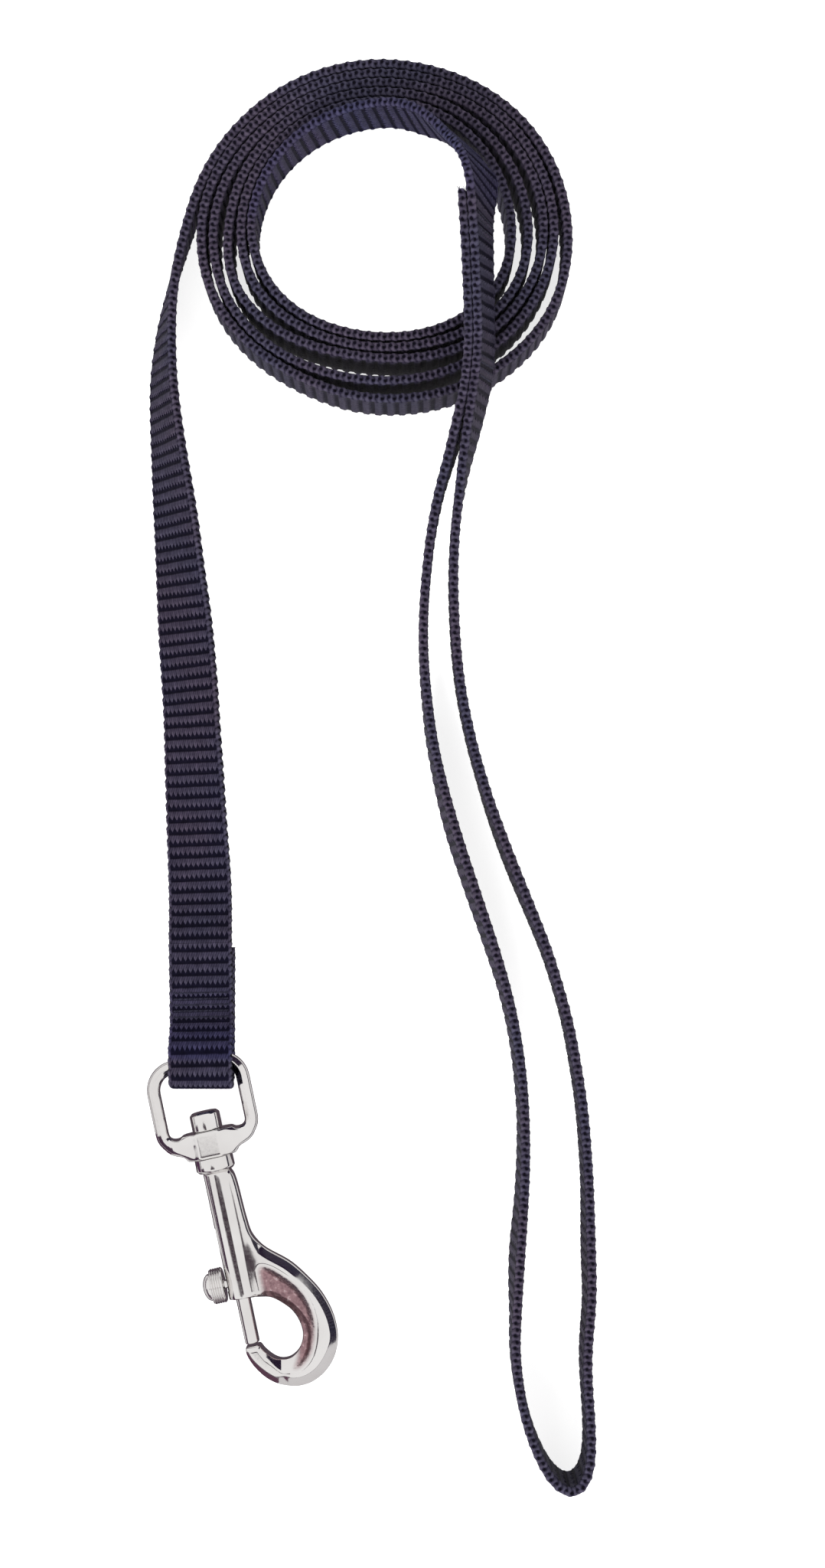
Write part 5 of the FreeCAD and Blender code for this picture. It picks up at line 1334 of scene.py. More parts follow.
    [-33.15, 18.59, 0.64, -24.22, 19.18, 5.09],
    [-33.08, 17.57, 0.64, -24.12, 18.2, 5.04],
    [-33.01, 16.56, 0.64, -24.03, 17.22, 5],
    [-32.93, 15.55, 0.64, -23.94, 16.24, 4.97],
    [-32.86, 14.55, 0.64, -23.86, 15.24, 4.95],
    [-32.78, 13.56, 0.65, -23.77, 14.24, 4.93],
    [-32.71, 12.58, 0.65, -23.69, 13.23, 4.92],
    [-32.64, 11.6, 0.65, -23.62, 12.21, 4.91],
    [-32.58, 10.63, 0.65, -23.55, 11.19, 4.9],
    [-32.52, 9.66, 0.65, -23.48, 10.17, 4.89],
    [-32.47, 8.69, 0.65, -23.41, 9.14, 4.86],
    [-32.42, 7.72, 0.65, -23.35, 8.11, 4.82],
    [-32.38, 6.76, 0.64, -23.28, 7.08, 4.76],
    [-32.35, 5.79, 0.64, -23.21, 6.05, 4.68],
    [-32.33, 4.81, 0.64, -23.14, 5.04, 4.59],
    [-32.3, 3.83, 0.64, -23.07, 4.03, 4.47],
    [-32.28, 2.83, 0.63, -23, 3.03, 4.35],
    [-32.26, 1.83, 0.63, -22.92, 2.03, 4.21],
    [-32.24, 0.82, 0.63, -22.85, 1.05, 4.08],
    [-32.21, -0.19, 0.63, -22.78, 0.07, 3.95],
    [-32.18, -1.2, 0.63, -22.71, -0.91, 3.83],
    [-32.15, -2.21, 0.64, -22.64, -1.9, 3.72],
    [-32.12, -3.2, 0.64, -22.58, -2.9, 3.61],
    [-32.09, -4.2, 0.64, -22.51, -3.9, 3.5],
    [-32.06, -5.19, 0.64, -22.45, -4.9, 3.39],
    [-32.03, -6.18, 0.65, -22.39, -5.9, 3.27],
    [-32, -7.18, 0.65, -22.32, -6.9, 3.14],
    [-31.97, -8.17, 0.65, -22.26, -7.89, 3],
    [-31.95, -9.17, 0.65, -22.19, -8.88, 2.84],
    [-31.91, -10.17, 0.66, -22.12, -9.86, 2.66],
    [-31.88, -11.18, 0.66, -22.05, -10.84, 2.47],
    [-31.85, -12.18, 0.67, -21.98, -11.82, 2.26],
    [-31.81, -13.18, 0.67, -21.91, -12.8, 2.05],
    [-31.77, -14.18, 0.68, -21.85, -13.77, 1.84],
    [-31.73, -15.18, 0.7, -21.79, -14.75, 1.64],
    [-31.69, -16.17, 0.73, -21.73, -15.74, 1.45],
    [-31.65, -17.16, 0.76, -21.67, -16.73, 1.29],
    [-31.61, -18.13, 0.81, -21.63, -17.73, 1.17],
    [-31.58, -19.1, 0.86, -21.58, -18.74, 1.08],
    [-31.54, -20.07, 0.91, -21.55, -19.75, 1.04],
    [-31.51, -21.04, 0.95, -21.52, -20.76, 1.01],
    [-31.49, -22.02, 1.04, -21.49, -21.77, 1.05],
    [-31.47, -22.99, 1.19, -21.47, -22.76, 1.17],
    [-31.44, -23.95, 1.41, -21.45, -23.74, 1.37],
    [-31.42, -24.91, 1.67, -21.43, -24.71, 1.62],
    [-31.4, -25.88, 1.92, -21.4, -25.68, 1.87],
    [-31.38, -26.86, 2.11, -21.38, -26.65, 2.08],
    [-31.36, -27.86, 2.18, -21.36, -27.65, 2.17],
    [-31.34, -28.86, 2.19, -21.34, -28.65, 2.19],
    [-31.32, -29.86, 2.18, -21.32, -29.65, 2.18],
    [-31.3, -30.86, 2.17, -21.3, -30.65, 2.17],
    [-31.28, -31.86, 2.18, -21.28, -31.65, 2.18],
    [-31.25, -32.86, 2.18, -21.26, -32.65, 2.18],
    [-31.23, -33.86, 2.18, -21.24, -33.65, 2.18],
    [-31.21, -34.86, 2.18, -21.21, -34.64, 2.18],
    [-31.19, -35.86, 2.18, -21.19, -35.65, 2.18],
    [-31.17, -36.86, 2.18, -21.17, -36.65, 2.18],
    [-31.15, -37.86, 2.18, -21.15, -37.64, 2.18],
    [-31.13, -38.85, 2.18, -21.13, -38.64, 2.18],
    [-31.11, -39.85, 2.2, -21.11, -39.65, 2.17],
    [-31.09, -40.79, 2.5, -21.09, -40.62, 2.42],
    [-31.07, -41.59, 3.07, -21.07, -41.46, 2.97],
    [-31.05, -42.34, 3.73, -21.06, -42.22, 3.62],
    [-31.04, -43.09, 4.39, -21.04, -42.96, 4.29],
    [-31.02, -43.89, 5, -21.02, -43.74, 4.91],
    [-31, -44.81, 5.42, -21, -44.61, 5.37],
    [-30.98, -45.82, 5.45, -20.98, -45.6, 5.44],
    [-30.96, -46.79, 5.45, -20.96, -46.62, 5.46],
    [-30.95, -47.73, 5.41, -20.95, -47.68, 5.42],
    [-30.95, -48.63, 5.06, -20.95, -48.63, 5.06],
    [-30.95, -49.33, 4.35, -20.95, -49.33, 4.35],
    [-30.95, -49.67, 3.41, -20.95, -49.67, 3.41],
    [-30.95, -49.59, 2.42, -20.95, -49.59, 2.42],
    [-30.95, -49.1, 1.55, -20.95, -49.1, 1.55],
    [-30.95, -48.3, 0.96, -20.95, -48.3, 0.96],
    [-30.95, -47.33, 0.75, -20.95, -47.33, 0.75],
    [-30.95, -46.33, 0.74, -20.95, -46.33, 0.74],
    [-30.95, -45.33, 0.76, -20.95, -45.33, 0.76],
    [-30.95, -44.33, 0.76, -20.95, -44.33, 0.76],
    [-30.95, -43.33, 0.75, -20.95, -43.33, 0.75],
    [-30.95, -42.33, 0.75, -20.95, -42.33, 0.75],
    [-30.95, -41.33, 0.75, -20.95, -41.33, 0.75],
    [-30.95, -40.33, 0.75, -20.95, -40.33, 0.75],
    [-30.95, -39.33, 0.75, -20.95, -39.33, 0.75],
    [-30.95, -38.33, 0.75, -20.95, -38.33, 0.75],
    [-30.95, -37.33, 0.75, -20.95, -37.33, 0.75],
    [-30.95, -36.33, 0.75, -20.95, -36.33, 0.75],
    [-30.95, -35.33, 0.75, -20.95, -35.33, 0.75],
    [-30.95, -34.33, 0.75, -20.95, -34.33, 0.75],
    [-30.95, -33.33, 0.75, -20.95, -33.33, 0.75],
    [-30.95, -32.34, 0.75, -20.95, -32.34, 0.75],
    [-30.95, -31.34, 0.75, -20.95, -31.34, 0.75],
    [-30.95, -30.34, 0.75, -20.95, -30.34, 0.75],
    [-30.95, -29.34, 0.75, -20.95, -29.34, 0.75],
    [-30.95, -28.34, 0.75, -20.95, -28.34, 0.75],
], float)
# the stretch of strap that each CAD node holds: first and last row
STRETCH = {
    "strap_lap_end": (0, 30), "strap_hand_loop": (30, 377), "strap_lap_main": (377, 464),
    "strap_coil": (464, 1200), "strap_lead": (1200, 1329), "strap_snap_fold": (1329, 1376),
}

PITCH = 1.88          # one rib
YARN = 0.77           # one yarn column across a rib
HALF_W = 5.0


def smooth_step(a, b, x):
    t = np.clip((x - a) / (b - a), 0, 1)
    return t * t * (3 - 2 * t)


def hermite(rows, s):
    """Catmull-Rom through rows one unit apart, at parameters s"""
    n = len(rows)
    i = np.clip(np.floor(s).astype(int), 0, n - 2)
    t = (s - i)[:, None]
    p0, p1, p2, p3 = rows[np.maximum(i - 1, 0)], rows[i], rows[i + 1], rows[np.minimum(i + 2, n - 1)]
    m1, m2 = (p2 - p0) / 2, (p3 - p1) / 2
    t2, t3 = t * t, t * t * t
    return (2 * t3 - 3 * t2 + 1) * p1 + (t3 - 2 * t2 + t) * m1 + (-2 * t3 + 3 * t2) * p2 + (t3 - t2) * m2


def mesh_object(name, verts, faces, attrs=None, smooth=True):
    me = bpy.data.meshes.new(name)
    faces = np.asarray(faces)
    n = faces.shape[1]
    me.vertices.add(len(verts))
    me.vertices.foreach_set("co", np.ascontiguousarray(verts, np.float32).ravel())
    me.loops.add(faces.size)
    me.loops.foreach_set("vertex_index", faces.astype(np.int32).ravel())
    me.polygons.add(len(faces))
    me.polygons.foreach_set("loop_start", np.arange(0, faces.size, n, dtype=np.int32))
    me.polygons.foreach_set("loop_total", np.full(len(faces), n, np.int32))
    me.polygons.foreach_set("use_smooth", np.full(len(faces), smooth, bool))
    me.update(calc_edges=True)
    me.validate()
    for k, v in (attrs or {}).items():
        a = me.attributes.new(k, "FLOAT", "POINT")
        a.data.foreach_set("value", np.ascontiguousarray(v, np.float32))
    ob = bpy.data.objects.new(name, me)
    bpy.context.scene.collection.objects.link(ob)
    return ob


# ------------------------------------------------------------------ webbing
def webbing(name, first, last, step, n_face, n_cap, n_low, raw_start=False, raw_end=False):
    """A closed length of ribbed webbing along ROUTE. Faces carry ribs of plied yarn, the selvages
    carry the turned weft: lobes either side with a row of pits between them."""
    m = max(2, int(round((last - first) / step)))
    s = np.linspace(first, last, m + 1)
    pts = hermite(ROUTE, s)
    lo, hi = pts[:, :3], pts[:, 3:]
    mid = (lo + hi) / 2
    w = hi - lo
    w /= np.linalg.norm(w, axis=1)[:, None]
    d = hermite(ROUTE, np.clip(s + 0.25, 0, len(ROUTE) - 1)) - hermite(ROUTE, np.clip(s - 0.25, 0, len(ROUTE) - 1))
    t = d[:, :3] + d[:, 3:]
    t -= w * (t * w).sum(1)[:, None]
    t /= np.linalg.norm(t, axis=1)[:, None]
    nn = np.cross(w, t)
    # ring: across the front face, round one selvage, back along the other face, round the other
    cap = 0.62
    v_face = np.linspace(-(HALF_W - cap), HALF_W - cap, n_face)
    phi = np.linspace(-90, 90, n_cap + 2)[1:-1]
    phi_low = np.linspace(-90, 90, n_low + 2)[1:-1]
    side, v, ang, is_cap = [], [], [], []
    for x in v_face:
        side.append(1); v.append(x); ang.append(0); is_cap.append(0)
    for a in phi[::-1]:
        side.append(0); v.append(HALF_W - cap); ang.append(a); is_cap.append(1)
    for x in v_face[::-1]:
        side.append(-1); v.append(x); ang.append(0); is_cap.append(0)
    for a in phi_low:
        side.append(0); v.append(-(HALF_W - cap)); ang.append(a); is_cap.append(-1)
    side, v, ang, is_cap = map(np.array, (side, v, ang, is_cap))
    k = len(v)
    S = s[:, None] + np.zeros((1, k))
    V = v[None, :] + np.zeros((len(s), 1))
    # the two faces' ribs sit half a pitch apart, as the weave makes them
    face_sign = np.where(side == 0, np.sign(ang), side)[None, :]
    ph = S / PITCH
    col = V / YARN
    # each rib: a straight leading side, a plain band, then teeth of plied yarn pointing along the strap
    f_ = (ph + np.where(face_sign >= 0, 0.0, 0.5)) % 1.0
    gap = np.abs((col + 0.5) % 1.0 - 0.5) * 2                  # 0 on a yarn, 1 between yarns
    tooth_end = 0.46 + 0.36 * (1 - gap ** 1.3)
    ridge = smooth_step(0.0, 0.13, f_) * (1 - smooth_step(tooth_end - 0.10, tooth_end + 0.06, f_))
    ply = (1 - gap ** 2) * (0.35 + 0.65 * smooth_step(0.25, 0.60, f_)) + 0.30 * np.sin(2 * np.pi * (2 * col + f_ * 1.5)) ** 2
    ply = np.clip(ply, 0, 1)
    thick = 0.520 + 0.165 * ridge + 0.060 * ply * ridge
    # selvage: turns of weft lap round the edge, a row of pits runs between the two rows of lobes
    a = np.radians(ang)[None, :]
    sel_ph = S / (PITCH / 2)
    lobe = 0.5 + 0.5 * np.cos(2 * np.pi * ph + np.sign(ang)[None, :] * 0.9)
    pit_off = 0.22 * np.where(np.floor(sel_ph) % 2 == 0, 1, -1)
    pit = np.exp(-(((sel_ph - np.floor(sel_ph) - 0.5) / 0.27) ** 2) - ((a - pit_off) / 0.46) ** 2)
    turn = np.abs(np.sin(np.pi * (sel_ph + 0.25 * np.sign(ang)[None, :] + 0.30 * a))) ** 0.7
    side_w = 1 - np.exp(-(a / 0.40) ** 2)
    r_h = thick[:, :1] * 0 + (0.62 + 0.15 * lobe)
    r_w = 0.58 + 0.13 * lobe - 0.36 * pit + 0.11 * (turn - 0.5) * side_w
    H = np.where(side[None, :] != 0, side[None, :] * thick, r_h * np.sin(a) * (1 + 0.16 * (turn - 0.5) * side_w - 0.10 * pit))
    W = V + np.where(is_cap[None, :] != 0, is_cap[None, :] * r_w * np.cos(a), 0)
    # the raw ends are pinched thin where they were cut and sealed
    for flag, end in ((raw_start, first), (raw_end, last)):
        if flag:
            near = np.exp(-np.abs(S - end) / 0.45)
            H = H * (1 - 0.35 * near)
    P = mid[:, None, :] + w[:, None, :] * W[:, :, None] + nn[:, None, :] * H[:, :, None]
    P[:, :, 2] = np.maximum(P[:, :, 2], 0.0)
    verts = P.reshape(-1, 3)
    i, j = np.meshgrid(np.arange(m), np.arange(k), indexing="ij")
    j2 = (j + 1) % k
    f = np.stack([i * k + j, (i + 1) * k + j, (i + 1) * k + j2, i * k + j2], -1).reshape(-1, 4)
    sgn = np.where(side == 0, 0.0, side)[None, :] + np.zeros((len(s), 1))
    capw = np.where(side == 0, 1.0, 0.0)[None, :] + np.zeros((len(s), 1))
    angf = a + np.zeros((len(s), 1))
    angf = np.where(side[None, :] != 0, np.pi / 2 * side[None, :], angf)
    # end caps as fans of quads, front row to back row
    caps = []
    for row, flip in ((0, False), (m, True)):
        b = row * k
        front = list(range(0, n_face))
        rest = list(range(n_face, k))
        ring = [b + x for x in range(k)]
        # pair front-face points with back-face points
        back = [b + n_face + n_cap + x for x in range(n_face)][::-1]
        for x in range(n_face - 1):
            q = [b + x, b + x + 1, back[x + 1], back[x]]
            caps.append(q if not flip else q[::-1])
        # rounded sides
        right = [b + n_face - 1] + [b + n_face + x for x in range(n_cap)] + [b + n_face + n_cap]
        left = [b + 2 * n_face + n_cap - 1] + [b + 2 * n_face + n_cap + x for x in range(n_low)] + [b]
        for chain in (right, left):
            x, y = 0, len(chain) - 1
            while y - x >= 3:
                q = [chain[x], chain[x + 1], chain[y - 1], chain[y]]
                caps.append(q if not flip else q[::-1])
                x += 1; y -= 1
            if y - x == 2:
                q = [chain[x], chain[x + 1], chain[y]]
                caps.append((q if not flip else q[::-1]) + [-1])
    tris = np.array([c[:3] for c in caps if c[-1] == -1], int).reshape(-1, 3)
    quads = np.array([c for c in caps if c[-1] != -1], int)
    return verts, np.vstack([f[:, ::-1], quads]), tris, {"along": S.ravel(), "across": V.ravel(), "selvage": capw.ravel(), "round": angf.ravel(), "face": sgn.ravel()}


def build_web(name, node, step, n_face, n_cap, n_low, raw_start=False, raw_end=False, rows=None, extra=None):
    first, last = rows or STRETCH[node]
    verts, quads, tris, attrs = webbing(name, first, last, step, n_face, n_cap, n_low, raw_start, raw_end)
    if extra is not None:
        ev, ef = extra
        quads = np.vstack([quads, ef + len(verts)])
        verts = np.vstack([verts, ev])
        for key in attrs:
            fill = {"along": 0.6, "across": 0.0, "selvage": 0.0, "round": 1.57, "face": 1.0}[key]
            attrs[key] = np.concatenate([attrs[key], np.full(len(ev), fill)])
    # one polygon list of quads, with each triangle closed by its own repeat avoided
    me = bpy.data.meshes.new(name)
    me.vertices.add(len(verts))
    me.vertices.foreach_set("co", (verts * MM).astype(np.float32).ravel())
    loops = np.concatenate([quads.ravel(), tris.ravel()]).astype(np.int32)
    me.loops.add(len(loops))
    me.loops.foreach_set("vertex_index", loops)
    starts = np.concatenate([np.arange(len(quads)) * 4, len(quads) * 4 + np.arange(len(tris)) * 3]).astype(np.int32)
    totals = np.concatenate([np.full(len(quads), 4), np.full(len(tris), 3)]).astype(np.int32)
    me.polygons.add(len(starts))
    me.polygons.foreach_set("loop_start", starts)
    me.polygons.foreach_set("loop_total", totals)
    me.polygons.foreach_set("use_smooth", np.ones(len(starts), bool))
    me.update(calc_edges=True)
    me.validate()
    for key, val in attrs.items():
        at = me.attributes.new(key, "FLOAT", "POINT")
        at.data.foreach_set("value", np.ascontiguousarray(val, np.float32))
    ob = bpy.data.objects.new(name, me)
    bpy.context.scene.collection.objects.link(ob)
    return ob


def tube(points, radius, sides=6, taper=None):
    """closed tube of quads along points (mm), its ends drawn to small rings"""
    points = np.asarray(points, float)
    n = len(points)
    t = np.gradient(points, axis=0)
    t /= np.linalg.norm(t, axis=1)[:, None]
    ref = np.array([0.0, 0, 1]) if abs(t[0][2]) < 0.9 else np.array([1.0, 0, 0])
    u = np.cross(t[0], ref); u /= np.linalg.norm(u)
    us = []
    for i in range(n):
        u = u - t[i] * (u @ t[i]); u /= np.linalg.norm(u); us.append(u)
    us = np.array(us); vs = np.cross(t, us)
    r = np.full(n, radius) if taper is None else radius * np.asarray(taper)
    ang = np.linspace(0, 2 * np.pi, sides, endpoint=False)
    ring = points[:, None] + r[:, None, None] * (np.cos(ang)[None, :, None] * us[:, None] + np.sin(ang)[None, :, None] * vs[:, None])
    verts = ring.reshape(-1, 3)
    i, j = np.meshgrid(np.arange(n - 1), np.arange(sides), indexing="ij")
    j2 = (j + 1) % sides
    f = np.stack([i * sides + j, i * sides + j2, (i + 1) * sides + j2, (i + 1) * sides + j], -1).reshape(-1, 4)
    caps = []
    for base, flip in ((0, True), ((n - 1) * sides, False)):
        if sides == 6:
            qs = [[0, 1, 2, 3], [0, 3, 4, 5]]
        elif sides == 8:
            qs = [[0, 1, 2, 3], [0, 3, 4, 7], [4, 5, 6, 7]]
        else:
            qs = [[0, x, x + 1, x + 2] for x in range(1, sides - 2, 2)]
        for q in qs:
            q = [base + x for x in q]
            caps.append(q[::-1] if flip else q)
    return verts, np.vstack([f, np.array(caps)])


def join(parts):
    vs, fs, off = [], [], 0
    for v, f in parts:
        vs.append(v); fs.append(f + off); off += len(v)
    return np.vstack(vs), np.vstack(fs)


# ------------------------------------------------------------------ the snap, in its own frame
# x across, towards the hook; y along, towards the strap; z up. Millimetres.
TURN = math.radians(12.3)
BOSS = np.array([-24.452, -59.042, 3.10])


def to_row(p):
    p = np.asarray(p, float)
    c, s_ = math.cos(TURN), math.sin(TURN)
    return np.stack([p[:, 0] * c - p[:, 1] * s_ + BOSS[0], p[:, 0] * s_ + p[:, 1] * c + BOSS[1], p[:, 2] + BOSS[2]], 1)


def smin(a, b, k):
    h = np.clip(0.5 + 0.5 * (b - a) / k, 0, 1)
    return b * (1 - h) + a * h - k * h * (1 - h)


def smax(a, b, k):
    return -smin(-a, -b, k)


def cyl_y(x, y, z, r, y0, y1, edge=0.2, cx=0.0, cz=0.0):
    """cylinder along y with rounded rims"""
    a = np.hypot(x - cx, z - cz) - r
    b = np.abs(y - (y0 + y1) / 2) - abs(y1 - y0) / 2
    return np.minimum(np.maximum(a + edge, b + edge), 0) + np.hypot(np.maximum(a + edge, 0), np.maximum(b + edge, 0)) - edge


class Outline:
    """signed distance to a closed outline, kept on a fine grid and read back smoothly"""

    def __init__(self, pts, lo, hi, h=0.1, blur=1.6):
        pts = np.asarray(pts, float)
        self.lo, self.h = np.array(lo, float), h
        nx, ny = [int(math.ceil((hi[i] - lo[i]) / h)) + 1 for i in range(2)]
        gx, gy = np.meshgrid(lo[0] + h * np.arange(nx), lo[1] + h * np.arange(ny), indexing="ij")
        d2 = np.full(gx.shape, 1e9)
        wind = np.zeros(gx.shape)
        a, b = pts, np.roll(pts, -1, 0)
        for p, q in zip(a, b):
            e = q - p
            ll = e @ e
            if ll < 1e-12:
                continue
            tt = np.clip(((gx - p[0]) * e[0] + (gy - p[1]) * e[1]) / ll, 0, 1)
            d2 = np.minimum(d2, (gx - p[0] - tt * e[0]) ** 2 + (gy - p[1] - tt * e[1]) ** 2)
            up = (p[1] <= gy) & (q[1] > gy)
            dn = (p[1] > gy) & (q[1] <= gy)
            cr = e[0] * (gy - p[1]) - e[1] * (gx - p[0])
            wind += (up & (cr > 0)).astype(int) - (dn & (cr < 0)).astype(int)
        f = np.sqrt(d2) * np.where(wind != 0, -1, 1)
        if blur:
            r = int(3 * blur) + 1
            ker = np.exp(-0.5 * (np.arange(-r, r + 1) / blur) ** 2)
            ker /= ker.sum()
            for ax in (0, 1):
                pad = [(0, 0), (0, 0)]
                pad[ax] = (r, r)
                g = np.pad(f, pad, mode="edge")
                f = sum(ker[k] * (g[k:k + f.shape[0], :] if ax == 0 else g[:, k:k + f.shape[1]]) for k in range(2 * r + 1))
        self.f = f

    def __call__(self, x, y):
        u = np.clip((x - self.lo[0]) / self.h, 1.001, self.f.shape[0] - 2.002)
        v = np.clip((y - self.lo[1]) / self.h, 1.001, self.f.shape[1] - 2.002)
        i, j = np.floor(u).astype(int), np.floor(v).astype(int)
        a, b = u - i, v - j

        def wt(t):
            return ((-t + 2 * t * t - t ** 3) / 2, (2 - 5 * t * t + 3 * t ** 3) / 2, (t + 4 * t * t - 3 * t ** 3) / 2, (-t * t + t ** 3) / 2)
        wa, wb = wt(a), wt(b)
        out = 0
        for p in range(4):
            for q in range(4):
                out = out + wa[p] * wb[q] * self.f[i + p - 1, j + q - 1]
        return out


def spline2(pts, n):
    """natural-looking curve through points by Catmull-Rom on chord length"""
    pts = np.asarray(pts, float)
    seg = np.sqrt((np.diff(pts, axis=0) ** 2).sum(1)) ** 0.5
    t = np.concatenate([[0], np.cumsum(seg)])
    out = []
    ext = np.vstack([2 * pts[0] - pts[1], pts, 2 * pts[-1] - pts[-2]])
    te = np.concatenate([[-seg[0]], t, [t[-1] + seg[-1]]])
    for k in range(len(pts) - 1):
        P0, P1, P2, P3 = ext[k:k + 4]
        t0, t1, t2, t3 = te[k:k + 4]
        for u in np.linspace(t1, t2, n, endpoint=False):
            A1 = (t1 - u) / (t1 - t0) * P0 + (u - t0) / (t1 - t0) * P1
            A2 = (t2 - u) / (t2 - t1) * P1 + (u - t1) / (t2 - t1) * P2
            A3 = (t3 - u) / (t3 - t2) * P2 + (u - t2) / (t3 - t2) * P3
            B1 = (t2 - u) / (t2 - t0) * A1 + (u - t0) / (t2 - t0) * A2
            B2 = (t3 - u) / (t3 - t1) * A2 + (u - t1) / (t3 - t1) * A3
            out.append((t2 - u) / (t2 - t1) * B1 + (u - t1) / (t2 - t1) * B2)
    out.append(pts[-1])
    return np.array(out)


def surface(name, sdf, lo, hi, h, attrs=None):
    """surface-nets mesh of a distance function, its points then moved onto the true surface"""
    lo, hi = np.array(lo, float), np.array(hi, float)
    n = np.ceil((hi - lo) / h).astype(int) + 1
    ax = [lo[i] + h * np.arange(n[i]) for i in range(3)]
    F = np.empty(n, np.float32)
    for k in range(n[2]):
        X, Y = np.meshgrid(ax[0], ax[1], indexing="ij")
        F[:, :, k] = sdf(X, Y, np.full_like(X, ax[2][k]))
    ins = F < 0
    cell = np.zeros(n - 1, np.int16)
    acc = np.zeros(tuple(n - 1) + (3,), np.float32)
    cnt = np.zeros(n - 1, np.float32)
    sl = lambda a, o: slice(o, o + a)
    for axis in range(3):
        o = [x for x in range(3) if x != axis]
        for da in (0, 1):
            for db in (0, 1):
                s0 = [None] * 3
                s1 = [None] * 3
                s0[axis] = slice(0, n[axis] - 1); s1[axis] = slice(1, n[axis])
                s0[o[0]] = s1[o[0]] = sl(n[o[0]] - 1, da)
                s0[o[1]] = s1[o[1]] = sl(n[o[1]] - 1, db)
                f0, f1 = F[tuple(s0)], F[tuple(s1)]
                cross = (f0 < 0) != (f1 < 0)
                t = np.where(cross, f0 / np.where(cross, f0 - f1, 1), 0)
                acc[..., axis] += np.where(cross, t, 0)
                acc[..., o[0]] += np.where(cross, da, 0)
                acc[..., o[1]] += np.where(cross, db, 0)
                cnt += cross
    act = cnt > 0
    idx = -np.ones(n - 1, np.int64)
    idx[act] = np.arange(act.sum())
    c = np.argwhere(act)
    V = lo + h * (c + acc[act] / cnt[act][:, None])
    quads = []
    for axis in range(3):
        o = [(axis + 1) % 3, (axis + 2) % 3]
        s0 = [slice(1, n[i] - 1) for i in range(3)]
        s1 = [slice(1, n[i] - 1) for i in range(3)]
        s0[axis] = slice(0, n[axis] - 1); s1[axis] = slice(1, n[axis])
        a, b = ins[tuple(s0)], ins[tuple(s1)]
        e = np.argwhere(a != b)
        inside_first = a[tuple(e.T)]
        base = e.copy()
        base[:, o[0]] += 1
        base[:, o[1]] += 1
        def g(d0, d1):
            q = base.copy()
            q[:, o[0]] -= d0
            q[:, o[1]] -= d1
            return idx[tuple(q.T)]
        A, B, C, D = g(1, 1), g(0, 1), g(0, 0), g(1, 0)
        q = np.stack([A, B, C, D], 1)
        q[~inside_first] = q[~inside_first][:, ::-1]
        quads.append(q)
    Q = np.vstack(quads)
    # relax a little in the tangent plane, then land on the surface
    eps = 0.02
    def grad(P):
        f = sdf(P[:, 0], P[:, 1], P[:, 2])
        G = np.stack([sdf(P[:, 0] + (eps if k == 0 else 0), P[:, 1] + (eps if k == 1 else 0), P[:, 2] + (eps if k == 2 else 0)) - f for k in range(3)], 1) / eps
        return f, G
    for it in range(4):
        f, G = grad(V)
        gg = np.maximum((G * G).sum(1), 0.05)
        stepv = -(f / gg)[:, None] * G
        ln = np.linalg.norm(stepv, axis=1)
        stepv *= np.minimum(1, h * 0.6 / np.maximum(ln, 1e-9))[:, None]
        V = V + stepv
        if it < 2:
            S = np.zeros_like(V); N = np.zeros(len(V))
            for k in range(4):
                np.add.at(S, Q[:, k], V[Q[:, (k + 1) % 4]] + V[Q[:, (k + 3) % 4]])
                np.add.at(N, Q[:, k], 2)
            L = S / np.maximum(N, 1)[:, None] - V
            Gn = G / np.sqrt(gg)[:, None]
            V = V + 0.6 * (L - Gn * (L * Gn).sum(1)[:, None])
    at = {k: fn(V) for k, fn in (attrs or {}).items()}
    return mesh_object(name, to_row(V) * MM, Q, at)


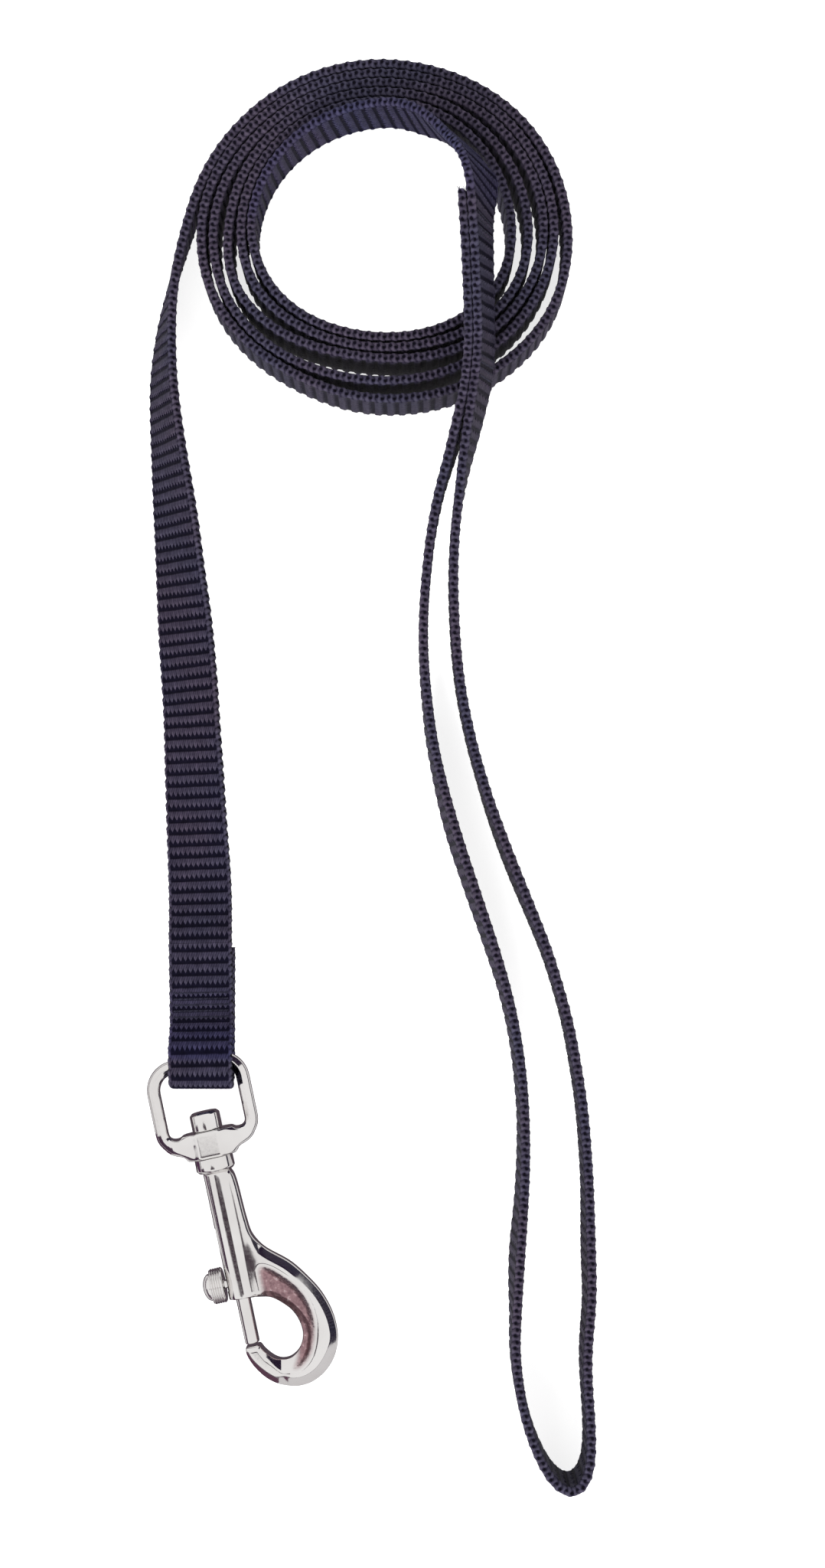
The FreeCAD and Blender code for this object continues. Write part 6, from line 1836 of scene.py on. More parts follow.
def lathe(name, profile, axis, origin=(0, 0, 0), sides=96, attrs=None):
    """profile rows (along, radius), turned about local axis 'x' or 'y'; closed by its own ends at radius 0"""
    prof = np.asarray(profile, float)
    ang = np.linspace(0, 2 * np.pi, sides, endpoint=False)
    inner = prof[1:-1]
    m = len(inner)
    a, r = inner[:, 0], inner[:, 1]
    ca, sa = np.cos(ang), np.sin(ang)
    if axis == "y":
        P = np.stack([r[:, None] * ca, a[:, None] + 0 * ca, -r[:, None] * sa], -1)
        tip = lambda v: [0, v, 0]
    else:
        P = np.stack([a[:, None] + 0 * ca, r[:, None] * ca, r[:, None] * sa], -1)
        tip = lambda v: [v, 0, 0]
    verts = np.vstack([P.reshape(-1, 3), [tip(prof[0][0])], [tip(prof[-1][0])]]) + np.array(origin, float)
    i, j = np.meshgrid(np.arange(m - 1), np.arange(sides), indexing="ij")
    j2 = (j + 1) % sides
    f = np.stack([i * sides + j, (i + 1) * sides + j, (i + 1) * sides + j2, i * sides + j2], -1).reshape(-1, 4)
    t0 = [[len(verts) - 2, x, (x + 1) % sides] for x in range(sides)]
    b = (m - 1) * sides
    t1 = [[len(verts) - 1, b + (x + 1) % sides, b + x] for x in range(sides)]
    tris = np.array(t0 + t1)
    me = bpy.data.meshes.new(name)
    row = to_row(verts) * MM
    me.vertices.add(len(verts))
    me.vertices.foreach_set("co", row.astype(np.float32).ravel())
    loops = np.concatenate([f.ravel(), tris.ravel()]).astype(np.int32)
    me.loops.add(len(loops))
    me.loops.foreach_set("vertex_index", loops)
    starts = np.concatenate([np.arange(len(f)) * 4, len(f) * 4 + np.arange(len(tris)) * 3]).astype(np.int32)
    totals = np.concatenate([np.full(len(f), 4), np.full(len(tris), 3)]).astype(np.int32)
    me.polygons.add(len(starts))
    me.polygons.foreach_set("loop_start", starts)
    me.polygons.foreach_set("loop_total", totals)
    me.polygons.foreach_set("use_smooth", np.ones(len(starts), bool))
    me.update(calc_edges=True)
    me.validate()
    ob = bpy.data.objects.new(name, me)
    bpy.context.scene.collection.objects.link(ob)
    fix_out(ob)
    return ob


def fix_out(ob):
    """turn the mesh inside out if its signed volume is negative"""
    me = ob.data
    me.calc_loop_triangles()
    co = np.zeros(len(me.vertices) * 3); me.vertices.foreach_get("co", co); co = co.reshape(-1, 3)
    tr = np.zeros(len(me.loop_triangles) * 3, np.int32); me.loop_triangles.foreach_get("vertices", tr); tr = tr.reshape(-1, 3)
    a, b, c = co[tr[:, 0]], co[tr[:, 1]], co[tr[:, 2]]
    if (a * np.cross(b, c)).sum() < 0:
        me.flip_normals()


def rounded(rows, r=0.15, n=4):
    """profile rows with each corner rounded"""
    rows = [np.array(p, float) for p in rows]
    out = [rows[0]]
    for p, q, s_ in zip(rows[:-2], rows[1:-1], rows[2:]):
        a, b = p - q, s_ - q
        la, lb = np.linalg.norm(a), np.linalg.norm(b)
        d = min(r, la * 0.45, lb * 0.45)
        A, B = q + a / la * d, q + b / lb * d
        for t in np.linspace(0, 1, n + 1):
            out.append((1 - t) ** 2 * A + 2 * t * (1 - t) * q + t * t * B)
    out.append(rows[-1])
    return out


# hook and web outline (the outside and the opening), as in the solids
OUTER = [(2.15, -4.2), (2.6, -5.2), (3.04, -12.3), (3.4, -14.9), (4.79, -17.1), (8.36, -20.3), (10.4, -23.0), (12.01, -25.7),
         (13.0, -28.6), (13.32, -31.2), (13.0, -33.9), (11.7, -36.5), (9.7, -38.3), (7.4, -39.2), (5.2, -39.2),
         (3.0, -38.4), (1.1, -37.0), (-0.4, -34.9), (-1.15, -32.8), (-1.2, -31.65)]
INNER = [(1.15, -31.65), (1.7, -32.7), (2.85, -34.0), (4.1, -34.6), (5.4, -34.6), (6.7, -33.9), (7.6, -32.7), (8.0, -31.2),
         (7.7, -29.3), (6.9, -27.7), (5.6, -26.2), (4.4, -25.2), (3.2, -24.6), (1.3, -24.2)]
plan = np.vstack([spline2(OUTER, 6), spline2(INNER, 6), [(0.0, -24.1), (0.0, -4.2)]])
BODY2D = Outline(plan, (-3, -41), (15, -2.5))
RECESS = [(2.75, -20.3), (3.6, -19.35), (5.2, -19.75), (7.3, -21.6), (9.3, -24.1), (10.5, -27.0), (10.75, -30.0), (10.1, -33.0),
          (8.6, -35.6), (6.3, -36.9), (5.0, -36.4), (6.0, -34.0), (5.6, -30.0), (3.2, -27.0), (2.75, -24.0)]
rp = spline2(RECESS + RECESS[:1], 5)
REC2D = Outline(rp, (-3, -41), (15, -2.5), blur=2.2)
OPEN2D = Outline(np.vstack([spline2(INNER, 6), [(-1.1, -24.2), (-1.1, -31.65)]]), (-3, -41), (15, -2.5))


def hook_half(x, y):
    """half thickness of the plate over its outline: flush with the barrel at the web, fuller at the hook"""
    t = 1.95 + 0.62 * smooth_step(-14.5, -22.5, y) * smooth_step(1.5, 5.0, x) - 0.060 * np.maximum(x - 2.0, 0)
    inside = -REC2D(x, y)
    lip = np.exp(-((np.maximum(OPEN2D(x, y), 0) / 0.55) ** 2)) * smooth_step(-27.0, -33.0, y) * smooth_step(3.0, 6.0, x)
    cove = 1.05 * smooth_step(0.0, 1.9, inside)
    return t - cove * (1 - 0.55 * lip)


def body_sdf(x, y, z):
    barrel = cyl_y(x, y, z, 2.15, -4.20, -24.10, 0.22)
    a = BODY2D(x, y)
    t = hook_half(x, y)
    b = np.abs(z) - t
    r = 0.42
    plate = np.minimum(np.maximum(a + r, b + r), 0) + np.hypot(np.maximum(a + r, 0), np.maximum(b + r, 0)) - r
    # broad chamfer along the hook's outside shoulder and bow
    w = smooth_step(-14.8, -17.6, y) * smooth_step(2.2, 4.2, x)
    bow = smooth_step(-32.0, -36.5, y)
    cut = (a + b + 0.55 + 0.70 * w + 0.55 * bow) * 0.7071
    cut = np.where(OPEN2D(x, y) > 0.0, cut, cut)
    plate = smax(plate, cut, 0.18)
    d = smin(barrel, plate, 0.55)
    d = smax(d, -cyl_y(x, y, z, 1.50, -2.0, -20.2, 0.05), 0.05)
    d = smax(d, -cyl_y(x, y, z, 1.20, -19.0, -31.60, 0.02), 0.06)
    slot_ = np.maximum(np.maximum(x + 0.2, np.abs(z) - 0.80), np.abs(y + 17.85) - 4.95)
    d = smax(d, -slot_, 0.08)
    return d


def rec_attr(V):
    return np.clip(smooth_step(0.1, 1.3, -REC2D(V[:, 0], V[:, 1])) * (V[:, 2] > 0.2) + smooth_step(0.1, 1.3, -REC2D(V[:, 0], V[:, 1])) * (V[:, 2] < -0.2), 0, 1)


# the eye: a stirrup of ridged bar on a broad foot, with a faceted boss bored for the stem
def eye_path():
    H, T, SR, FR, yb = 7.10, 13.00, 3.60, 2.30, 0.70
    P = []
    def arc(cx, cy, r, a0, a1, n=14):
        for a in np.linspace(math.radians(a0), math.radians(a1), n):
            P.append((cx + r * math.cos(a), cy + r * math.sin(a)))
    arc(H - SR, T - SR, SR, 90, 0)
    arc(H - FR, yb + FR, FR, 0, -90, 8)
    arc(-(H - FR), yb + FR, FR, -90, -180, 8)
    arc(-(H - SR), T - SR, SR, 180, 90)
    return np.array(P)


EYE2D = Outline(eye_path(), (-10.5, -4), (10.5, 17.5), h=0.1, blur=2.0)


def eye_sdf(x, y, z):
    off = EYE2D(x, y)                  # across the bar, outwards
    # bar section: six-sided with a soft ridge along its top and bottom
    a, b = np.abs(off), np.abs(z)
    bar = smax(a - 1.06, a * 0.60 + b * 0.80 - 1.02, 0.45)
    # broad foot either side of the boss
    away = smooth_step(2.6, 6.6, np.abs(x))
    yy = y - 0.20 - 0.42 * away
    foot = smax(smax(np.abs(yy) - 1.72 + 0.72 * away, np.abs(z) - 2.15 + 0.85 * away, 0.9), np.abs(x) - 6.5 + 0.45 * np.maximum(np.abs(z) - 0.7, 0), 1.6)
    # boss: a soft block, with flats all round it
    xs = x * 0.83
    ang = np.arctan2(z, xs)
    rr = np.hypot(xs, z)
    k = np.pi / 4
    am = np.abs((ang + k / 2 + k * 8) % k - k / 2)
    octo = rr * np.cos(am) - 3.22
    boss = smax(octo, np.maximum(y - 2.30, -1.85 - y), 0.45)
    boss = smax(boss, np.abs(z) - 3.06, 0.2)
    d = smin(bar, foot, 1.1)
    d = smin(d, boss, 0.8)
    d = smax(d, -cyl_y(x, y, z, 1.62, -4.0, 5.0, 0.02), 0.06)
    d = smax(d, -cyl_y(x, y, z, 2.72, 2.32, 8.0, 0.02), 0.06)
    return d


# ------------------------------------------------------------------ materials
def new_mat(name):
    m = bpy.data.materials.new(name)
    m.use_nodes = True
    nt = m.node_tree
    return m, nt, nt.nodes["Principled BSDF"]


def node(nt, kind, **kw):
    n = nt.nodes.new(kind)
    for k, v in kw.items():
        if k in n.bl_rna.properties.keys():
            setattr(n, k, v)
        else:
            n.inputs[k.replace("_", " ")].default_value = v
    return n


def ramp(nt, fac, stops):
    r = nt.nodes.new("ShaderNodeValToRGB")
    el = r.color_ramp.elements
    while len(el) > 1:
        el.remove(el[-1])
    el[0].position, el[0].color = stops[0][0], (*stops[0][1], 1)
    for p, c in stops[1:]:
        e = el.new(p)
        e.color = (*c, 1)
    nt.links.new(fac, r.inputs[0])
    return r


def mix_rgb(nt, fac, a, b, mode="MIX"):
    m = nt.nodes.new("ShaderNodeMix")
    m.data_type = "RGBA"
    m.blend_type = mode
    for sock, val in ((m.inputs[0], fac), (m.inputs[6], a), (m.inputs[7], b)):
        if hasattr(val, "links"):
            nt.links.new(val, sock)
        elif isinstance(val, (int, float)):
            sock.default_value = val
        else:
            sock.default_value = (*val, 1)
    return m.outputs[2]


def math_node(nt, op, a, b=None):
    m = nt.nodes.new("ShaderNodeMath")
    m.operation = op
    for sock, val in zip(m.inputs, (a, b)):
        if val is None:
            continue
        if hasattr(val, "links"):
            nt.links.new(val, sock)
        else:
            sock.default_value = val
    return m.outputs[0]


def noise(nt, scale, detail=3.0, rough=0.55, stretch=None):
    tc = nt.nodes.new("ShaderNodeTexCoord")
    src = tc.outputs["Object"]
    if stretch is not None:
        mp = nt.nodes.new("ShaderNodeMapping")
        mp.inputs["Scale"].default_value = stretch
        nt.links.new(src, mp.inputs["Vector"])
        src = mp.outputs[0]
    n = nt.nodes.new("ShaderNodeTexNoise")
    n.inputs["Scale"].default_value = scale
    n.inputs["Detail"].default_value = detail
    n.inputs["Roughness"].default_value = rough
    nt.links.new(src, n.inputs["Vector"])
    return n.outputs["Fac"]


def attribute(nt, name):
    a = nt.nodes.new("ShaderNodeAttribute")
    a.attribute_name = name
    return a.outputs["Fac"]


class Term:
    """arithmetic on shader sockets"""

    def __init__(self, nt, sock):
        self.nt, self.s = nt, sock

    def _op(self, kind, *args):
        m = self.nt.nodes.new("ShaderNodeMath")
        m.operation = kind
        for sock, val in zip(m.inputs, args):
            if isinstance(val, Term):
                self.nt.links.new(val.s, sock)
            else:
                sock.default_value = float(val)
        return Term(self.nt, m.outputs[0])

    def __add__(self, o): return self._op("ADD", self, o)
    def __radd__(self, o): return self._op("ADD", o, self)
    def __sub__(self, o): return self._op("SUBTRACT", self, o)
    def __rsub__(self, o): return self._op("SUBTRACT", o, self)
    def __mul__(self, o): return self._op("MULTIPLY", self, o)
    def __rmul__(self, o): return self._op("MULTIPLY", o, self)
    def __truediv__(self, o): return self._op("DIVIDE", self, o)
    def __pow__(self, o): return self._op("POWER", self, o)
    def fract(self): return self._op("FRACT", self)
    def floor(self): return self._op("FLOOR", self)
    def abs(self): return self._op("ABSOLUTE", self)
    def sin(self): return self._op("SINE", self)
    def exp(self): return self._op("EXPONENT", self)
    def sign(self): return self._op("SIGN", self)
    def less(self, o): return self._op("LESS_THAN", self, o)

    def step(self, a, b):
        """0 below a, 1 above b, smooth between"""
        d = (self - a) / (b - a)
        d = d._op("MINIMUM", d._op("MAXIMUM", d, 0.0), 1.0)
        return d * d * (3.0 - 2.0 * d)


def webbing_material():
    m, nt, bs = new_mat("nylon_webbing")
    along, across, sel, rnd, face, blue_sheen_and_tint = [Term(nt, attribute(nt, k)) for k in ("along", "across", "selvage", "round", "face", "blue_sheen_and_tint")]
    wob = Term(nt, noise(nt, 420.0, 2.0, 0.5)) - 0.5
    # faces: ribs of plied yarn, each a plain band that breaks into teeth
    f = (along / PITCH + 0.5 * face.less(-0.5) + wob * 0.10).fract()
    col = across / YARN + wob * 0.18
    gap = ((col + 0.5).fract() - 0.5).abs() * 2.0
    tooth = 0.50 + 0.36 * (1.0 - gap ** 1.3)
    ridge = f.step(0.0, 0.14) * (1.0 - (f - tooth).step(-0.11, 0.06))
    ply = (1.0 - gap * gap) * (0.35 + 0.65 * f.step(0.25, 0.60))
    twist = ((2.0 * col + f * 1.6) * math.pi).sin().abs()
    weave = (1.0 - (1.0 - twist) * 0.42) * (0.58 + 0.42 * ply) * ridge
    # selvage: two rows of lobes with a row of pits between them
    sp = along * (2.0 / PITCH) + wob * 0.12
    off = ((sp * 0.5).floor() * 2.0 - sp.floor() + 0.5) * -0.44
    e1, e2 = (sp.fract() - 0.5) / 0.30, (rnd - off) / 0.40
    pit = (-1.0 * (e1 * e1 + e2 * e2)).exp()
    turn = ((sp + 0.25 * rnd.sign() + 0.30 * rnd) * math.pi).sin().abs() ** 0.55
    edge = (0.36 + 0.64 * turn) * (1.0 - 0.35 * rnd.abs().step(0.9, 1.5))
    light = weave * (1.0 - sel) + edge * sel * (1.0 - pit)
    pit = (pit * sel).step(0.26, 0.78)
    # painted shade: the ramp takes the valleys between ribs, the gaps between yarns and plies and the selvage's gaps
    # down to near black; the yarn tops carry the strap's own charcoal with a violet cast
    base = ramp(nt, light.s, [(0.0, (0.0030, 0.0023, 0.0075)), (0.30, (0.0085, 0.0065, 0.0150)), (0.70, (0.0330, 0.0275, 0.0440)), (1.0, (0.0530, 0.0450, 0.0660))])
    mott = noise(nt, 900.0, 4.0, 0.65)
    mott_r = ramp(nt, mott, [(0.30, (0.60, 0.58, 0.64)), (0.55, (1.0, 1.0, 1.0)), (0.75, (1.38, 1.32, 1.36))])
    col_ = mix_rgb(nt, 1.0, base.outputs[0], mott_r.outputs[0], "MULTIPLY")
    patch = noise(nt, 70.0, 2.0, 0.5)
    patch_r = ramp(nt, patch, [(0.35, (0.84, 0.94, 1.02)), (0.62, (1.03, 0.99, 1.0))])
    col_ = mix_rgb(nt, 1.0, col_, patch_r.outputs[0], "MULTIPLY")
    # painted shade: the selvage pits are filled near black
    col_ = mix_rgb(nt, pit.s, col_, (0.0024, 0.0019, 0.0044))
    # painted blue sheen: shifts the strap towards blue over the fold at the eye's bar and at the top of the lap by the
    # hand loop, with a weaker blue tint along the tack at the snap
    blue_sheen_color = mix_rgb(nt, 1.0, col_, (0.66, 0.80, 1.55), "MULTIPLY")
    col_ = mix_rgb(nt, blue_sheen_and_tint.s, col_, blue_sheen_color)
    nt.links.new(col_, bs.inputs["Base Color"])
    fib = noise(nt, 2600.0, 3.0, 0.6)
    rr = ramp(nt, fib, [(0.2, (0.55, 0.55, 0.55)), (0.8, (0.76, 0.76, 0.76))])
    nt.links.new(rr.outputs[0], bs.inputs["Roughness"])
    bs.inputs["Specular IOR Level"].default_value = 0.07
    bs.inputs["Sheen Weight"].default_value = 0.025
    bs.inputs["Sheen Roughness"].default_value = 0.40
    bs.inputs["Sheen Tint"].default_value = (0.62, 0.60, 0.80, 1)
    b0 = nt.nodes.new("ShaderNodeBump")
    b0.inputs["Strength"].default_value = 0.75
    b0.inputs["Distance"].default_value = 0.00022
    nt.links.new(light.s, b0.inputs["Height"])
    b1 = nt.nodes.new("ShaderNodeBump")
    b1.inputs["Strength"].default_value = 0.50
    b1.inputs["Distance"].default_value = 0.00010
    nt.links.new(fib, b1.inputs["Height"])
    nt.links.new(b0.outputs[0], b1.inputs["Normal"])
    b2 = nt.nodes.new("ShaderNodeBump")
    b2.inputs["Strength"].default_value = 0.45
    b2.inputs["Distance"].default_value = 0.00015
    nt.links.new(mott, b2.inputs["Height"])
    nt.links.new(b1.outputs[0], b2.inputs["Normal"])
    nt.links.new(b2.outputs[0], bs.inputs["Normal"])
    return m


def thread_material():
    m, nt, bs = new_mat("navy_thread")
    n1 = noise(nt, 1800.0, 3.0, 0.6)
    c = ramp(nt, n1, [(0.3, (0.007, 0.006, 0.014)), (0.7, (0.024, 0.023, 0.042))])
    nt.links.new(c.outputs[0], bs.inputs["Base Color"])
    bs.inputs["Roughness"].default_value = 0.62
    bs.inputs["Specular IOR Level"].default_value = 0.12
    bs.inputs["Sheen Weight"].default_value = 0.04
    b = nt.nodes.new("ShaderNodeBump")
    b.inputs["Strength"].default_value = 0.6
    b.inputs["Distance"].default_value = 0.00008
    nt.links.new(noise(nt, 3000.0, 2.0, 0.5, (1.0, 1.0, 1.0)), b.inputs["Height"])
    nt.links.new(b.outputs[0], bs.inputs["Normal"])
    return m


def nickel_material(name="polished_nickel", recess=False):
    m, nt, bs = new_mat(name)
    bs.inputs["Metallic"].default_value = 1.0
    wide = noise(nt, 160.0, 2.0, 0.5)
    fine = noise(nt, 2400.0, 3.0, 0.6)
    c = ramp(nt, wide, [(0.35, (0.815, 0.795, 0.785)), (0.62, (0.88, 0.865, 0.858))])
    col = c.outputs[0]
    r = ramp(nt, fine, [(0.30, (0.075, 0.075, 0.075)), (0.70, (0.125, 0.125, 0.125))])
    rough = r.outputs[0]
    b = nt.nodes.new("ShaderNodeBump")
    b.inputs["Strength"].default_value = 0.035
    b.inputs["Distance"].default_value = 0.00018
    nt.links.new(noise(nt, 420.0, 2.0, 0.5), b.inputs["Height"])
    last = b
    if recess:
        ra = attribute(nt, "recess")
        speck = noise(nt, 1500.0, 2.0, 0.6)
        tint = ramp(nt, speck, [(0.30, (0.215, 0.105, 0.125)), (0.60, (0.40, 0.225, 0.245)), (0.78, (0.80, 0.68, 0.70))])
        col = mix_rgb(nt, math_node(nt, "MULTIPLY", ra, 0.92), col, tint.outputs[0])
        rough = mix_rgb(nt, ra, rough, (0.30, 0.30, 0.30))
        b2 = nt.nodes.new("ShaderNodeBump")
        b2.inputs["Strength"].default_value = 0.45
        b2.inputs["Distance"].default_value = 0.00022
        nt.links.new(math_node(nt, "MULTIPLY", speck, ra), b2.inputs["Height"])
        nt.links.new(b.outputs[0], b2.inputs["Normal"])
        last = b2
    nt.links.new(col, bs.inputs["Base Color"])
    nt.links.new(rough, bs.inputs["Roughness"])
    nt.links.new(last.outputs[0], bs.inputs["Normal"])
    return m


def steel_material():
    m, nt, bs = new_mat("spring_steel")
    bs.inputs["Metallic"].default_value = 1.0
    c = ramp(nt, noise(nt, 1500.0, 2.0, 0.5), [(0.3, (0.42, 0.42, 0.43)), (0.7, (0.60, 0.60, 0.61))])
    nt.links.new(c.outputs[0], bs.inputs["Base Color"])
    bs.inputs["Roughness"].default_value = 0.32
    return m


# ------------------------------------------------------------------ strap pieces
web_mat, thread_mat = webbing_material(), thread_material()
nickel, nickel_body, steel = nickel_material(), nickel_material("polished_nickel_cast", True), steel_material()


def fray(corner_row, which):
    """short sealed filaments standing off the corner of a raw end"""
    rng = np.random.default_rng(7)
    r = ROUTE[corner_row]
    lo, hi = r[:3], r[3:]
    w = (hi - lo) / np.linalg.norm(hi - lo)
    t = (ROUTE[min(corner_row + 1, len(ROUTE) - 1)] - ROUTE[max(corner_row - 1, 0)])
    t = (t[:3] + t[3:]); t /= np.linalg.norm(t)
    if corner_row == 0:
        t = -t
    n = np.cross(w, t)
    parts = []
    for i in range(16):
        v = (4.75 if which == "hi" else -4.75) - abs(rng.normal(0, 1.1)) * (1 if which == "hi" else -1)
        base = (lo + hi) / 2 + w * v + n * rng.uniform(-0.4, 0.4) - t * 0.25
        ln = rng.uniform(0.35, 0.95)
        dirn = t + w * rng.normal(0.25, 0.35) + n * rng.normal(0, 0.45)
        dirn /= np.linalg.norm(dirn)
        bend = rng.normal(0, 0.18, 3)
        k = np.linspace(0, 1, 5)[:, None]
        parts.append(tube(base + dirn * ln * k + bend * ln * k * k, 0.075, 6, np.linspace(1, 0.35, 5)))
    return join(parts)


SPEC = [
    ("web_lap_end", "strap_lap_end", 0.160, 40, 9, 9, True, False, fray(0, "hi"), ["web_coil"]),
    ("web_hand_loop", "strap_hand_loop", 0.165, 16, 9, 4, False, False, None, ["floor", "web_coil"]),
    ("web_lap_main", "strap_lap_main", 0.160, 40, 9, 7, False, False, None, ["web_coil"]),
    ("web_coil", "strap_coil", 0.160, 5, 9, 2, False, False, None, ["floor"]),
    ("web_lead", "strap_lead", 0.165, 48, 9, 9, False, False, None, ["floor"]),
    ("web_snap_fold", "strap_snap_fold", 0.150, 66, 9, 9, False, True, None, ["floor"]),
]
for name, nd, step, nf, nc, nl, rs, re_, extra, below in SPEC:
    ob = build_web(name, nd, step, nf, nc, nl, rs, re_, extra=extra)
    me = ob.data
    co = np.zeros(len(me.vertices) * 3); me.vertices.foreach_get("co", co); co = co.reshape(-1, 3) / MM
    # painted blue sheen over the fold at the eye's bar and at the top of the lap by the hand loop; a weaker blue tint
    # along the tack at the snap
    blue_sheen_and_tint = np.zeros(len(co))
    if nd in ("strap_snap_fold", "strap_lead"):
        blue_sheen_and_tint = 0.50 * smooth_step(-46.2, -45.0, co[:, 1]) * (1 - smooth_step(-42.0, -39.5, co[:, 1])) + 0.15 * smooth_step(-42.0, -39.5, co[:, 1]) * (1 - smooth_step(-36.0, -34.0, co[:, 1]))
    elif nd in ("strap_lap_main", "strap_lap_end"):
        blue_sheen_and_tint = 0.30 * smooth_step(84.0, 88.0, co[:, 1])
    at = me.attributes.new("blue_sheen_and_tint", "FLOAT", "POINT")
    at.data.foreach_set("value", blue_sheen_and_tint.astype(np.float32))
    me.materials.append(web_mat)
    fix_out(ob)
    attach(ob, "leash")
    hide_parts(nd)


# ------------------------------------------------------------------ stitching
def route_at(s):
    r = hermite(ROUTE, np.atleast_1d(float(s)))[0]
    q = hermite(ROUTE, np.atleast_1d(float(s) + 0.3))[0] - hermite(ROUTE, np.atleast_1d(float(s) - 0.3))[0]
    w = r[3:] - r[:3]; w /= np.linalg.norm(w)
    t = q[:3] + q[3:]; t -= w * (t @ w); t /= np.linalg.norm(t)
    return (r[:3] + r[3:]) / 2, w, t, np.cross(w, t)


def stitch_row(c, w, up, half, count, r=0.17, lift=0.10, skew=0.0, t=None):
    """a row of short two-ply stitches along w, each sinking into the strap at its ends"""
    parts = []
    pitch = 2 * half / count
    for i in range(count):
        x0, x1 = -half + pitch * (i + 0.04), -half + pitch * (i + 0.96)
        k = np.linspace(0, 1, 9)
        line = c + np.outer(x0 + (x1 - x0) * k, w) + np.outer(lift * (np.sin(np.pi * k) ** 0.6) - 0.16, up)
        if t is not None:
            line = line + np.outer(skew * (k - 0.5), t)
        side = np.cross(w, up)
        for s_ in (-1, 1):
            tw = 2 * np.pi * (k * 1.2)
            off = np.outer(np.cos(tw) * 0.5 * r * s_, side) + np.outer(np.sin(tw) * 0.5 * r * s_, up)
            parts.append(tube(line + off, r * 0.62, 6))
    return parts


def thread_object(name, nodes, parts):
    v, f = join(parts)
    ob = mesh_object(name, v * MM, f)
    fix_out(ob)
    ob.data.materials.append(thread_mat)
    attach(ob, "leash")
    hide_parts(*nodes)
    return ob


parts = []
fold0 = STRETCH["strap_snap_fold"][0]
for i in range(5):
    y = -39.2 + 0.94 * i
    c, w, t, n = route_at(fold0 + (-27.75 - y))
    up = n if n[2] > 0 else -n
    parts += stitch_row(c + up * (0.60 if i % 2 else 0.70), w, up, 4.35, 11, lift=0.16)
thread_object("tack_at_snap", ["snap_stitching"], parts)

lap_a = STRETCH["strap_lap_end"]
lap_b = STRETCH["strap_lap_main"]


def nearest_on_main(p):
    s = np.arange(lap_b[0], lap_b[1] + 1)
    mids = (ROUTE[s][:, :3] + ROUTE[s][:, 3:]) / 2
    return s[np.argmin(((mids - p) ** 2).sum(1))]


for name, nd, s0 in (("tack_lap_upper", "lap_stitching_upper", 3.0), ("tack_lap_lower", "lap_stitching_lower", 24.0)):
    parts = []
    for i in range(4):
        c, w, t, n = route_at(lap_a[0] + s0 + 0.94 * i)
        sm = nearest_on_main(c)
        c2, w2, t2, n2 = route_at(sm)
        out = n if (c2 - c) @ n < 0 else -n
        parts += stitch_row(c + out * 0.72, w, out, 4.2, 10)
        out2 = n2 if (c - c2) @ n2 < 0 else -n2
        parts += stitch_row(c2 + out2 * 0.72, w2, out2, 4.2, 10)
    thread_object(name, [nd], parts)

# ------------------------------------------------------------------ metal pieces
h = 0.15


def metal(ob, body, nodes, mat):
    fix_out(ob)
    ob.data.materials.append(mat)
    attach(ob, body)
    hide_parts(*nodes)
    return ob


metal(surface("snap_hook_body", body_sdf, (-2.9, -40.2, -3.1), (14.2, -3.6, 3.1), h, {"recess": rec_attr}), "snap", ["snap_body"], nickel_body)
metal(surface("eye_stirrup", eye_sdf, (-8.9, -2.9, -3.9), (8.9, 15.6, 3.9), h), "eye", ["swivel_eye"], nickel)

stem = rounded([(5.30, 0), (5.30, 1.90), (4.86, 2.37), (2.36, 2.37), (2.36, 1.55), (-1.90, 1.55), (-1.90, 3.02), (-3.72, 3.05), (-4.18, 2.62), (-4.18, 1.45), (-6.98, 1.45), (-6.98, 0)], 0.16)
metal(lathe("swivel_stem_riveted", stem, "y"), "snap", ["swivel_stem"], nickel)
bolt_p = rounded([(-31.33, 0), (-31.33, 1.02), (-31.15, 1.15), (-20.12, 1.15), (-20.12, 1.42), (-17.92, 1.42), (-17.92, 0)], 0.10)
metal(lathe("gate_bolt", bolt_p, "y", sides=72), "bolt", ["bolt"], nickel)
rim = []
for i in range(5):
    rim += [(-2.62 - 0.36 * i, 2.74), (-2.80 - 0.36 * i, 2.74), (-2.87 - 0.36 * i, 2.58), (-2.92 - 0.36 * i, 2.58)]
dome = [(-4.55 - 1.24 * math.sin(t_), 2.12 * math.cos(t_)) for t_ in np.linspace(0.0, math.pi / 2 - 0.02, 12)]
knob_p = rounded([(-1.16, 0), (-1.16, 0.68), (-2.42, 0.68), (-2.42, 2.55)] + rim + [(-4.46, 2.62), (-4.50, 2.12)] + dome + [(-5.79, 0)], 0.09, 3)
metal(lathe("thumb_knob_turned", knob_p, "x", origin=(0, -21.6, 0)), "bolt", ["thumb_knob"], nickel)

turns, per = 7, 22
k = np.linspace(0, 1, turns * per + 1)
helix = np.stack([1.15 * np.cos(2 * np.pi * turns * k), -17.70 + 10.50 * k, 1.15 * np.sin(2 * np.pi * turns * k)], 1)
hv, hf = tube(helix, 0.145, 8)
spring = mesh_object("return_spring", to_row(hv) * MM, hf)
metal(spring, "snap", ["bolt_spring"], steel)
a0 = to_row([[0, -7.05, 0]])[0] * MM
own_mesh(spring)

# ------------------------------------------------------------------ floor, light, camera
def plane(name, pts, mat, **vis):
    me = bpy.data.meshes.new(name)
    me.from_pydata(pts, [], [tuple(range(len(pts)))])
    ob = bpy.data.objects.new(name, me)
    bpy.context.scene.collection.objects.link(ob)
    me.materials.append(mat)
    for key, val in vis.items():
        setattr(ob, key, val)
    return ob


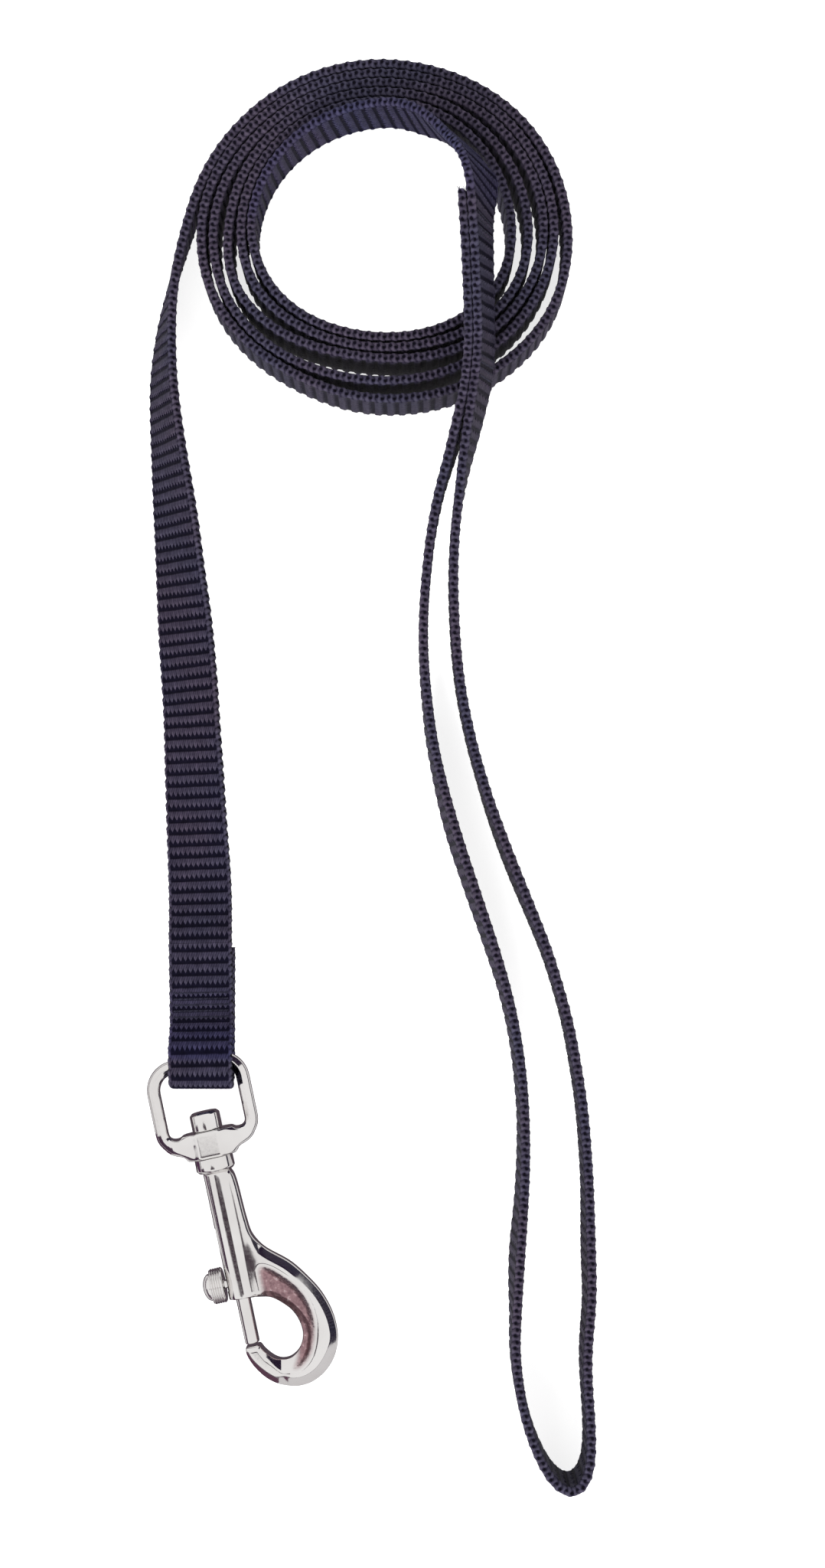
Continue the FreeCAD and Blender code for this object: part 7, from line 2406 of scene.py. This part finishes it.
floor_mat, nt, bs = new_mat("pale_floor")
fr = ramp(nt, noise(nt, 12.0, 2.0, 0.5), [(0.3, (0.50, 0.50, 0.50)), (0.7, (0.54, 0.54, 0.54))])
nt.links.new(fr.outputs[0], bs.inputs["Base Color"])
bs.inputs["Roughness"].default_value = 0.85
bs.inputs["Emission Color"].default_value = (1, 1, 1, 1)
bs.inputs["Emission Strength"].default_value = 0.76
plane("floor", [(-3, -3, -0.0002), (3, -3, -0.0002), (3, 3, -0.0002), (-3, 3, -0.0002)], floor_mat, visible_glossy=False)


def card(name, pts, shade):
    m, nt, bs = new_mat(name + "_surface")
    bs.inputs["Base Color"].default_value = (0, 0, 0, 1)
    bs.inputs["Roughness"].default_value = 0.9
    bs.inputs["Specular IOR Level"].default_value = 0.0
    bs.inputs["Emission Color"].default_value = (*shade, 1)
    bs.inputs["Emission Strength"].default_value = 1.0
    plane(name, pts, m, visible_camera=False, visible_diffuse=False, visible_shadow=False, visible_transmission=False)


def wall(name, az0, az1, r, z0, z1, shade, n=1):
    """upright card between two bearings (degrees from +x), seen only in the metal"""
    for i in range(n):
        a0 = math.radians(az0 + (az1 - az0) * i / n)
        a1 = math.radians(az0 + (az1 - az0) * (i + 1) / n)
        cx, cy = -0.016, -0.080
        p, q = (cx + r * math.cos(a0), cy + r * math.sin(a0)), (cx + r * math.cos(a1), cy + r * math.sin(a1))
        card("%s_%d" % (name, i), [(*p, z0), (*q, z0), (*q, z1), (*p, z1)], shade)


# what the metal sees: a duller table, a painted contact shadow close round the snap, dark cards to two sides and
# overhead
card("table_seen_in_metal", [(-0.6, -0.6, -0.00019), (0.6, -0.6, -0.00019), (0.6, 0.6, -0.00019), (-0.6, 0.6, -0.00019)], (0.66, 0.645, 0.65))
# painted contact shadow: a dark sheet just under the table along the snap's outline, seen only in the metal
near = np.array([(-12, 17.5, 0), (-12, -1, 0), (-6.5, -6, 0), (-6.5, -17, 0), (-9.5, -18, 0), (-9.5, -26, 0), (-5, -31, 0), (-5, -38, 0), (0, -42.5, 0), (7, -43.5, 0),
                 (13, -41, 0), (17.5, -33, 0), (16, -24, 0), (10, -17, 0), (6.5, -12, 0), (6.5, -5, 0), (12, -1, 0), (12, 17.5, 0)], float)
near[:, 2] = -3.10 - 0.17
near = to_row(near) * MM
card("painted_shadow_round_the_snap", [tuple(float(c) for c in p) for p in near], (0.085, 0.065, 0.080))
wall("card_shoulder", 40, 74, 0.50, -0.02, 0.26, (0.020, 0.012, 0.030), 3)
wall("card_bow", 196, 262, 0.50, -0.02, 0.20, (0.055, 0.030, 0.055), 4)
wall("card_horizon", 74, 196, 0.80, -0.01, 0.07, (0.10, 0.085, 0.10), 5)
wall("card_horizon_low", 262, 400, 0.80, -0.01, 0.07, (0.10, 0.085, 0.10), 5)
def wedge(name, cx, cy, az0, az1, r0, r1, shade):
    """piece of dark table between two bearings"""
    a = [math.radians(az0 + (az1 - az0) * i / 8) for i in range(9)]
    pts = [(cx + r0 * math.cos(x), cy + r0 * math.sin(x), -0.00018) for x in a] + [(cx + r1 * math.cos(x), cy + r1 * math.sin(x), -0.00018) for x in a[::-1]]
    card(name, pts, shade)


wedge("dark_table_by_the_bow", -0.0150, -0.0905, 200, 266, 0.0075, 0.11, (0.105, 0.050, 0.080))
wedge("dark_table_by_the_eye", -0.0275, -0.0560, 196, 236, 0.0060, 0.07, (0.080, 0.035, 0.075))
card("card_above", [(-0.120, -0.111, 0.37), (-0.022, -0.111, 0.37), (-0.018, -0.162, 0.37), (-0.190, -0.162, 0.37)], (0.050, 0.032, 0.045))

world = bpy.data.worlds.new("studio")
bpy.context.scene.world = world
world.use_nodes = True
world.node_tree.nodes["Background"].inputs[0].default_value = (1.0, 0.992, 0.988, 1)
world.node_tree.nodes["Background"].inputs[1].default_value = 0.88


def area(name, loc, target, size, power, color=(1, 1, 1)):
    d = bpy.data.lights.new(name, "AREA")
    d.shape = "RECTANGLE"
    d.size, d.size_y = size
    d.energy = power
    d.color = color
    o = bpy.data.objects.new(name, d)
    bpy.context.scene.collection.objects.link(o)
    o.location = loc
    v = np.array(target, float) - np.array(loc, float)
    from mathutils import Vector
    o.rotation_mode = "QUATERNION"
    o.rotation_quaternion = Vector(v).to_track_quat("-Z", "Y")
    o.visible_glossy = False
    return o


area("key", (-0.55, 0.35, 0.80), (0, 0, 0), (0.55, 0.55), 4.5)
area("fill", (0.60, 0.10, 0.70), (0, 0, 0), (0.50, 0.50), 2.5)
area("front", (-0.18, -0.85, 0.46), (0, 0.02, 0), (0.70, 0.35), 13.0)

scene = bpy.context.scene
scene.view_settings.view_transform = "Standard"
scene.view_settings.look = "None"

cam_d = bpy.data.cameras.new("camera")
cam = bpy.data.objects.new("camera", cam_d)
scene.collection.objects.link(cam)
cam.location = (0.007094, -0.019924, 0.33369)
cam.rotation_euler = (math.radians(3.0), 0, 0)
cam_d.sensor_width = 36.0
cam_d.sensor_fit = "AUTO"
cam_d.lens = 2740.0 / 2048.0 * 36.0
cam_d.clip_start, cam_d.clip_end = 0.01, 20
scene.camera = cam
